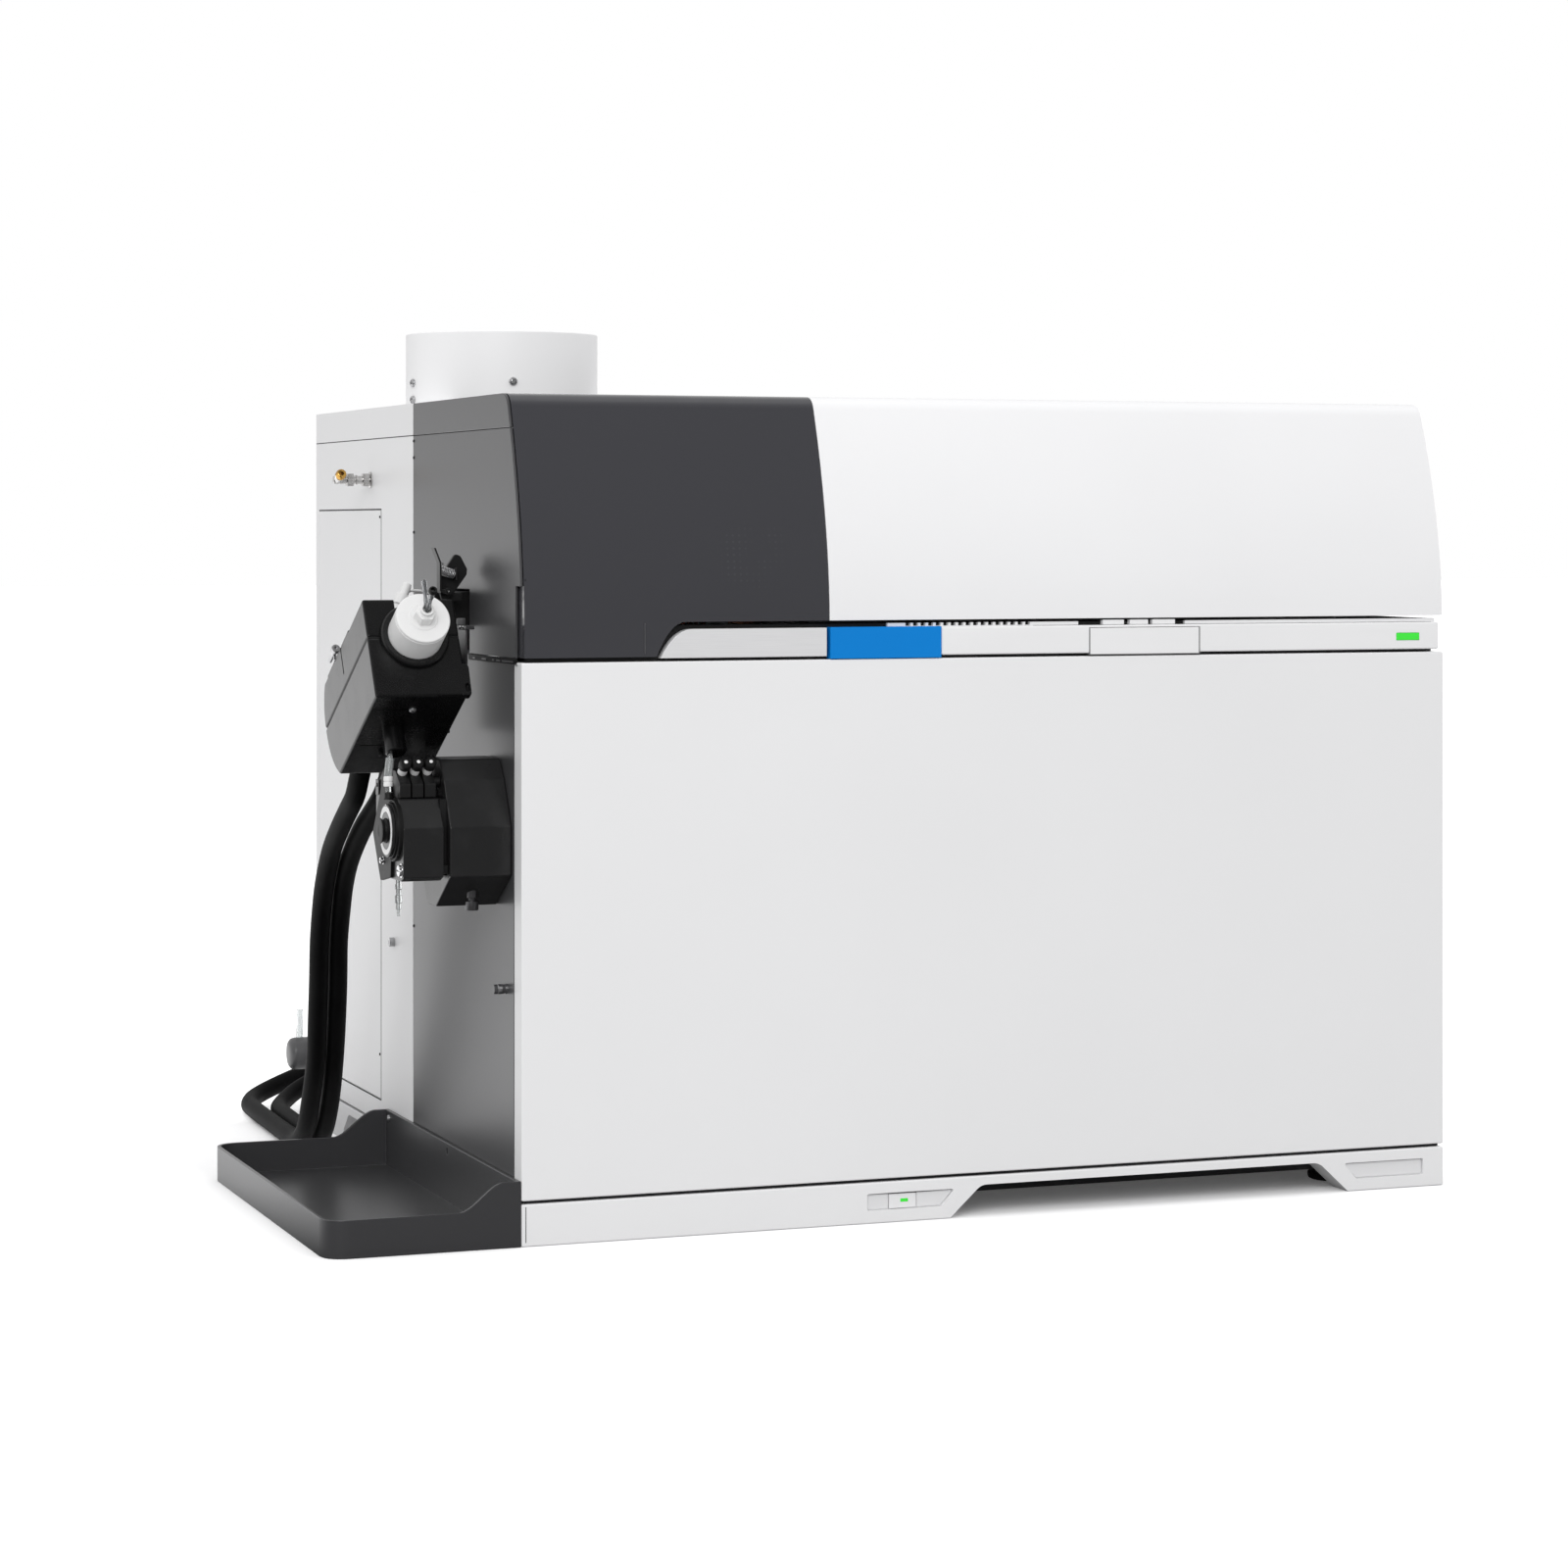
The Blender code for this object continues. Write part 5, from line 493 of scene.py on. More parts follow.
def one_way(along, squeeze):
    """How noise is stretched along one axis, so that it turns into lines."""
    return tuple(squeeze if axis == along else 1 for axis in "XYZ")


def sheet_steel(name, colour, roughness, along):
    """Bare rolled sheet: fine rolling lines one way, and faint clouding."""
    return textured(name, colour, ((1500, 2.0, one_way(along, 0.02)), (22, 3.0)), (0.35, 0.7),
                    0.86, (0.16, 0.08, 0.11), (0.00002, 0.5), metallic=1.0, roughness=roughness)


def rubber(name, colour):
    """Moulded rubber: dull, with a fine dusty grain."""
    return textured(name, colour, ((1800, 3.0),), (0.5, 0.8), 1.7, (0.15, 0.1), (0.00005, 0.6),
                    roughness=0.8, specular_ior_level=0.2)


# Near-black steel on the pan: painted shade under the cabinet.
pan_painted_shade_finish = sheet_steel("pan_steel_painted_shade", PAN_STEEL_PAINTED_SHADE, 0.42, "X")
refined("steel_base_pan", "base_pan", 0.0003, pan_painted_shade_finish)
foot_finish = rubber("foot_rubber", RUBBER)
foot_profile = [(0, 0), (FOOT_RADIUS - 0.0025, 0), (FOOT_RADIUS - 0.0006, 0.0006),
                (FOOT_RADIUS, 0.0022), (FOOT_RADIUS, 0.0046), (FOOT_RADIUS - 0.0011, 0.0052),
                (FOOT_RADIUS - 0.0011, 0.0066), (FOOT_RADIUS, 0.0072),
                (FOOT_RADIUS - 0.0003, FOOT_HEIGHT - 0.001), (FOOT_RADIUS - 0.0015, FOOT_HEIGHT),
                (0, FOOT_HEIGHT)]
foot_places = [(x, y, 0) for x in (FOOT_INSET, CABINET_WIDTH - FOOT_INSET)
               for y in (FOOT_INSET, CABINET_DEPTH - FOOT_INSET)]
set_in("rubber_feet", gathered(*[spun(foot_profile, "Z", place, FOOT_STEPS)
                                 for place in foot_places]), foot_finish)


# The plinth: three white mouldings round the foot of the cabinet. The front one has a long
# lifting arch between two shallow slanting recesses, one of them round the power button.
PLINTH_WHITE = (0.79, 0.79, 0.798)
PAD_GREY = (0.73, 0.73, 0.74)
PLINTH_HEIGHT = 0.0295
PLINTH_DEPTH = 0.025
ARCH = (0.3226, 0.6486)
ARCH_HEIGHT = 0.023
ARCH_SLANT = 0.025
ARCH_ROUND = 0.012
RECESS_DEPTH = 0.003
RECESS_Z = (0.0093, 0.0215)
LEFT_RECESS = (0.2585, 0.3270)
RIGHT_RECESS = (0.6444, 0.7125)
RECESS_SLANT = 0.011
RECESS_CORNER = 0.0016
PAD_RIM = 0.0007
BUTTON_X = (0.276, 0.297)
BUTTON_Z = (0.0098, 0.0202)
BUTTON_PLAY = 0.0003
BUTTON_POCKET = 0.0125
SIDE_WIDTH = 0.020
SIDE_ARCH = (0.350, 0.515)
FLANGE_X = (0.009, 0.011)
FLANGE_Z = (0.0080, PLINTH_HEIGHT - 0.0005)
CUT_PAST = 0.012
PLINTH_EDGE = 0.0012


def drawn(outline, axis, low, high):
    """A closed outline in the plane across an axis, drawn out from low to high."""
    first, second, along = AXES[axis]
    shape = bmesh.new()
    ends = []
    for level in (low, high):
        ring = []
        for point in outline:
            place = [0.0, 0.0, 0.0]
            place[first], place[second], place[along] = point[0], point[1], level
            ring.append(shape.verts.new(place))
        ends.append(ring)
    count = len(outline)
    shape.faces.new(ends[0])
    shape.faces.new(ends[1])
    for index in range(count):
        following = (index + 1) % count
        shape.faces.new((ends[0][index], ends[0][following], ends[1][following], ends[1][index]))
    bmesh.ops.recalc_face_normals(shape, faces=shape.faces)
    return shape


def rectangle(x, y):
    return [(x[0], y[0]), (x[1], y[0]), (x[1], y[1]), (x[0], y[1])]


def slab(x, y, z):
    return drawn(rectangle(x, y), "Z", *z)


def rounded(outline, radius, steps=5):
    """A closed outline with its corners rounded; radius is one number, or one to a corner."""
    points = []
    count = len(outline)
    for index, corner in enumerate(outline):
        here = Vector(corner)
        size = radius[index] if isinstance(radius, (list, tuple)) else radius
        if size == 0:
            points.append(tuple(here))
            continue
        back = (Vector(outline[index - 1]) - here)
        ahead = (Vector(outline[(index + 1) % count]) - here)
        reach = size / math.tan(max(back.angle(ahead), 0.1) / 2)
        reach = min(reach, back.length * 0.49, ahead.length * 0.49)
        start = here + back.normalized() * reach
        end = here + ahead.normalized() * reach
        for step in range(steps + 1):
            t = step / steps
            points.append(tuple((1 - t) ** 2 * start + 2 * t * (1 - t) * here + t * t * end))
    return points


def carved(shape, *cutters):
    """A shape with others cut out of it."""
    things = []
    for part in (shape, *cutters):
        mesh = bpy.data.meshes.new("carving")
        part.to_mesh(mesh)
        part.free()
        thing = bpy.data.objects.new("carving", mesh)
        bpy.context.scene.collection.objects.link(thing)
        things.append(thing)
    for tool in things[1:]:
        step = things[0].modifiers.new("cut", "BOOLEAN")
        step.operation = "DIFFERENCE"
        step.solver = "EXACT"
        step.object = tool
    graph = bpy.context.evaluated_depsgraph_get()
    mesh = bpy.data.meshes.new_from_object(things[0].evaluated_get(graph))
    result = bmesh.new()
    result.from_mesh(mesh)
    bpy.data.meshes.remove(mesh)
    for thing in things:
        bpy.data.objects.remove(thing)
    bmesh.ops.remove_doubles(result, verts=result.verts, dist=MERGE)
    bmesh.ops.dissolve_limit(result, angle_limit=FLAT, verts=result.verts, edges=result.edges)
    return result


def arch_outline(ends, slant):
    """The gap under a plinth: open below, with slanting ends that round over into the top."""
    low = -CUT_PAST
    return rounded([(ends[0], low), (ends[0], 0), (ends[0] + slant, ARCH_HEIGHT),
                    (ends[1] - slant, ARCH_HEIGHT), (ends[1], 0), (ends[1], low)],
                   (0, 0, ARCH_ROUND, ARCH_ROUND, 0, 0), 10)


def moulding(name, colour, roughness=0.42, grain=1700, shine=0.4, mottle=0.985):
    """Satin moulded plastic with a fine spark-eroded grain."""
    return textured(name, colour, ((grain, 2.0), (9, 2.0)), (0.3, 0.7), mottle, (0.10, 0, 0.05),
                    (0.00003, 0.35), roughness=roughness, specular_ior_level=shine)


white_moulding = moulding("white_moulding", PLINTH_WHITE)
pad_moulding = moulding("grey_pad", PAD_GREY)


def recess_outline(ends, inset):
    """A recess in the plinth's face, smaller by an inset, with its one slanting end."""
    (left, right), (low, high) = ends, RECESS_Z
    left, right, low, high = left + inset, right - inset, low + inset, high - inset
    foot = (left, right - RECESS_SLANT) if ends == LEFT_RECESS else (left + RECESS_SLANT, right)
    return rounded([(foot[0], low), (foot[1], low), (right, high), (left, high)], RECESS_CORNER)


button_gap = [(low - BUTTON_PLAY, high + BUTTON_PLAY) for low, high in (BUTTON_X, BUTTON_Z)]
front = carved(eased(slab((0, CABINET_WIDTH), (0, PLINTH_DEPTH), (0, PLINTH_HEIGHT)),
                     PLINTH_EDGE, 50, 3),
               drawn(arch_outline(ARCH, ARCH_SLANT), "Y", -CUT_PAST, PLINTH_DEPTH + CUT_PAST),
               drawn(recess_outline(LEFT_RECESS, 0), "Y", -CUT_PAST, RECESS_DEPTH),
               drawn(recess_outline(RIGHT_RECESS, 0), "Y", -CUT_PAST, RECESS_DEPTH),
               slab(button_gap[0], (-CUT_PAST, BUTTON_POCKET), button_gap[1]))
set_in("front_plinth_moulding", front, white_moulding, "front_plinth")
for name, node, left in (("left_plinth_moulding", "left_plinth", 0),
                         ("right_plinth_moulding", "right_plinth", CABINET_WIDTH - SIDE_WIDTH)):
    right = left + SIDE_WIDTH
    side = carved(eased(slab((left, right), (PLINTH_DEPTH + BUTTON_PLAY, CABINET_DEPTH),
                             (0, PLINTH_HEIGHT)), PLINTH_EDGE / 2),
                  drawn(arch_outline(SIDE_ARCH, ARCH_SLANT), "X", left - CUT_PAST,
                        right + CUT_PAST))
    set_in(name, side, white_moulding, node)
    flange = slab((left + FLANGE_X[0], left + FLANGE_X[1]), SIDE_ARCH, FLANGE_Z)
    set_in(name + "_flange", eased(flange, 0.0003), white_moulding)
pad_y = (RECESS_DEPTH - 0.0009, RECESS_DEPTH + 0.0002)
pads = [carved(drawn(recess_outline(LEFT_RECESS, PAD_RIM), "Y", *pad_y),
               slab((BUTTON_X[0] - 0.0006, BUTTON_X[1] + 0.0006), (-CUT_PAST, CUT_PAST),
                    (BUTTON_Z[0] - 0.0004, BUTTON_Z[1] + 0.0004))),
        drawn(recess_outline(RIGHT_RECESS, PAD_RIM), "Y", *pad_y)]
set_in("recess_pads", eased(gathered(*pads), 0.0002), pad_moulding)


# The power button: a small white moulded key in the left recess, with a green light bar let
# into its middle that stands a hair proud of it.
LIGHT_BAR_X = (0.2848, 0.2908)
LIGHT_BAR_Z = (0.0141, 0.0166)
BUTTON_FRONT = 0.0018
GREEN = (0.045, 0.62, 0.045)
GREEN_GLOW = 0.35


def lit_lens(name, colour, glow):
    """A coloured clear lens with a lamp behind it, brighter in its middle rows."""
    finish = Finish(name, colour, roughness=0.22, emission_strength=glow)
    beads = finish.noise(1400, 1.0)
    finish.wire("Emission Color", finish.blend(beads.clipped(0.2, 0.8),
                                               tuple(value * 0.75 for value in colour), colour))
    finish.relief(beads, 0.00004, 0.4)
    return finish.material


green_lens = lit_lens("green_lens", GREEN, GREEN_GLOW)
refined("power_key", "power_button", 0.0002, white_moulding, "button")
set_in("power_light_bar", eased(slab(LIGHT_BAR_X, (BUTTON_FRONT - 0.0001, BUTTON_FRONT + 0.001),
                                     LIGHT_BAR_Z), 0.00015), green_lens,
       body="button")


# The skins: folded steel panels with a fine off-white powder coat. The front one is a shallow
# tray hooked on the frame, and the others are screwed on at their back edges.
COAT_WHITE = (0.785, 0.785, 0.793)


def powder_coat(name, colour, roughness=0.40, shine=0.4):
    """Baked powder coat: a fine orange-peel relief and hardly any change of colour."""
    return textured(name, colour, ((620, 2.0), (2600, 1.0), (6, 2.0)), (0.3, 0.7), 0.985,
                    (0, 0.08, 0, 0.04), (0.00003, 0.35, 0.4), roughness=roughness,
                    specular_ior_level=shine)


white_coat = powder_coat("white_powder_coat", COAT_WHITE)
for name, node in (("front_skin", "lower_front_panel"), ("right_skin", "right_side_panel"),
                   ("rear_left_skin", "rear_left_panel"), ("access_door", "access_panel"),
                   ("top_skin", "top_cover")):
    refined(name, node, 0.0007, white_coat)


# The dark skins round the sample introduction: the same folded steel in a satin dark grey coat,
# with the cut-out that the torch clamp comes through.
DARK_GREY = (0.056, 0.056, 0.059)
dark_coat = powder_coat("dark_powder_coat", DARK_GREY, 0.32, 0.44)
for name, node in (("left_lower_skin", "left_lower_panel"),
                   ("left_upper_skin", "left_upper_panel"), ("left_top_skin", "left_top_cap")):
    refined(name, node, 0.0006, dark_coat)


# The extraction collar: a rolled steel ring on the roof, welded along its seam, with a turned
# lip on top. The room's duct slips over it and is held by the screws in its wall.
COLLAR_X = 0.087
COLLAR_Y = 0.345
COLLAR_RADIUS = 0.075
COLLAR_WALL = 0.0018
COLLAR_Z = (0.5643, 0.651)
COLLAR_STEPS = 160
inner_radius = COLLAR_RADIUS - COLLAR_WALL
low, high = COLLAR_Z
collar = spun([(inner_radius, low), (COLLAR_RADIUS, low), (COLLAR_RADIUS, high - 0.0007),
               (COLLAR_RADIUS - 0.0003, high - 0.0002), (COLLAR_RADIUS - 0.0007, high),
               (inner_radius + 0.0004, high), (inner_radius, high - 0.0004)], "Z",
              (COLLAR_X, COLLAR_Y, 0), COLLAR_STEPS)
# The collar's coat is the skins' white made brighter, to lift the ring to the front skin's
# brightness: painted light.
collar_coat_painted_light = powder_coat("collar_powder_coat_painted_light", (0.86, 0.86, 0.868))
set_in("extraction_collar", collar, collar_coat_painted_light, "exhaust_collar")


# The screws in the collar, the side panels, the tray and the back: pan heads with a cross
# recess, zinc plated where they show on white and blackened on the dark skins.
ZINC = (0.56, 0.56, 0.57)
BLACKENED = (0.05, 0.05, 0.052)
HEAD_STEPS = 20
CROSS_WIDTH = 0.16
CROSS_LENGTH = 0.62


def pan_head():
    """A screw head one unit in radius that stands on Z = 0, with its cross recess."""
    dome = [(0, -0.15), (1, -0.15), (1, 0.22), (0.94, 0.42), (0.76, 0.62), (0.45, 0.74),
            (0, 0.78)]
    head = spun(dome, "Z", (0, 0, 0), HEAD_STEPS)
    arms = [slab((-CROSS_LENGTH, CROSS_LENGTH), (-CROSS_WIDTH, CROSS_WIDTH), (0.36, 1)),
            slab((-CROSS_WIDTH, CROSS_WIDTH), (-CROSS_LENGTH, CROSS_LENGTH), (0.36, 1))]
    return carved(head, *arms)


def pattern_mesh(name, shape):
    """A small form for the Geometry Nodes to repeat, kept out of the scene."""
    mesh = bpy.data.meshes.new(name)
    shape.to_mesh(mesh)
    shape.free()
    mesh.shade_smooth()
    mesh.set_sharp_from_angle(angle=math.radians(38))
    return bpy.data.objects.new(name, mesh)


def tree_with(name, sockets):
    """A Geometry Nodes tree with named inputs, given as (name, socket kind)."""
    tree = bpy.data.node_groups.new(name, "GeometryNodeTree")
    tree.interface.new_socket("Geometry", in_out="INPUT", socket_type="NodeSocketGeometry")
    for label, kind in sockets:
        tree.interface.new_socket(label, in_out="INPUT", socket_type=kind)
    tree.interface.new_socket("Geometry", in_out="OUTPUT", socket_type="NodeSocketGeometry")
    entry = tree.nodes.new("NodeGroupInput")
    return tree, {socket.name: Wire(tree, socket) for socket in entry.outputs if socket.name}


def closed_with(tree, instances, finish):
    """Ends a tree: its instances made real, and given their material."""
    real = instances.node("GeometryNodeRealizeInstances", {}, {"Geometry": instances})
    painted = real.node("GeometryNodeSetMaterial", {}, {"Geometry": real, "Material": finish})
    tree.links.new(painted.socket, tree.nodes.new("NodeGroupOutput").inputs["Geometry"])
    return tree


def scatter_tree():
    """Sets one form at each point, upright along the point's facing, turned and sized by it."""
    tree, inlet = tree_with("set at points", (("Form", "NodeSocketObject"),
                                              ("Size", "NodeSocketFloat"),
                                              ("Finish", "NodeSocketMaterial"),
                                              ("Seed", "NodeSocketInt")))
    start = Wire(tree)
    form = start.node("GeometryNodeObjectInfo", {}, {"Object": inlet["Form"]}, "Geometry")
    named = {"data_type": "FLOAT_VECTOR"}
    facing = start.node("GeometryNodeInputNamedAttribute", named, {"Name": "facing"}, "Attribute")
    upright = start.node("FunctionNodeAlignRotationToVector", {"axis": "Z"}, {"Vector": facing})
    turn = start.node("FunctionNodeRandomValue", {"data_type": "FLOAT"},
                      {2: 0.0, 3: math.tau, "Seed": inlet["Seed"]}, 1)
    spin = start.node("FunctionNodeAxisAngleToRotation", {}, {"Axis": (0, 0, 1), "Angle": turn})
    both = start.node("FunctionNodeRotateRotation", {"rotation_space": "LOCAL"},
                      {"Rotation": upright, "Rotate By": spin})
    grown = start.node("GeometryNodeInstanceOnPoints", {},
                       {"Points": inlet["Geometry"], "Instance": form, "Rotation": both,
                        "Scale": inlet["Size"]})
    return closed_with(tree, grown, inlet["Finish"])


def grown_mesh(tree, values, start=None):
    """Runs a tree once and gives its result as a plain mesh."""
    carrier = bpy.data.objects.new("carrier", start or bpy.data.meshes.new("carrier"))
    bpy.context.scene.collection.objects.link(carrier)
    growth = carrier.modifiers.new("growth", "NODES")
    growth.node_group = tree
    for item in tree.interface.items_tree:
        if item.item_type == "SOCKET" and item.in_out == "INPUT" and item.name in values:
            growth[item.identifier] = values[item.name]
    graph = bpy.context.evaluated_depsgraph_get()
    mesh = bpy.data.meshes.new_from_object(carrier.evaluated_get(graph))
    carrier.modifiers.clear()
    bpy.data.objects.remove(carrier)
    return mesh


set_at_points = scatter_tree()
screw_form = pattern_mesh("pan_head", pan_head())


def plated(name, colour, roughness=0.3):
    """Plated or blackened steel, with faint clouding and handling marks."""
    return textured(name, colour, ((340, 3.0),), (0.35, 0.75), 0.78, (0.2, 0.08), metallic=1.0,
                    roughness=roughness)


zinc = plated("zinc_plate", ZINC)
black_zinc = plated("blackened_steel", BLACKENED, 0.4)
LEFT = (-1, 0, 0)
BACK = (0, 1, 0)


def screws(name, radius, places, seed, finish=zinc):
    """Pan-head screws at every (place, facing), as one piece on the chassis."""
    points = bpy.data.meshes.new(name)
    points.from_pydata([at(*place) for place, facing in places], [], [])
    facing = points.attributes.new("facing", "FLOAT_VECTOR", "POINT")
    facing.data.foreach_set("vector", [value for place, way in places for value in way])
    mesh = grown_mesh(set_at_points, {"Form": screw_form, "Size": radius, "Finish": finish,
                                      "Seed": seed}, points)
    return mount(name, mesh, finish)


def on_collar(turn, height):
    """A place on the collar's wall and the way it faces, turned from the front in degrees."""
    angle = math.radians(turn - 90)
    way = (math.cos(angle), math.sin(angle), 0)
    return ((COLLAR_X + COLLAR_RADIUS * way[0], COLLAR_Y + COLLAR_RADIUS * way[1], height), way)


collar_screws = [on_collar(-9.7, 0.6123), on_collar(-82, 0.6123), on_collar(-82, 0.5993),
                 on_collar(110, 0.6123), on_collar(200, 0.6123)]
screws("collar_screws", 0.0033, collar_screws, 1)
screws("skin_edge_screws", 0.0012, [((0.0001, 0.2862, z), LEFT)
                                    for z in (0.5662, 0.5535, 0.4965, 0.330, 0.196)], 2,
       black_zinc)
screws("door_catches", 0.0011, [((0.0001, 0.3882, z), LEFT) for z in (0.5085, 0.0850)], 3,
       black_zinc)


# The two standing side screws: a hand screw that carries the tray's hook on the dark skin, and a
# short one on the white skin. Both have a knurled head on a plain shank.
DARK_SCREW = (0.0389, 0.1754)
WHITE_SCREW = (0.3457, 0.1778)


def hand_screw(y, z, reach):
    """A shank, a round head with a chamfer, and a smaller collar behind it."""
    head = 0.0036
    centre = (0, y, z)
    return spun([(0, 0.0003), (0.0036, 0.0003), (0.0036, -0.0010), (0.0021, -0.0012),
                 (0.0021, -(reach - 0.0036)), (head, -(reach - 0.0034)), (head, -(reach - 0.0005)),
                 (head - 0.0005, -reach), (0.0014, -reach), (0.0012, -(reach - 0.0009)),
                 (0, -(reach - 0.0009))], "X", centre, 32)


set_in("side_hand_screws", gathered(hand_screw(*DARK_SCREW, 0.0066),
                                    hand_screw(*WHITE_SCREW, 0.0043)), zinc)


# The cross rail behind the front strip: a black folded rail. The white ledge on it carries a comb
# of air slots on the left, and three hooks that the flap's latch catches.
RAIL_BLACK = (0.012, 0.012, 0.0125)
LEDGE_Y = (0.0045, 0.0082)
LEDGE_Z = (0.4287, 0.4313)
LEDGE_RUNS = ((0.2760, 0.2900), (0.3901, 0.4270), (0.5140, 0.7250))
SLOT_COUNT = 17
SLOT_LEFT = 0.2900
SLOT_PITCH = 0.0059
SLOT_WIDTH = 0.0038
TOOTH_Z = 0.4289
HOOKS = ((0.4462, 0.4635), (0.4682, 0.4832), (0.4866, 0.5052))
HOOK_Z = (0.4287, 0.4323)


def black_moulding(name, colour=(0.011, 0.011, 0.0115), roughness=0.42, shine=0.42):
    """Black moulded plastic: eggshell sheen, with a little pale dust in its grain."""
    return textured(name, colour, ((1500, 2.0), (60, 3.0)), (0.55, 0.85), 2.0,
                    (0.10, 0.06, 0.08), (0.00003, 0.4), 0.5, roughness=roughness,
                    specular_ior_level=shine)


rail_black = black_moulding("rail_black", RAIL_BLACK)
refined("black_cross_rail", "cross_rail", 0, rail_black)


def row_tree():
    """Sets one form again and again along a straight line."""
    tree, inlet = tree_with("set in a row", (("Form", "NodeSocketObject"),
                                             ("Count", "NodeSocketInt"),
                                             ("Start", "NodeSocketVector"),
                                             ("Step", "NodeSocketVector"),
                                             ("Finish", "NodeSocketMaterial")))
    start = Wire(tree)
    line = start.node("GeometryNodeMeshLine", {"mode": "OFFSET"},
                      {"Count": inlet["Count"], "Start Location": inlet["Start"],
                       "Offset": inlet["Step"]})
    form = start.node("GeometryNodeObjectInfo", {}, {"Object": inlet["Form"]}, "Geometry")
    grown = start.node("GeometryNodeInstanceOnPoints", {}, {"Points": line, "Instance": form})
    return closed_with(tree, grown, inlet["Finish"])


set_in_row = row_tree()


def row(name, shape, count, start, step, finish, stands_for=(), body="chassis"):
    """One shape, drawn round its own origin, set in a row."""
    form = pattern_mesh(name + "_form", shape)
    mesh = grown_mesh(set_in_row, {"Form": form, "Count": count, "Start": tuple(at(*start)),
                                   "Step": step, "Finish": finish})
    return mount(name, mesh, finish, stands_for, body)


tooth = SLOT_PITCH - SLOT_WIDTH
ledge = [eased(slab(run, LEDGE_Y, LEDGE_Z), 0.0002) for run in LEDGE_RUNS]
ledge.append(slab((SLOT_LEFT - 0.0002, LEDGE_RUNS[1][0] + 0.0002), (0.0040, LEDGE_Y[1]),
                  (0.4282, 0.4291)))
set_in("strip_ledge", gathered(*ledge), white_moulding)
row("air_slot_teeth", slab((0, tooth), (0, LEDGE_Y[1] - LEDGE_Y[0]), (0, LEDGE_Z[1] - TOOTH_Z)),
    SLOT_COUNT, (SLOT_LEFT + SLOT_WIDTH, LEDGE_Y[0], TOOTH_Z), (SLOT_PITCH, 0, 0),
    white_moulding)
set_in("latch_hooks", eased(gathered(*[slab(span, (0.0030, 0.0080), HOOK_Z) for span in HOOKS]),
                            0.0004), white_moulding)


# The front strip: a white moulding clipped to the rail, with the bare blue plate on its left, the
# press-in flap that frees the cover, and the green status lens on its right.
PLATE_BLUE = (0.0010, 0.203, 0.620)
FLAP_X = (0.4342, 0.5238)
FLAP_Z = (0.4070, 0.4265)
GAP_Y = (-0.0002, 0.0020)
refined("strip_moulding", "fascia_strip", 0, white_moulding)
refined("flap_moulding", "latch_plate", 0.0002, white_moulding, "latch")
# Grey strips along the flap's two sides and its lower edge: painted shade that darkens the gap
# round the flap.
flap_gap = [slab((x - 0.0005, x + 0.0003), GAP_Y, FLAP_Z) for x in FLAP_X]
flap_gap.append(slab(FLAP_X, GAP_Y, (FLAP_Z[0] - 0.0004, FLAP_Z[0] + 0.0002)))
set_in("flap_gap", gathered(*flap_gap), moulding("gap_painted_shade", (0.16, 0.16, 0.165)))
blue_face = moulding("blue_plate_face", PLATE_BLUE, 0.36, 2200, 0.15, 0.97)
refined("bare_blue_plate", "nameplate", 0, blue_face)
refined("status_lens", "status_lamp", 0.0002, green_lens)


# The trim at the hood's lower corner: rolled aluminium, brushed along its length, with a swept
# left end and a thin bright chamfer all round.
TRIM_SILVER = (0.76, 0.76, 0.77)
TRIM_SHADE = (0.71, 0.71, 0.72)
trim = Finish("brushed_aluminium", TRIM_SILVER, metallic=0.15, roughness=0.42)
strokes = trim.noise(2600, 3.0, (0.012, 1, 1))
smudges = trim.noise(40, 2.0, (0.5, 1, 1))
trim.wire("Base Color", trim.blend(strokes.clipped(0.3, 0.7), TRIM_SHADE, TRIM_SILVER))
trim.wire("Roughness", strokes * 0.15 + smudges * 0.1 + 0.26)
trim.relief(strokes, 0.00003, 0.6)
refined("brushed_trim", "trim_plate", 0.0005, trim.material, sharper=40,
        smooth=30)


# The torch hood: one glossy smoked moulding that swings up and back on eyes at its rear edge.
# The fine holes of the screen behind it show faintly through, and a moulding line runs low down.
SMOKE = (0.047, 0.047, 0.053)
SMOKE_PALE = (0.060, 0.060, 0.066)
HOLE_PITCH = 0.0046
SCREEN = {"X": (0.142, 0.200, 0.012), "Z": (0.452, 0.506, 0.010)}
HOOD_LINE_X = 0.0905
hood = Finish("smoked_gloss", SMOKE, roughness=0.13, specular_ior_level=0.42, coat_roughness=0.06)
split = hood.place.node("ShaderNodeSeparateXYZ", {}, {"Vector": hood.place}, "X")
near_hole, in_screen = [], []
for axis, (low, high, fade) in SCREEN.items():
    along = Wire(hood.tree, split.socket.node.outputs[axis]) - (CORNER.x if axis == "X" else 0)
    near_hole.append(along.maths("PINGPONG", along, HOLE_PITCH / 2) * (2 / HOLE_PITCH))
    in_screen.append((along - low).clipped(0, fade)
                     * (1 - (along - high + fade).clipped(0, fade)))
hole = (near_hole[0] + near_hole[1]).clipped(1.45, 1.62)
patches = hood.noise(55, 2.0).clipped(0.42, 0.62)
hood.wire("Base Color", hood.blend(hole * in_screen[0] * in_screen[1] * patches * 0.55, SMOKE,
                                   SMOKE_PALE))
hood.wire("Coat Weight", patches * 0.10 + 0.25)
hood.wire("Roughness", hood.noise(14, 3.0) * 0.06 + 0.10)
refined("smoked_hood", "torch_hood", 0.0009, hood.material, "hood", 45, 3, 30)
set_in("hood_moulding_line", slab((HOOD_LINE_X, HOOD_LINE_X + 0.0005), (0.0012, 0.0030),
                                  (0.4112, 0.4330)),
       moulding("hood_line", (0.09, 0.09, 0.095), 0.4), body="hood")


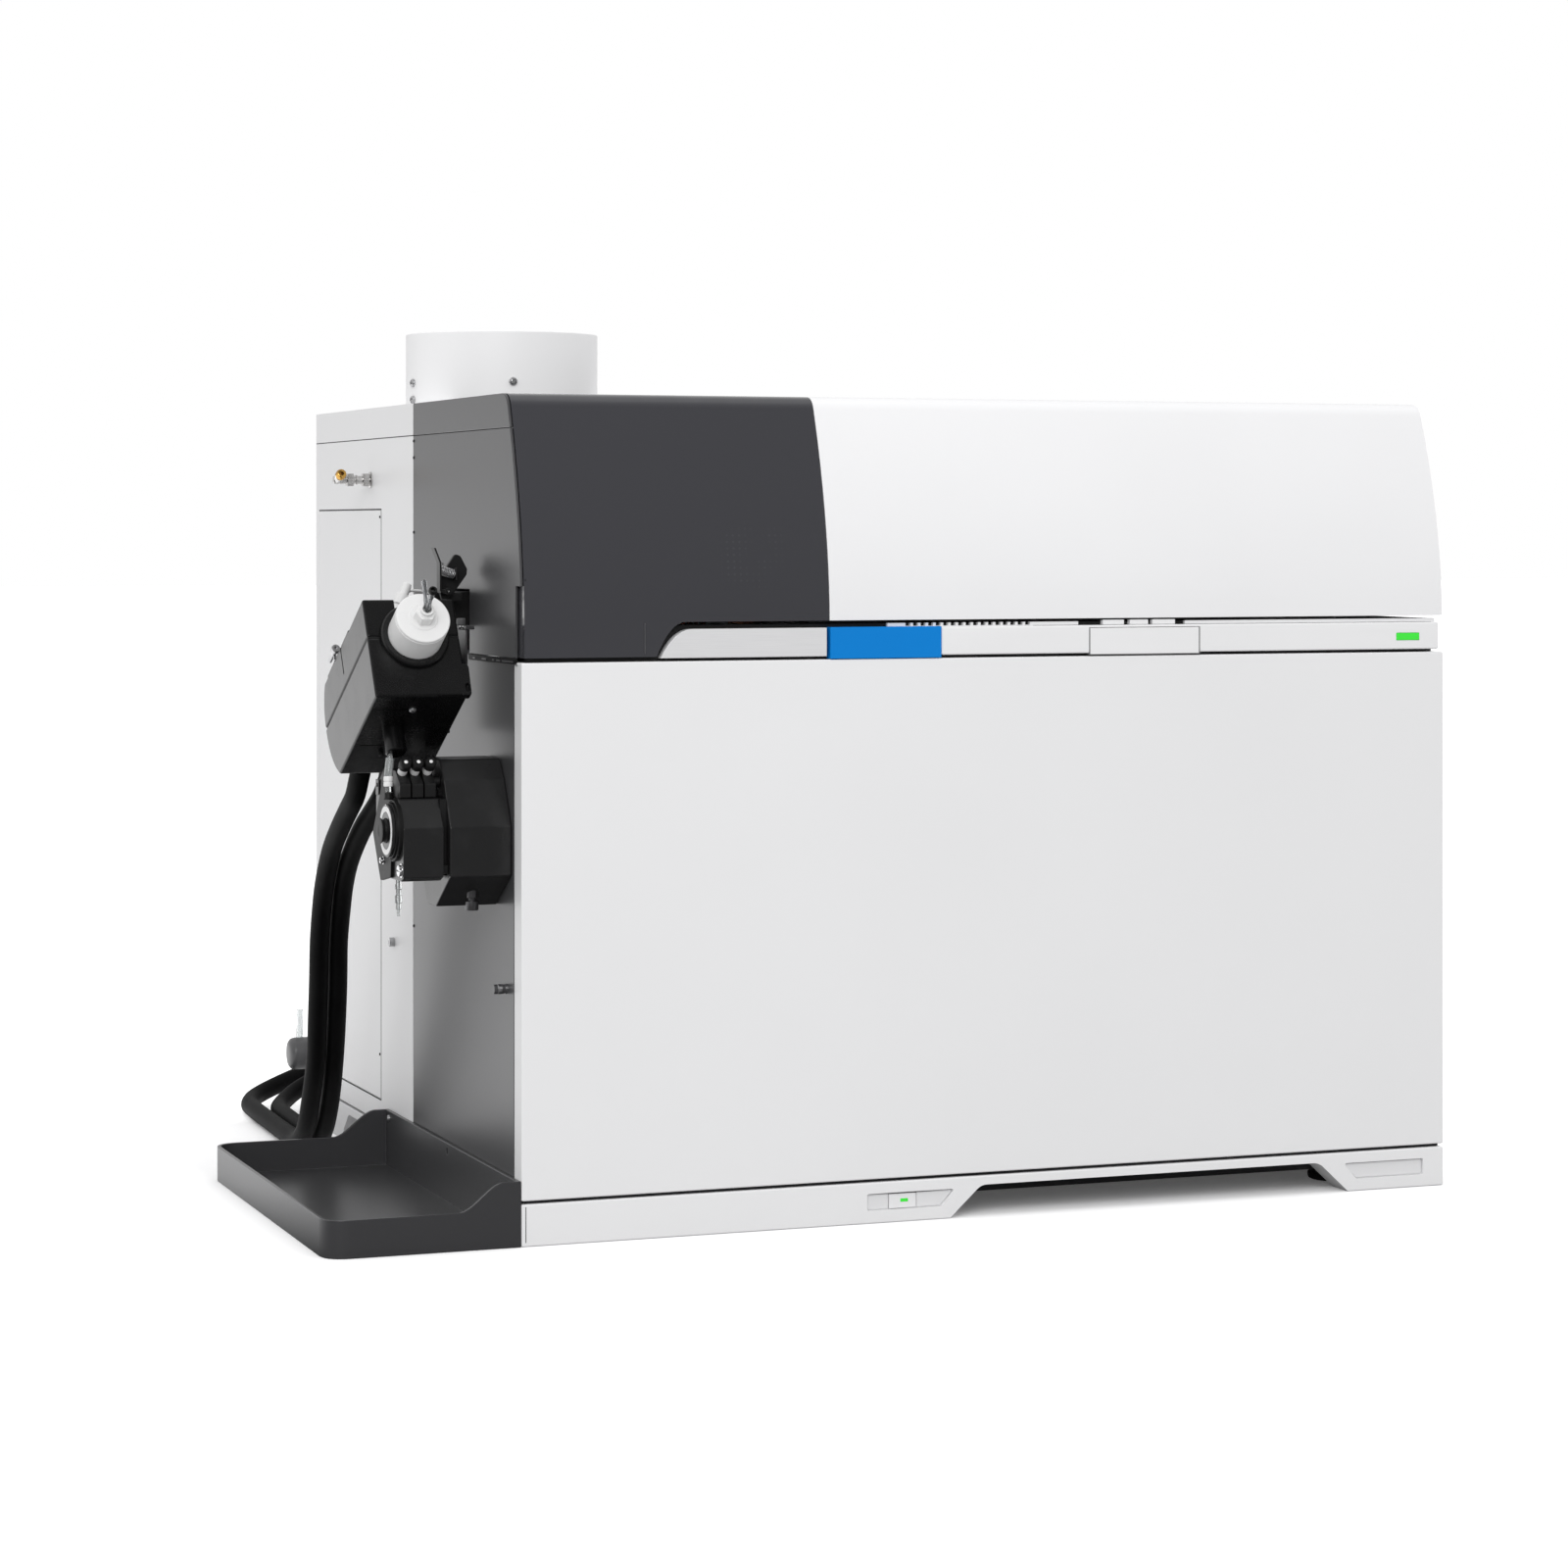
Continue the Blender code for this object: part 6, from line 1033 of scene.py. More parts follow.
# The analyser cover: a broad white moulding on the same hinge line, with its edges rolled in and
# a pale seam against the hood.
cover_white = moulding("cover_white", (0.80, 0.80, 0.81), 0.38, 1500, 0.45)
refined("white_cover", "analyser_cover", 0.0009, cover_white, "cover", 45, 3, 30)


# The hinge rod under the covers' rear edges: a plain ground steel rod in pressed brackets.
rod_steel = plated("ground_steel", (0.60, 0.60, 0.61), 0.25)
refined("ground_hinge_rod", "hinge_rod", 0.0002, rod_steel)


# The torch compartment: a folded and spot-welded sheet box on the centre bulkhead, open to the
# front, with a square port under the collar. The bulkhead is plain sheet as well.
BOX_STEEL = (0.58, 0.58, 0.59)
box_steel = sheet_steel("bright_sheet", BOX_STEEL, 0.36, "Y")
refined("torch_compartment", "torch_box", 0.0004, box_steel)
refined("bulkhead_sheet", "centre_bulkhead", 0.0006, box_steel)
COMPARTMENT_X = (0.024, 0.2297)
COMPARTMENT_Z = (0.412, 0.564)
spot_places = [((x, y, COMPARTMENT_Z[1]), (0, 0, 1))
               for x in (COMPARTMENT_X[0] + 0.012, COMPARTMENT_X[1] - 0.012)
               for y in (0.080, 0.125, 0.170, 0.215, 0.260, 0.405)]
spot_places += [((COMPARTMENT_X[0], y, z), LEFT) for y in (0.080, 0.404)
                for z in (0.430, 0.490, 0.550)]
screws("compartment_screws", 0.0024, spot_places, 4)


# The plasma torch: a quartz tube in its clamp, with two finer tubes inside it, lying in the work
# coil. The work coil is three turns of copper tube with its ends on brass posts.
AXIS_Y = 0.165
AXIS_Z = 0.440
TORCH_X = (0.024, 0.196)
TORCH_STEPS = 48
quartz = clear_finish("quartz", (0.90, 0.93, 0.94), 1.46, 0.10)
x0, x1 = TORCH_X
torch_profile = [(0, x0), (0.0050, x0), (0.0060, x0 + 0.0008), (0.0060, x0 + 0.015),
                 (0.0085, x0 + 0.0165), (0.0098, x0 + 0.0190), (0.0100, x0 + 0.0220),
                 (0.0100, x1 - 0.0006), (0.0095, x1), (0.0090, x1 - 0.0004), (0.0090, x0 + 0.036),
                 (0.0072, x0 + 0.034), (0.0072, x1 - 0.016), (0.0064, x1 - 0.016),
                 (0.0064, x0 + 0.036), (0.0022, x0 + 0.036), (0.0014, x1 - 0.018),
                 (0, x1 - 0.018)]
set_in("quartz_torch", spun(torch_profile, "X", (0, AXIS_Y, AXIS_Z), TORCH_STEPS), quartz,
       "torch")
COPPER = (0.70, 0.30, 0.165)
copper = plated("work_copper", COPPER, 0.28)
COIL_X = (0.172, 0.189)
COIL_TURNS = 3
COIL_RADIUS = 0.0145
COIL_TUBE = 0.0016
COIL_STEPS = 48
FLOOR_Z = COMPARTMENT_Z[0] + 0.0023


def wound(points, radius, sides):
    """A round tube along close points, with its ends closed."""
    shape = bmesh.new()
    rings = []
    side = None
    for index, point in enumerate(points):
        here = Vector(point)
        before = Vector(points[max(index - 1, 0)])
        after = Vector(points[min(index + 1, len(points) - 1)])
        way = (after - before).normalized()
        side = way.orthogonal().normalized() if side is None else side
        side = (side - way * side.dot(way)).normalized()
        other = way.cross(side)
        rings.append([shape.verts.new(here + radius * (math.cos(turn) * side
                                                       + math.sin(turn) * other))
                      for turn in [math.tau * step / sides for step in range(sides)]])
    for near, far in zip(rings, rings[1:]):
        for step in range(sides):
            following = (step + 1) % sides
            shape.faces.new((near[step], near[following], far[following], far[step]))
    shape.faces.new(rings[0])
    shape.faces.new(rings[-1])
    bmesh.ops.recalc_face_normals(shape, faces=shape.faces)
    return shape


coil_points = [(COIL_X[0], AXIS_Y, FLOOR_Z), (COIL_X[0], AXIS_Y, FLOOR_Z + 0.006)]
for step in range(COIL_TURNS * COIL_STEPS + 1):
    turn = math.tau * step / COIL_STEPS
    coil_points.append((COIL_X[0] + (COIL_X[1] - COIL_X[0]) * step / (COIL_TURNS * COIL_STEPS),
                        AXIS_Y + COIL_RADIUS * math.sin(turn),
                        AXIS_Z - COIL_RADIUS * math.cos(turn)))
coil_points += [(COIL_X[1], AXIS_Y, FLOOR_Z + 0.006), (COIL_X[1], AXIS_Y, FLOOR_Z)]
posts = [spun([(0, FLOOR_Z - 0.0002), (0.0036, FLOOR_Z - 0.0002), (0.0036, FLOOR_Z + 0.0040),
               (0.0030, FLOOR_Z + 0.0046), (0, FLOOR_Z + 0.0046)], "Z", (x, AXIS_Y, 0), 6)
         for x in COIL_X]
set_in("copper_work_coil", gathered(wound(coil_points, COIL_TUBE, 16), *posts), copper,
       "load_coil")


# The sampler cone: turned copper with a nickel-bright tip, held to the bulkhead by a ring of
# small screws.
CONE_X = 0.2297
CONE_RADIUS = 0.032
cone_profile = [(0, CONE_X), (CONE_RADIUS, CONE_X), (CONE_RADIUS, CONE_X - 0.0072),
                (CONE_RADIUS - 0.0008, CONE_X - 0.0080), (0.0250, CONE_X - 0.0080),
                (0.0244, CONE_X - 0.0074), (0.0170, CONE_X - 0.0074), (0.0160, CONE_X - 0.0082),
                (0.0036, CONE_X - 0.0212), (0.0030, CONE_X - 0.0219), (0.0006, CONE_X - 0.0220),
                (0.0004, CONE_X - 0.0205), (0, CONE_X - 0.0205)]
set_in("turned_sampler_cone", spun(cone_profile, "X", (0, AXIS_Y, AXIS_Z), 96), copper,
       "sampler_cone")
screws("cone_screws", 0.0017, [((CONE_X - 0.0079, AXIS_Y + 0.0284 * math.cos(turn),
                                 AXIS_Z + 0.0284 * math.sin(turn)), LEFT)
                               for turn in [math.tau * (step + 0.5) / 6 for step in range(6)]], 5)


# The vacuum chamber: a block of machined aluminium with a bolted lid, over the turbo pump. What
# is in it is shown as clean machined shapes: ion lenses, rods and detector.
ALUMINIUM = (0.62, 0.62, 0.63)
CHAMBER_X = (0.2343, 0.690)
CHAMBER_Y = (0.095, 0.235)
CHAMBER_Z = (0.375, 0.505)
LID_INSET = 0.006
LID_THICKNESS = 0.006


def machined(name, colour, roughness, along, pitch=900):
    """Milled metal: fine tool lines one way, a trace of oil and handling."""
    return textured(name, colour, ((pitch, 2.0, one_way(along, 0.03)), (30, 3.0)), (0.4, 0.8),
                    0.88, (0.14, 0.06, 0.09), (0.00003, 0.6), metallic=1.0, roughness=roughness)


milled = machined("milled_aluminium", ALUMINIUM, 0.34, "X")
refined("milled_chamber", "vacuum_chamber", 0, milled)
lid_plan = [(low + LID_INSET, high - LID_INSET) for low, high in (CHAMBER_X, CHAMBER_Y)]
lid = eased(drawn(rounded(rectangle(*lid_plan), 0.010), "Z", CHAMBER_Z[1] - 0.0002,
                  CHAMBER_Z[1] + LID_THICKNESS), 0.0008)
set_in("chamber_lid", lid, milled)
lid_places = [((CHAMBER_X[0] + 0.016 + step * 0.0424, y, CHAMBER_Z[1] + LID_THICKNESS), (0, 0, 1))
              for step in range(11) for y in (CHAMBER_Y[0] + 0.015, CHAMBER_Y[1] - 0.015)]
screws("chamber_lid_bolts", 0.0034, lid_places, 6)
for name, node in (("lens_stack", "ion_lenses"), ("rod_set", "quadrupole_rods"),
                   ("detector_block", "detector")):
    refined(name, node, 0, machined(name + "_steel", (0.63, 0.63, 0.64), 0.24, "X"))


# The turbo pump under the chamber: a turned and anodised body with cooling grooves round it, a
# flange bolted to the chamber, and a foot on the base pan.
PUMP_X = 0.480
PUMP_STEPS = 96
PAN_TOP = 0.0318
body_low, body_high = 0.090, 0.3467
turbo = [(0, PAN_TOP), (0.0340, PAN_TOP), (0.0340, 0.0880), (0.0355, body_low),
         (0.0630, body_low), (0.0650, body_low + 0.002)]
groove = (body_high - body_low - 0.030) / 9
for index in range(9):
    low = body_low + 0.012 + index * groove
    turbo += [(0.0650, low), (0.0610, low + 0.0015), (0.0610, low + groove * 0.4),
              (0.0650, low + groove * 0.4 + 0.0015)]
turbo += [(0.0650, body_high - 0.001), (0.0640, body_high), (0.0520, body_high), (0.0520, 0.3607),
          (0.0640, 0.3607), (0.0650, 0.3617), (0.0650, 0.3747), (0.0450, 0.3747),
          (0.0450, body_high), (0, body_high)]
set_in("turbo_pump_body", spun(turbo, "Z", (PUMP_X, AXIS_Y, 0), PUMP_STEPS), milled,
       "turbo_pump")


# The generator: a cast aluminium case with deep cooling ribs along its top.
GENERATOR_X = (0.020, 0.222)
GENERATOR_Y = (0.060, 0.400)
GENERATOR_Z = (0.032, 0.170)
RIB_COUNT = 15
RIB_WIDTH = 0.0044
RIB_HEIGHT = 0.0300
cast = machined("cast_aluminium", (0.50, 0.50, 0.51), 0.46, "Y", 400)
set_in("generator_case", eased(slab(GENERATOR_X, GENERATOR_Y, GENERATOR_Z), 0.0020), cast,
       "rf_generator")
rib_pitch = (GENERATOR_X[1] - GENERATOR_X[0] - RIB_WIDTH) / (RIB_COUNT - 1)
row("generator_ribs", eased(slab((0, RIB_WIDTH), (0, GENERATOR_Y[1] - GENERATOR_Y[0] - 0.004),
                                 (-0.001, RIB_HEIGHT)), 0.0007),
    RIB_COUNT, (GENERATOR_X[0], GENERATOR_Y[0] + 0.002, GENERATOR_Z[1]), (rib_pitch, 0, 0),
    cast)


# The side of the torch compartment: a black cheek in the hood's open end, the joint between the
# two dark skins with its packing strips, and the dark upper skin's two small dimples.
JOINT_Y = (0.0125, 0.1335)
JOINT_Z = (0.40460, 0.40835)
JOINT_FACE = (-0.0004, 0.0004)
JOINT_LIP_Z = (0.40380, 0.40430)
PACKING_Z = (0.4054, 0.4067)
PACKING_RUNS = ((0.0190, 0.0280), (0.0510, 0.0100), (0.0660, 0.0050), (0.0860, 0.0120),
                (0.1150, 0.0060))
DIMPLES = ((0.2040, 0.4730), (0.1935, 0.4680))
SEAL_FACE = (-0.0001, 0.0004)
JOINT_BLACK = (0.006, 0.006, 0.0062)
cheek_outline = mm("3.4 412.5, 30 412.5, 30 470, 13 470, 10 457, 7 464, 3.4 464")
joint_black = black_moulding("joint_black", JOINT_BLACK, 0.55, 0.3)
set_in("hood_cheek", eased(drawn(cheek_outline, "X", 0.0031, 0.0044), 0.0003), joint_black,
       body="hood")
set_in("skin_joint", slab(JOINT_FACE, JOINT_Y, JOINT_Z), joint_black)
set_in("skin_joint_lip", eased(slab((-0.0008, 0.0004), (JOINT_Y[0] - 0.003, JOINT_Y[1]),
                                    JOINT_LIP_Z), 0.0002), dark_coat)
marks = [slab((-0.0007, -0.0001), (y, y + length), PACKING_Z) for y, length in PACKING_RUNS]
set_in("skin_joint_packing", eased(gathered(*marks), 0.0002), dark_coat)
dimples = [spun(mm("0 -0.2, 1.1 -0.2, 0.9 0.2, 0 0.1"), "X", (0, y, z), 20)
           for y, z in DIMPLES]
set_in("skin_dimples", gathered(*dimples), joint_black)
door_y, door_z = (0.3842, 0.5893), (0.0488, 0.5148)
door_seal = [slab(SEAL_FACE, door_y, (door_z[1] - 0.0008, door_z[1] + 0.0002)),
             slab(SEAL_FACE, door_y, (door_z[0], door_z[0] + 0.0007)),
             slab(SEAL_FACE, (door_y[0], door_y[0] + 0.0012), door_z)]
set_in("access_door_seal", gathered(*door_seal), joint_black)
set_in("roof_cap_seam", slab(*mm("-0.1 0.4, 286.2 599, 570.1 570.8")), joint_black)
set_in("plinth_end_seam", slab(*mm("2.9 3.4, -0.1 0.4, 3 27.8")), joint_black)


# The spill tray: a moulded dark grey tray hooked to the cabinet's side. Its front and back walls
# sweep up to the high right wall, which has a keyhole and a screw that hold it.
TRAY_X = (-0.1395, -0.0003)
TRAY_Y = (0, 0.360)
TRAY_WALL = 0.003
TRAY_CORNER = 0.016
TRAY_LOW = 0.0265
TRAY_HIGH = 0.046
SWEEP_X = (-0.0455, -0.012)
KEYHOLE = (0.181, 0.0397)


def tray_plan(inset):
    """The tray's plan, smaller by an inset, with its two outer corners rounded."""
    plan = [(low + inset, high - inset) for low, high in (TRAY_X, TRAY_Y)]
    radius = (TRAY_CORNER - inset) * 1.2
    return rounded(rectangle(*plan), (radius, 0, 0, radius), 12)


sweep = []
for step in range(25):
    share = step / 24
    sweep.append((SWEEP_X[0] + (SWEEP_X[1] - SWEEP_X[0]) * share,
                  TRAY_LOW + (TRAY_HIGH - TRAY_LOW) * share * share * (3 - 2 * share)))
above = [(TRAY_X[0] - CUT_PAST, TRAY_LOW)] + sweep + [(SWEEP_X[1], TRAY_HIGH + CUT_PAST),
                                                       (TRAY_X[0] - CUT_PAST, TRAY_HIGH + CUT_PAST)]
keyhole = rounded(rectangle(*[(middle - half, middle + half) for middle, half
                              in zip(KEYHOLE, (0.0012, 0.0025))]), 0.0011)
tray = carved(drawn(tray_plan(0), "Z", 0, TRAY_HIGH),
              drawn(above, "Y", -CUT_PAST, TRAY_Y[1] + CUT_PAST),
              drawn(tray_plan(TRAY_WALL), "Z", TRAY_WALL, TRAY_HIGH + CUT_PAST),
              drawn(keyhole, "X", TRAY_X[1] - CUT_PAST, TRAY_X[1] + CUT_PAST))
TRAY_GREY = (0.036, 0.036, 0.039)
tray_coat = powder_coat("tray_grey", TRAY_GREY, 0.33, 0.85)
set_in("grey_spill_tray", eased(tray, 0.0006, 40), tray_coat, "spill_tray")
set_in("keyhole_shade", slab((TRAY_X[1] - 0.0012, TRAY_X[1] - 0.0006),
                             *[(middle - half, middle + half) for middle, half
                               in zip(KEYHOLE, (0.002, 0.003))]), joint_black)
screws("tray_screw", 0.0026, [((TRAY_X[1] - TRAY_WALL + 0.0001, 0.348, 0.0404), LEFT)], 7)


# The cooled box of the spray chamber: two black mouldings that part on a seam, slung at thirty
# degrees. The upper one steps up behind a slot, and a latch finger stands at its lower corner.
BOX_TURN = math.radians(-30)
BOX_ORIGIN = (0, 0.0153, 0.3835)
BOX_X = (-0.100, -0.034)
BOX_LENGTH = 0.127
BOX_HEIGHT = 0.0768
BOX_BULGE = 0.013
BOX_FLOOR = 0.119
BOX_SEAM = 0.0465
SEAM_GAP = 0.0005
BORE_X = -0.0665
BORE_RADIUS = 0.0203
BORE_DEPTH = 0.112
BOX_BLACK = (0.0026, 0.0026, 0.0028)
BOX_EDGE = 0.0016
SPOUT = (-0.076, 0.0518)
BOX_PLACE = Matrix.Translation(BOX_ORIGIN) @ Matrix.Rotation(BOX_TURN, 4, "X")


def box_placed(shape):
    """Turns a shape drawn in the box's own measures to its place on the cabinet."""
    shape.transform(BOX_PLACE)
    return shape


def swept(start, control, end, steps):
    """Points on a curve after its start, up to its end."""
    start, control, end = Vector(start), Vector(control), Vector(end)
    return [tuple((1 - t) ** 2 * start + 2 * t * (1 - t) * control + t * t * end)
            for t in [step / steps for step in range(1, steps + 1)]]


def round_bar(radius, low, high, axis, centre, steps):
    return spun([(0, low), (radius, low), (radius, high), (0, high)], axis, centre, steps)


box_black = black_moulding("box_black", BOX_BLACK, 0.26, 0.42)
bulge = (BOX_LENGTH + BOX_BULGE, BOX_SEAM)
below_seam = BOX_SEAM - SEAM_GAP
above_seam = BOX_SEAM + SEAM_GAP
lower_side = [(0, 0), (0, below_seam), (bulge[0], below_seam)]
lower_side += swept((bulge[0], below_seam), (bulge[0], BOX_SEAM * 0.4), (BOX_FLOOR, 0), 16)
upper_side = [(0, above_seam), (0, BOX_HEIGHT), (BOX_LENGTH, BOX_HEIGHT)]
upper_side += swept(upper_side[-1], (bulge[0], BOX_SEAM + (BOX_HEIGHT - BOX_SEAM) * 0.6),
                    (bulge[0], above_seam), 12)
axis_point = (BORE_X, 0, BOX_SEAM)


def bore_cutter():
    return round_bar(BORE_RADIUS, -CUT_PAST, BORE_DEPTH, "Y", axis_point, 96)


lower = carved(eased(drawn(lower_side, "X", *BOX_X), BOX_EDGE, 40, 3), bore_cutter(),
               slab((-0.0949, -0.0731), (0.0195, 0.0207), (-CUT_PAST, 0.0012)),
               slab((-0.0949, -0.0740), (0.0735, 0.0747), (-CUT_PAST, 0.0012)),
               slab((-0.0555, -0.0551), (-CUT_PAST, 0.0006), (-CUT_PAST, 0.0046)),
               slab((-0.0555, -0.0300), (0.0002, 0.0012), (-CUT_PAST, 0.0006)))
spout = spun(mm("0 -18, 6.7 -18, 7.5 -17.2, 7.5 0.5, 0 0.5"), "Z", (*SPOUT, 0), 48)
nub = spun(mm("0 -3, 1.5 -3, 1.8 -2.4, 1.8 0.3, 0 0.3"), "Z", (-0.0770, 0.0860, 0), 24)
set_in("box_lower_moulding", box_placed(gathered(lower, spout, nub)), box_black,
       "chamber_lower_shell")
upper = carved(eased(drawn(upper_side, "X", *BOX_X), BOX_EDGE, 40, 3), bore_cutter(),
               slab((BOX_X[0] - CUT_PAST, BOX_X[0] + 0.0010), (0.0708, 0.0728),
                    (0.0557, BOX_HEIGHT + CUT_PAST)),
               slab((-0.0775, -0.0560), (-CUT_PAST, 0.0300),
                    (BOX_HEIGHT - 0.0105, BOX_HEIGHT + CUT_PAST)),
               slab((BOX_X[0] - CUT_PAST, BOX_X[1] + CUT_PAST), (0.0708, 0.0728),
                    (BOX_HEIGHT - 0.0010, BOX_HEIGHT + CUT_PAST)))
raised = [eased(slab((BOX_X[0] + 0.0002, BOX_X[1] - 0.0002), span, (0.0700, BOX_HEIGHT + 0.0010)),
                0.0004, 40, 3) for span in ((0.0470, 0.0708), (0.0728, 0.1160))]
set_in("box_upper_moulding", box_placed(gathered(upper, *raised)), box_black,
       "chamber_upper_shell")
seam_core = carved(slab((BOX_X[0] + 0.0004, BOX_X[1] - 0.0004), (0.0006, 0.1180),
                        (BOX_SEAM - 0.0008, BOX_SEAM + 0.0008)), bore_cutter())
set_in("box_seam_core", box_placed(seam_core), joint_black)
finger = carved(drawn(rounded(mm("-38 0.3, -31.2 0.3, -30.4 24, -35.2 25.5, -38 15"),
                              (0, 0.0020, 0.0030, 0.0030, 0)), "Y", -0.0002, 0.0060),
                drawn(rounded(mm("-35.2 3, -32.2 3, -31.8 10, -35.2 8.5"), 0.0010), "Y", -CUT_PAST,
                      0.0030))
set_in("latch_finger", box_placed(eased(finger, 0.0005)), box_black)
box_screw = BOX_PLACE @ Vector((-0.0691, 0.0203, -0.0001))
down = BOX_PLACE.to_3x3() @ Vector((0, 0, -1))
screws("box_floor_screw", 0.0025, [(tuple(box_screw), tuple(down))], 8)
eye_screw = gathered(spun(mm("0 87, 1.4 87, 1.4 103, 0.9 103.6, 0 103.6"), "Y",
                          (-0.1000, 0, 0.0828), 20),
                     spun(mm("1.3 82.8, 2.8 82.8, 3.2 83.4, 3.2 86.6, 2.8 87.2, 0 87.2, 0 84.6, "
                             "1.3 84.6"), "Y", (-0.1000, 0, 0.0828), 32),
                     eased(slab((-0.1008, -0.0985), (0.0895, 0.0915),
                                (BOX_HEIGHT - 0.0004, 0.0836)), 0.0004))
set_in("box_clamp_screw", box_placed(eye_screw), zinc)


# The end of the spray chamber: a black bezel screwed to the box, a white end cap in it, and the
# nebulizer's white hex nut and socket. Inside the box is the glass chamber itself.
RING_RADIUS = 0.0245
RING_HEIGHT = 0.0042
CAP_RADIUS = 0.0194
CAP_LENGTH = 0.0280
NUT_RADIUS = 0.0075
NUT_LENGTH = 0.0090
SOCKET_RADIUS = 0.0048
SOCKET_LENGTH = 0.0035
CAP_WHITE = (0.716, 0.716, 0.716)
ROUND_STEPS = 128


def wheel(centre, count, reach):
    """Places round a centre; reach gives how far out each step lies."""
    return [(centre[0] + reach(step) * math.cos(math.tau * step / count),
             centre[1] + reach(step) * math.sin(math.tau * step / count))
            for step in range(count)]


bezel = spun([(CAP_RADIUS + 0.0003, -0.0003), (RING_RADIUS, -0.0003),
              (RING_RADIUS, -RING_HEIGHT * 0.6), (RING_RADIUS - 0.0006, -RING_HEIGHT * 0.85),
              (RING_RADIUS - 0.0014, -RING_HEIGHT), (CAP_RADIUS + 0.0009, -RING_HEIGHT),
              (CAP_RADIUS + 0.0003, -RING_HEIGHT + 0.0006)], "Y", axis_point, ROUND_STEPS)
bezel_black = black_moulding("bezel_black", (0.007, 0.007, 0.0072), 0.28)
set_in("black_bezel", box_placed(bezel), bezel_black, "chamber_ring")
face = -CAP_LENGTH
cap_profile = [(0, -0.0003), (CAP_RADIUS, -0.0003), (CAP_RADIUS, face + 0.0030),
               (CAP_RADIUS - 0.0007, face + 0.0027), (CAP_RADIUS - 0.0007, face + 0.0022),
               (CAP_RADIUS - 0.0002, face + 0.0019), (CAP_RADIUS - 0.0002, face + 0.0008),
               (CAP_RADIUS - 0.0005, face + 0.0003), (CAP_RADIUS - 0.0012, face),
               (0.0105, face), (0.0098, face - 0.0006), (0, face - 0.0006)]
nut = drawn(wheel((BORE_X, BOX_SEAM), 6, lambda step: NUT_RADIUS), "Y", face - NUT_LENGTH, face)
nut = eased(nut, 0.0007, 40, 3)
nose = face - NUT_LENGTH
socket = spun([(0, nose + 0.001), (0.0056, nose + 0.001), (0.0056, nose - 0.0003),
               (SOCKET_RADIUS, nose - 0.0008), (SOCKET_RADIUS, nose - SOCKET_LENGTH + 0.0005),
               (SOCKET_RADIUS - 0.0005, nose - SOCKET_LENGTH), (0.0034, nose - SOCKET_LENGTH),
               (0.0030, nose - SOCKET_LENGTH + 0.0005), (0.0030, nose - 0.0004),
               (0, nose - 0.0004)], "Y", axis_point, 64)
set_in("white_end_cap", box_placed(spun(cap_profile, "Y", axis_point, ROUND_STEPS)),
       moulding("cap_white", CAP_WHITE, 0.45, 1400, 0.35), "end_cap")
nut_white = Finish("milky_nut", (0.74, 0.74, 0.735), roughness=0.30, specular_ior_level=0.5,
                   coat_roughness=0.2)
milk = nut_white.noise(420, 2.0)
nut_white.wire("Base Color", nut_white.blend(milk.clipped(0.3, 0.8), (0.76, 0.76, 0.755),
                                             (0.68, 0.68, 0.68)))
nut_white.wire("Coat Weight", milk * 0.3 + 0.2)
set_in("nebulizer_nut", box_placed(gathered(nut, socket)), nut_white.material)
refined("glass_spray_chamber", "spray_chamber", 0, quartz)


# The nebulizer: blown glass. Its gas arm rises from the socket beside its liquid tube, which
# ends in a black seal. A thin gas line and its pale fitting show behind the cap.
NEB_ROOT = (-0.0662, 0.0052, 0.4430)
ARM_TIP = (-0.0694, 0.0030, 0.4640)
LIQUID_TIP = (-0.0668, -0.0110, 0.4560)


def between(start, end, profile, steps=32):
    """A turned shape between two places; its profile is radius in mm, percent of the way."""
    start, end = Vector(start), Vector(end)
    way = end - start
    shape = spun([(radius, share * 10 * way.length) for radius, share in mm(profile)], "Z",
                 (0, 0, 0), steps)
    shape.transform(Matrix.Translation(start) @ way.to_track_quat("Z", "Y").to_matrix().to_4x4())
    return shape


arm = between(NEB_ROOT, ARM_TIP, "0 0, 1.6 0, 1.8 12, 1.7 30, 1.3 45, 1.4 52, 1.9 62, 2.1 75, "
              "2.1 97, 1.9 100, 1.4 100, 1.2 97, 1.1 60, 0.6 50, 0.6 10, 0 8")
liquid = between(NEB_ROOT, LIQUID_TIP, "0 0, 1.8 0, 1.9 30, 1.5 50, 1.6 62, 2 72, 1.9 98, "
                 "1.6 100, 1.1 100, 0.9 97, 0.8 10, 0 8")
blown = clear_finish("blown_glass", (0.52, 0.53, 0.54), 1.47, 0.05)
set_in("glass_nebulizer", gathered(arm, liquid), blown, "nebulizer")
seal = between(NEB_ROOT, LIQUID_TIP, "1.7 97, 2.7 97, 2.9 100, 2.9 110, 2.6 114, 1.7 114, 1.3 108")
seal_black = black_moulding("seal_black", (0.005, 0.005, 0.005), 0.5, 0.3)
set_in("nebulizer_seal", seal, seal_black)
GAS_LINE = mm("-60 109 448.4, -56 109.6 452, -50 110 454.6, -41.9 111 454.6, -34 114 452, "
              "-30 118 447")
gas_points = smooth_route([GAS_LINE[0], *GAS_LINE, GAS_LINE[-1]], 0.0012)[1:-1]
pale_fitting = moulding("pale_fitting", (0.70, 0.70, 0.70), 0.30, 900, 0.5)
fitting = between((-0.0641, 0.1000, 0.4375), (-0.0534, 0.1050, 0.4597),
                  "0 0, 3.6 0, 3.6 30, 5 34, 5.2 60, 4.6 66, 3.4 68, 3.4 92, 2.8 100, 0 100")
set_in("chamber_gas_fitting", gathered(fitting, wound(gas_points, 0.0009, 12)), pale_fitting)


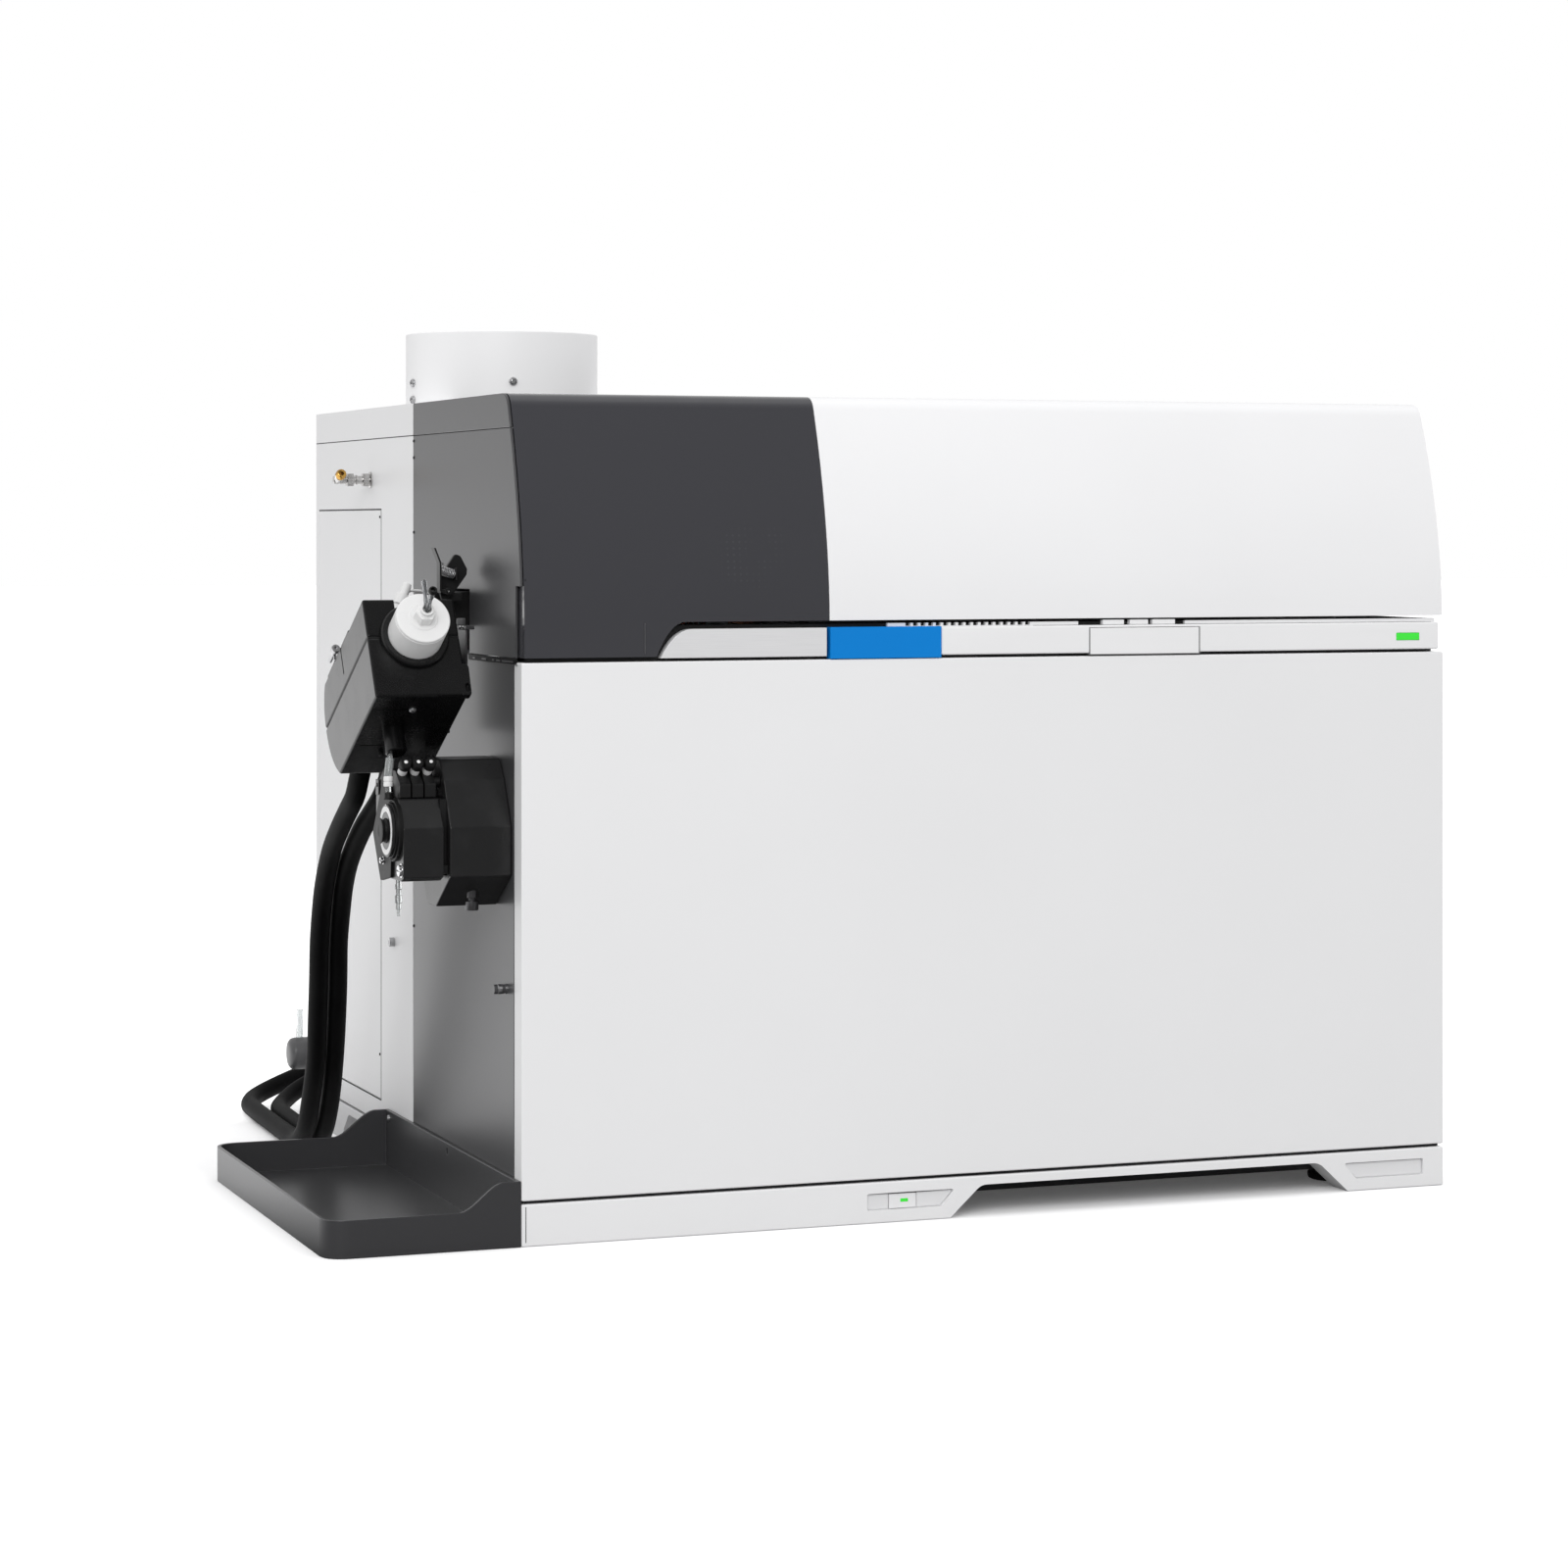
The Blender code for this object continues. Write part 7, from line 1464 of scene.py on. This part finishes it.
# The torch clamp: black mouldings on the compartment's side. A foot and an arm carry the box, a
# block holds the torch joint, and a plate with rounded corners backs the spring clip.
CLAMP_BLACK = (0.0060, 0.0060, 0.0063)
clamp_black = black_moulding("clamp_black", CLAMP_BLACK, 0.44, 0.5)
PLATE_Y = (0.1170, 0.1207)
CLIP_PIN = (-0.0224, 0, 0.4544)
plate_outline = rounded(mm("-15 481.2, -10.8 479.6, -5.8 470.2, -6.2 466, -19.5 447.8, "
                           "-24.5 446.6, -27.2 456, -27.2 463"),
                        (0.0026, 0.0026, 0.0022, 0.0022, 0.0030, 0.0030, 0.0030, 0.0040))
CLAMP_SLABS = (
    ((-0.0168, -0.0152), (0.1085, 0.1175), (0.4620, 0.4712), 0.0005),
    ((-0.0195, -0.0090), (0.1195, 0.1415), (0.4469, 0.4532), 0.0006),
    ((-0.0203, 0.0237), (0.1400, 0.1980), (0.4280, 0.4535), 0.0009),
    ((-0.0337, -0.0200), (0.1320, 0.1600), (0.3520, 0.4535), 0.0010),
    ((-0.0337, -0.0200), (0.1120, 0.1600), (0.3520, 0.3870), 0.0010),
    ((-0.0216, -0.0190), (0.1390, 0.1975), (0.4335, 0.4357), 0.0004),
    ((-0.0216, -0.0190), (0.1390, 0.1975), (0.4400, 0.4422), 0.0004),
    ((-0.0216, -0.0190), (0.1390, 0.1975), (0.4465, 0.4487), 0.0004),
)
clamp_parts = [eased(drawn(plate_outline, "Y", *PLATE_Y), 0.0006, 40)]
clamp_parts += [eased(slab(x, y, z), width) for x, y, z, width in CLAMP_SLABS]
set_in("torch_clamp_moulding", gathered(*clamp_parts), clamp_black,
       "clamp_block")
cheek = [eased(slab(*mm("-21.2 -19.9, 66 132.5, 401 427.5")), 0.0004),
         eased(slab(*mm("-21.5 -15, 66 132.5, 427.7 430.5")), 0.0005)]
set_in("clamp_bracket", gathered(*cheek), tray_coat)
knob_profile = mm("0 0, 3 0, 3.4 0.6, 3.4 4.4, 3 5, 1.6 5.2, 0 5.2")
set_in("clamp_bracket_knob", spun(knob_profile, "Z", (-0.0190, 0.0870, 0.4303), 12),
       moulding("knob_grey", (0.11, 0.11, 0.112), 0.4))
screws("clamp_bracket_screws", 0.0014, [((-0.0215, y, 0.4291), LEFT)
                                        for y in (0.0720, 0.0800, 0.1020, 0.1180)], 9)
pin = spun(mm("0 107.5, 0.7 107.3, 1 107.7, 1 119, 0 119"), "Y", CLIP_PIN, 24)
boss = spun(mm("1.1 116.8, 3 116.8, 3.4 117.4, 3.4 118.6, 1.1 118.6"), "Y", CLIP_PIN, 32)
set_in("clip_pin", pin, plated("bright_pin", (0.72, 0.72, 0.72), 0.18))
set_in("clip_pin_boss", boss, clamp_black)
refined("clip_blade", "clip_lever", 0.0003, clamp_black, "clip")


# The clip's spring: nine turns of bright steel wire between the blade and the plate, a little
# lower at the plate.
SPRING_LEFT = (-0.0272, 0.1125, 0.4696)
SPRING_RIGHT = (-0.0166, 0.1125, 0.4662)
SPRING_TURNS = 9
SPRING_RADIUS = 0.0031
SPRING_WIRE = 0.00042


def spring_tree():
    """A round wire wound on a helix of a given height and number of turns."""
    tree, inlet = tree_with("wound spring", (("Turns", "NodeSocketFloat"),
                                             ("Radius", "NodeSocketFloat"),
                                             ("Height", "NodeSocketFloat"),
                                             ("Wire", "NodeSocketFloat"),
                                             ("Finish", "NodeSocketMaterial")))
    start = Wire(tree)
    helix = start.node("GeometryNodeCurveSpiral", {},
                       {"Resolution": 24, "Rotations": inlet["Turns"],
                        "Start Radius": inlet["Radius"], "End Radius": inlet["Radius"],
                        "Height": inlet["Height"]})
    ring = start.node("GeometryNodeCurvePrimitiveCircle", {"mode": "RADIUS"},
                      {"Resolution": 8, "Radius": inlet["Wire"]})
    wire = start.node("GeometryNodeCurveToMesh", {}, {"Curve": helix, "Profile Curve": ring,
                                                      "Fill Caps": True})
    return closed_with(tree, wire, inlet["Finish"])


spring_steel = plated("spring_steel", (0.80, 0.80, 0.81), 0.42)
left_end, right_end = Vector(SPRING_LEFT), Vector(SPRING_RIGHT)
run = right_end - left_end
coil = grown_mesh(spring_tree(), {"Turns": float(SPRING_TURNS), "Radius": SPRING_RADIUS,
                                  "Height": run.length, "Wire": SPRING_WIRE,
                                  "Finish": spring_steel})
coil.transform(Matrix.Translation(at(*SPRING_LEFT))
               @ run.to_track_quat("Z", "Y").to_matrix().to_4x4())
mount("wire_clip_spring", coil, spring_steel, "clip_spring")


# The peristaltic pump's motor housing: a black moulding with a fold across its front, screwed to
# the side skin, with a knurled hand screw under it.
PUMP_Y = 0.0445
PUMP_Z = 0.2887
PUMP_BLACK = (0.0130, 0.0130, 0.0135)
PUMP_EDGE = 0.0014
HOUSING_X = (-0.0450, -0.0003)
HOUSING_SIDE = mm("22.6 257.024, 22.6 291.032, 40 322.96, 51 337, 88 337, 104 322, 116 300, "
                  "116 290, 98 256, 84 233, 60 233")
pump_black = black_moulding("pump_black", PUMP_BLACK, 0.30, 0.5)
housing = drawn(rounded(HOUSING_SIDE, (0.0012, 0.0030, 0.0060, 0.0060, 0.0080, 0.0080, 0.0060,
                                       0.0060, 0.0080, 0.0060, 0.0012), 6), "X", *HOUSING_X)
set_in("motor_housing_moulding", eased(housing, PUMP_EDGE, 45, 3), pump_black,
       "pump_motor_housing")
THUMB = (-0.0229, 0.045)
THUMB_Z = (0.2310, 0.2376, 0.2500)
knurl = wheel(THUMB, 48, lambda step: 0.0049 if step % 2 else 0.0045)
thumb = gathered(eased(drawn(knurl, "Z", *THUMB_Z[:2]), 0.0005, 70, 1),
                 spun([(0, THUMB_Z[1] - 0.0005), (0.0026, THUMB_Z[1]), (0.0026, 0.2396),
                       (0.0040, 0.2400), (0.0040, THUMB_Z[2]), (0, THUMB_Z[2])], "Z",
                      (*THUMB, 0), 32))
set_in("knurled_hand_screw", thumb, plated("dark_steel", (0.16, 0.16, 0.165), 0.34))


# The pump head: a black moulding bolted to the motor through a round spacer, with a dark end
# plate, stepped discs on it, and ears that carry the clamps' pin.
HEAD_X = (-0.0785, -0.0495)
HEAD_SIDE = mm("22.6 257, 22.6 291, 36 311, 98 311, 98 275, 84 254, 30 254")
PLATE_REACH = 0.033
PLATE_SHARES = ((1.667, -0.142), (1.015, -1.142), (0.167, -1.006), (0.046, 0.342),
                (0.470, 0.918), (0.894, 0.948))
DRUM_X = (-0.0765, -0.0515)
DRUM_CAVITY = 0.0155
TAIL = (-0.072, 0.060)
CLAMP_PIN = (0, 0.0960, 0.3172)
DISC_STEPS = 96
head = drawn(rounded(HEAD_SIDE, (0.0010, 0.0030, 0.0030, 0.0030, 0.0040, 0.0040, 0.0010), 6),
             "X", *HEAD_X)
head = eased(head, PUMP_EDGE, 45, 3)
pump_axis = (0, PUMP_Y, PUMP_Z)
head = carved(head, round_bar(DRUM_CAVITY, *DRUM_X, "X", pump_axis, DISC_STEPS),
              slab(DRUM_X, (0.0380, PUMP_Y + 0.0143), (PUMP_Z, 0.3120)),
              round_bar(0.0043, HEAD_X[0] - CUT_PAST, HEAD_X[1] + CUT_PAST, "X", pump_axis, 32))
end_plate = drawn(rounded([(PUMP_Y + PLATE_REACH * y, PUMP_Z + PLATE_REACH * z)
                           for y, z in PLATE_SHARES], 0.0022), "X", -0.0805, -0.0780)
discs = spun(mm("4.3 -78, 21.7 -78, 21.7 -80.8, 21.3 -81.2, 20.6 -81.2, 20.2 -80.6, 19.8 -80.6, "
                "19.5 -81.6, 19.5 -82.5, 19.1 -82.9, 4.3 -82.9"), "X", pump_axis, DISC_STEPS)
ears = [eased(slab((low, low + 0.0012), (0.0921, 0.0999), (0.3100, 0.3212)), 0.0004)
        for low in (-0.0783, -0.0508)]
pin = round_bar(0.0015, -0.0789, -0.0491, "X", CLAMP_PIN, 32)
set_in("pump_end_plate", gathered(eased(end_plate, 0.0004), discs), seal_black)
set_in("pump_head_moulding", gathered(head, pin, *ears), pump_black,
       "pump_head")
nubs = [spun(mm("0 -50.8, 4 -50.8, 4.4 -50, 4.4 -45.5, 3.6 -44.9, 0 -44.9"), "X",
             (0, 0.0520, 0.3215), 32),
        eased(slab(*mm("-50 -45.2, 26.2 32, 259 264.6")), 0.0006),
        slab(*mm("-50 -45.3, 31 83, 257.5 310.5"))]
set_in("pump_spacers", gathered(*nubs), clamp_black)


def slotted_screw(centre, radius):
    """A cheese-head screw that faces left, with its slot and the washer under it."""
    disc = spun([(0, 0), (radius * 1.25, 0), (radius * 1.25, -0.0006), (radius, -0.0007),
                 (radius, -0.0024), (radius * 0.85, -0.0028), (0, -0.0028)], "X", centre, 32)
    slot = slab((centre[0] - 0.0060, centre[0] - 0.0014),
                (centre[1] - radius * 1.3, centre[1] + radius * 1.3),
                (centre[2] - radius * 0.16, centre[2] + radius * 0.16))
    return carved(disc, slot)


bright = plated("bright_steel", (0.74, 0.74, 0.75), 0.20)
set_in("pump_head_screws", gathered(slotted_screw((-0.0804, 0.0690, 0.2659), 0.0022),
                                    slotted_screw((-0.0784, 0.0275, 0.2619), 0.0040)), bright)
tail = spun(mm("0.9 257, 2 257.5, 2 250, 2.4 249.4, 2.4 246.2, 1.9 245.6, 1.9 242, 2.6 241.4, "
               "2.6 236.5, 1.9 235.8, 1.9 232, 1.2 231.4, 1.2 227.6, 0.9 227, 0.5 227, 0.7 256"),
            "Z", (*TAIL, 0), 24)
set_in("pump_tail_tube", tail, soft_tube)
sleeve = between((-0.0804, 0.0519, 0.3385), (-0.0821, 0.0500, 0.3262),
                 "2.6 0, 3.1 0, 3.1 100, 2.6 100")
set_in("drain_sleeve", sleeve, soft_tube)
coupling_white = between((-0.0821, 0.0500, 0.3262), (-0.0823, 0.0494, 0.3190),
                         "1.9 0, 3 0, 3.3 10, 3.3 45, 2.7 50, 3.3 55, 3.3 90, 3 100, 1.9 100")
set_in("drain_coupling", coupling_white, moulding("coupling_white", (0.74, 0.74, 0.74), 0.35))
coupling_black = between((-0.0822, 0.0490, 0.3150), (-0.0822, 0.0482, 0.3103),
                         "0 0, 2.6 0, 3 15, 3 80, 3.6 100, 0 100")
set_in("drain_elbow", coupling_black, seal_black)


# The pump's rotor: eight rollers in a drum, on a shaft with a disc and a waisted black knob. A
# white ring is let into the disc round the knob.
ROLLER_COUNT = 8
ROLLER_STEPS = 128
rollers = wheel((PUMP_Y, PUMP_Z), ROLLER_STEPS, lambda step: 0.0143 * (
    0.90 + 0.10 * math.cos(math.tau * step / ROLLER_STEPS * ROLLER_COUNT)))
drum = eased(drawn(rollers, "X", DRUM_X[0] + 0.0003, DRUM_X[1] - 0.0003), 0.0005, 70)
shaft = round_bar(0.0040, -0.0853, -0.0456, "X", pump_axis, 48)
disc = spun(mm("0 -83.3, 18.5 -83.3, 18.5 -84.8, 18 -85.3, 17.2 -85.3, 17.2 -85, 13 -85, "
               "13 -85.3, 0 -85.3"), "X", pump_axis, DISC_STEPS)
knob = spun(mm("0 -85, 8.8 -85, 8.8 -85.8, 8 -86.6, 7.7 -87.4, 8 -88.4, 9 -89.1, 9 -89.6, "
               "8.6 -89.9, 4 -89.9, 3.6 -89.7, 0 -89.7"), "X", pump_axis, DISC_STEPS)
set_in("rotor_mouldings", gathered(drum, shaft, disc), pump_black,
       "pump_rotor", "rotor")
set_in("rotor_knob", knob, seal_black, body="rotor")
white_ring = spun(mm("13.2 -84.8, 17 -84.8, 17 -85.4, 13.2 -85.4"), "X", pump_axis, DISC_STEPS)
set_in("rotor_white_ring", white_ring, moulding("ring_white", (0.80, 0.80, 0.80), 0.4),
       body="rotor")
index_mark = eased(slab((-0.0857, -0.0850), (PUMP_Y - 0.0006, PUMP_Y + 0.0006),
                        (PUMP_Z + 0.0174, PUMP_Z + 0.0183)), 0.0002)
set_in("rotor_index_mark", index_mark, white_moulding, body="rotor")


# The three tube clamps: black mouldings side by side on one pin over the rotor. Each has a
# tension adjuster on its nose: a white sleeve, a black knob and a white dot in its end.
adjuster_white = moulding("adjuster_white", (0.78, 0.78, 0.78), 0.35)
ADJUST_FOOT = (0.050, 0.3270)
ADJUST_TILT = math.radians(55)
adjust_way = Vector((0, -math.sin(ADJUST_TILT), math.cos(ADJUST_TILT)))
CLAMP_WIDTH = 0.0078
clamp_side = rounded(mm("38 311.3, 96 311.3, 100 317.2, 94 321.5, 82 330, 50 330, 38 321"),
                     (0.0010, 0.0020, 0.0036, 0.0020, 0.0060, 0.0050, 0.0020), 6)
for name, node, body, middle in (("outer_clamp", "pump_clamp_outer", "clamp_outer", -0.0730),
                                 ("middle_clamp", "pump_clamp_middle", "clamp_middle", -0.0640),
                                 ("inner_clamp", "pump_clamp_inner", "clamp_inner", -0.0550)):
    low, high = middle - CLAMP_WIDTH / 2, middle + CLAMP_WIDTH / 2
    shoe = carved(eased(drawn(clamp_side, "X", low, high), 0.0006, 45),
                  round_bar(0.0018, low - CUT_PAST, high + CUT_PAST, "X", CLAMP_PIN, 32))
    foot = Vector((middle, *ADJUST_FOOT))
    nut_low, nut_high = foot - adjust_way * 0.003, foot + adjust_way * 0.0035
    collar_part = between(nut_low, nut_high, "0 0, 3.6 0, 3.6 85, 3.2 100, 0 100")
    grip = between(foot + adjust_way * 0.0100, foot + adjust_way * 0.0170,
                   "0 0, 3.4 0, 4.4 12, 4.5 35, 4.1 50, 4.4 65, 4.3 85, 3.4 100, 0 100")
    set_in(name, gathered(shoe, collar_part, grip), clamp_black, node, body)
    sleeve = between(foot + adjust_way * 0.0030, foot + adjust_way * 0.0104,
                     "0 0, 3 0, 3.3 8, 3.3 92, 2.9 100, 0 100")
    dot = between(foot + adjust_way * 0.0168, foot + adjust_way * 0.0174,
                  "0 0, 1.3 0, 1.3 70, 0.9 100, 0 100")
    set_in(name + "_adjuster", gathered(sleeve, dot), adjuster_white,
           body=body)


# The gas fitting on the white skin: nickel-plated brass with two hexes and an elbow, closed by an
# amber-plated plug with a hole in its end.
NICKEL = (0.62, 0.61, 0.60)
FITTING = (0.418, 0.538)
nickel = plated("nickel_plate", NICKEL, 0.24)
fitting_axis = (0, *FITTING)
stem = spun(mm("0 -0.3, 6.4 -0.3, 6.4 -1, 3.2 -1.2, 3.2 -11, 3.8 -11.2, 3.8 -12.4, 3.2 -12.6, "
               "3.2 -29.7, 2.6 -30.5, 0 -30.5"), "X", fitting_axis, 40)
hexes = [eased(drawn(wheel(FITTING, 6, lambda step: 0.0058), "X", low, high), 0.0005, 40)
         for low, high in ((-0.0070, -0.0021), (-0.0198, -0.0145))]
FITTING_BEND = Vector((-0.0273, *FITTING))
PLUG_END = FITTING_BEND + Vector((0.0006, -0.0135, 0.0050))
elbow = between(FITTING_BEND, PLUG_END, "0 -12, 3.2 -10, 3.2 52, 4.2 54, 4.2 62, 3.4 64, 0 64", 40)
set_in("nickel_fitting", gathered(stem, elbow, *hexes), nickel, "gas_fitting")
plug = between(FITTING_BEND, PLUG_END, "1.2 66, 3.6 66, 4.2 70, 4.2 86, 3.8 90, 3.6 97, 3 100, "
               "1.6 100, 1.2 96", 40)
amber = plated("amber_plate", (0.62, 0.36, 0.09), 0.24)
set_in("amber_plug", plug, amber, "gas_plug")


# The rear panel: folded steel with rows of louvres and a pressed fan guard, screwed on all
# round. The axial fan behind the guard is a black moulding.
REAR_Y = 0.600
FAN = (0.560, 0.300)
refined("rear_skin", "rear_panel", 0.0004, white_coat)
rear_screws = [((x, REAR_Y, z), BACK) for x in (0.014, 0.250, 0.480, 0.716)
               for z in (0.040, 0.562)]
rear_screws += [((x, REAR_Y, z), BACK) for x in (0.014, 0.716) for z in (0.210, 0.390)]
screws("rear_skin_screws", 0.0034, rear_screws, 10)
screws("fan_screws", 0.0030, [((FAN[0] + x, REAR_Y, FAN[1] + z), BACK) for x in (-0.0525, 0.0525)
                              for z in (-0.0525, 0.0525)], 11, black_zinc)
refined("fan_moulding", "fan_rotor", 0.0004, clamp_black, "fan")
LOUVRE_X = (0.120, 0.360)
hood_side = mm("0 0, 1.8 0.6, 3 -3, 3.4 -5.8, 2.6 -5.8, 1.2 -0.8, 0 -1.2")
louvre = drawn(hood_side, "X", LOUVRE_X[0] - 0.003, LOUVRE_X[1] + 0.003)
row("louvre_hoods", louvre, 8, (0, REAR_Y - 0.0001, 0.3068), (0, 0, 0.018), white_coat)


# The mains inlet: a black socket let into the rear panel on two screws, with its three brass
# blades.
INLET = (0.655, 0.120)
refined("inlet_moulding", "mains_inlet", 0.0005, clamp_black)
blades = [eased(slab((INLET[0] + x - 0.0020, INLET[0] + x + 0.0020), (0.5825, 0.5990),
                     (INLET[1] + z - 0.0010, INLET[1] + z + 0.0010)), 0.0004)
          for x, z in ((-0.0070, -0.0030), (0.0070, -0.0030), (0, 0.0045))]
set_in("inlet_blades", gathered(*blades), plated("blade_brass", (0.62, 0.46, 0.20), 0.28))
screws("inlet_screws", 0.0026, [((INLET[0] + x, 0.6053, INLET[1]), BACK)
                                for x in (-0.0245, 0.0245)], 12)


# The rear ports: a steel plate with two hose nipples, and a grey drain elbow at the corner with
# a stub of clear tube standing in it. Crimped rings hold the hoses on the nipples.
PORT_Y = 0.6003
DRAIN_BEND = (0.626, 0.056)
HOSE_PORT_X = (0.072, 0.097)
HOSE_PORT_Z = 0.062
ELBOW_GREY = (0.080, 0.080, 0.083)
elbow_grey = moulding("elbow_grey", ELBOW_GREY, 0.36, 1200, 0.5)
ports_plate = eased(drawn(rounded(rectangle((0.0285, 0.1105), (0.0425, 0.0795)), 0.003), "Y",
                          PORT_Y, PORT_Y + 0.0020), 0.0004)
elbow_body = spun(mm("0 -18, 7 -18, 10.5 -17.2, 12.6 -15.5, 13.5 -12.5, 13.5 50, 13 53, 11 54.5, "
                     "0 55"), "X", (0, *DRAIN_BEND), 64)
neck = spun([(0, PORT_Y + 0.0005), (0.0125, PORT_Y + 0.0005), (0.0125, PORT_Y + 0.0040),
             (0.0100, PORT_Y + 0.0050), (0.0100, 0.6230), (0, 0.6230)], "Y",
            (0.042, 0, DRAIN_BEND[1]), 48)
nipples = [spun([(0, PORT_Y + 0.0005), (0.0110, PORT_Y + 0.0005), (0.0110, PORT_Y + 0.0030),
                 (0.0095, PORT_Y + 0.0036), (0.0095, 0.6080), (0, 0.6080)], "Y",
                (x, 0, HOSE_PORT_Z), 48) for x in HOSE_PORT_X]
set_in("port_mouldings", gathered(ports_plate, elbow_body, neck, *nipples), elbow_grey,
       "rear_ports")
rings = [spun(mm("7.4 608.5, 8.6 608.5, 8.8 609, 8.8 614, 8.6 614.5, 7.4 614.5"), "Y",
              (x, 0, HOSE_PORT_Z), 48) for x in HOSE_PORT_X]
set_in("hose_crimps", gathered(*rings), zinc)
stub = spun(mm("1.8 66, 3 66, 3 90, 2.7 93, 2 93, 1.8 92"), "Z", (-0.008, DRAIN_BEND[0], 0), 32)
set_in("elbow_vent_tube", stub, soft_tube)
port_screw_places = ((0.1060, 0.0465), (0.1060, 0.0755), (0.0330, 0.0755), (0.0580, 0.0465))
screws("port_plate_screws", 0.0022,
       [((x, PORT_Y + 0.0020, z), BACK) for x, z in port_screw_places], 13)
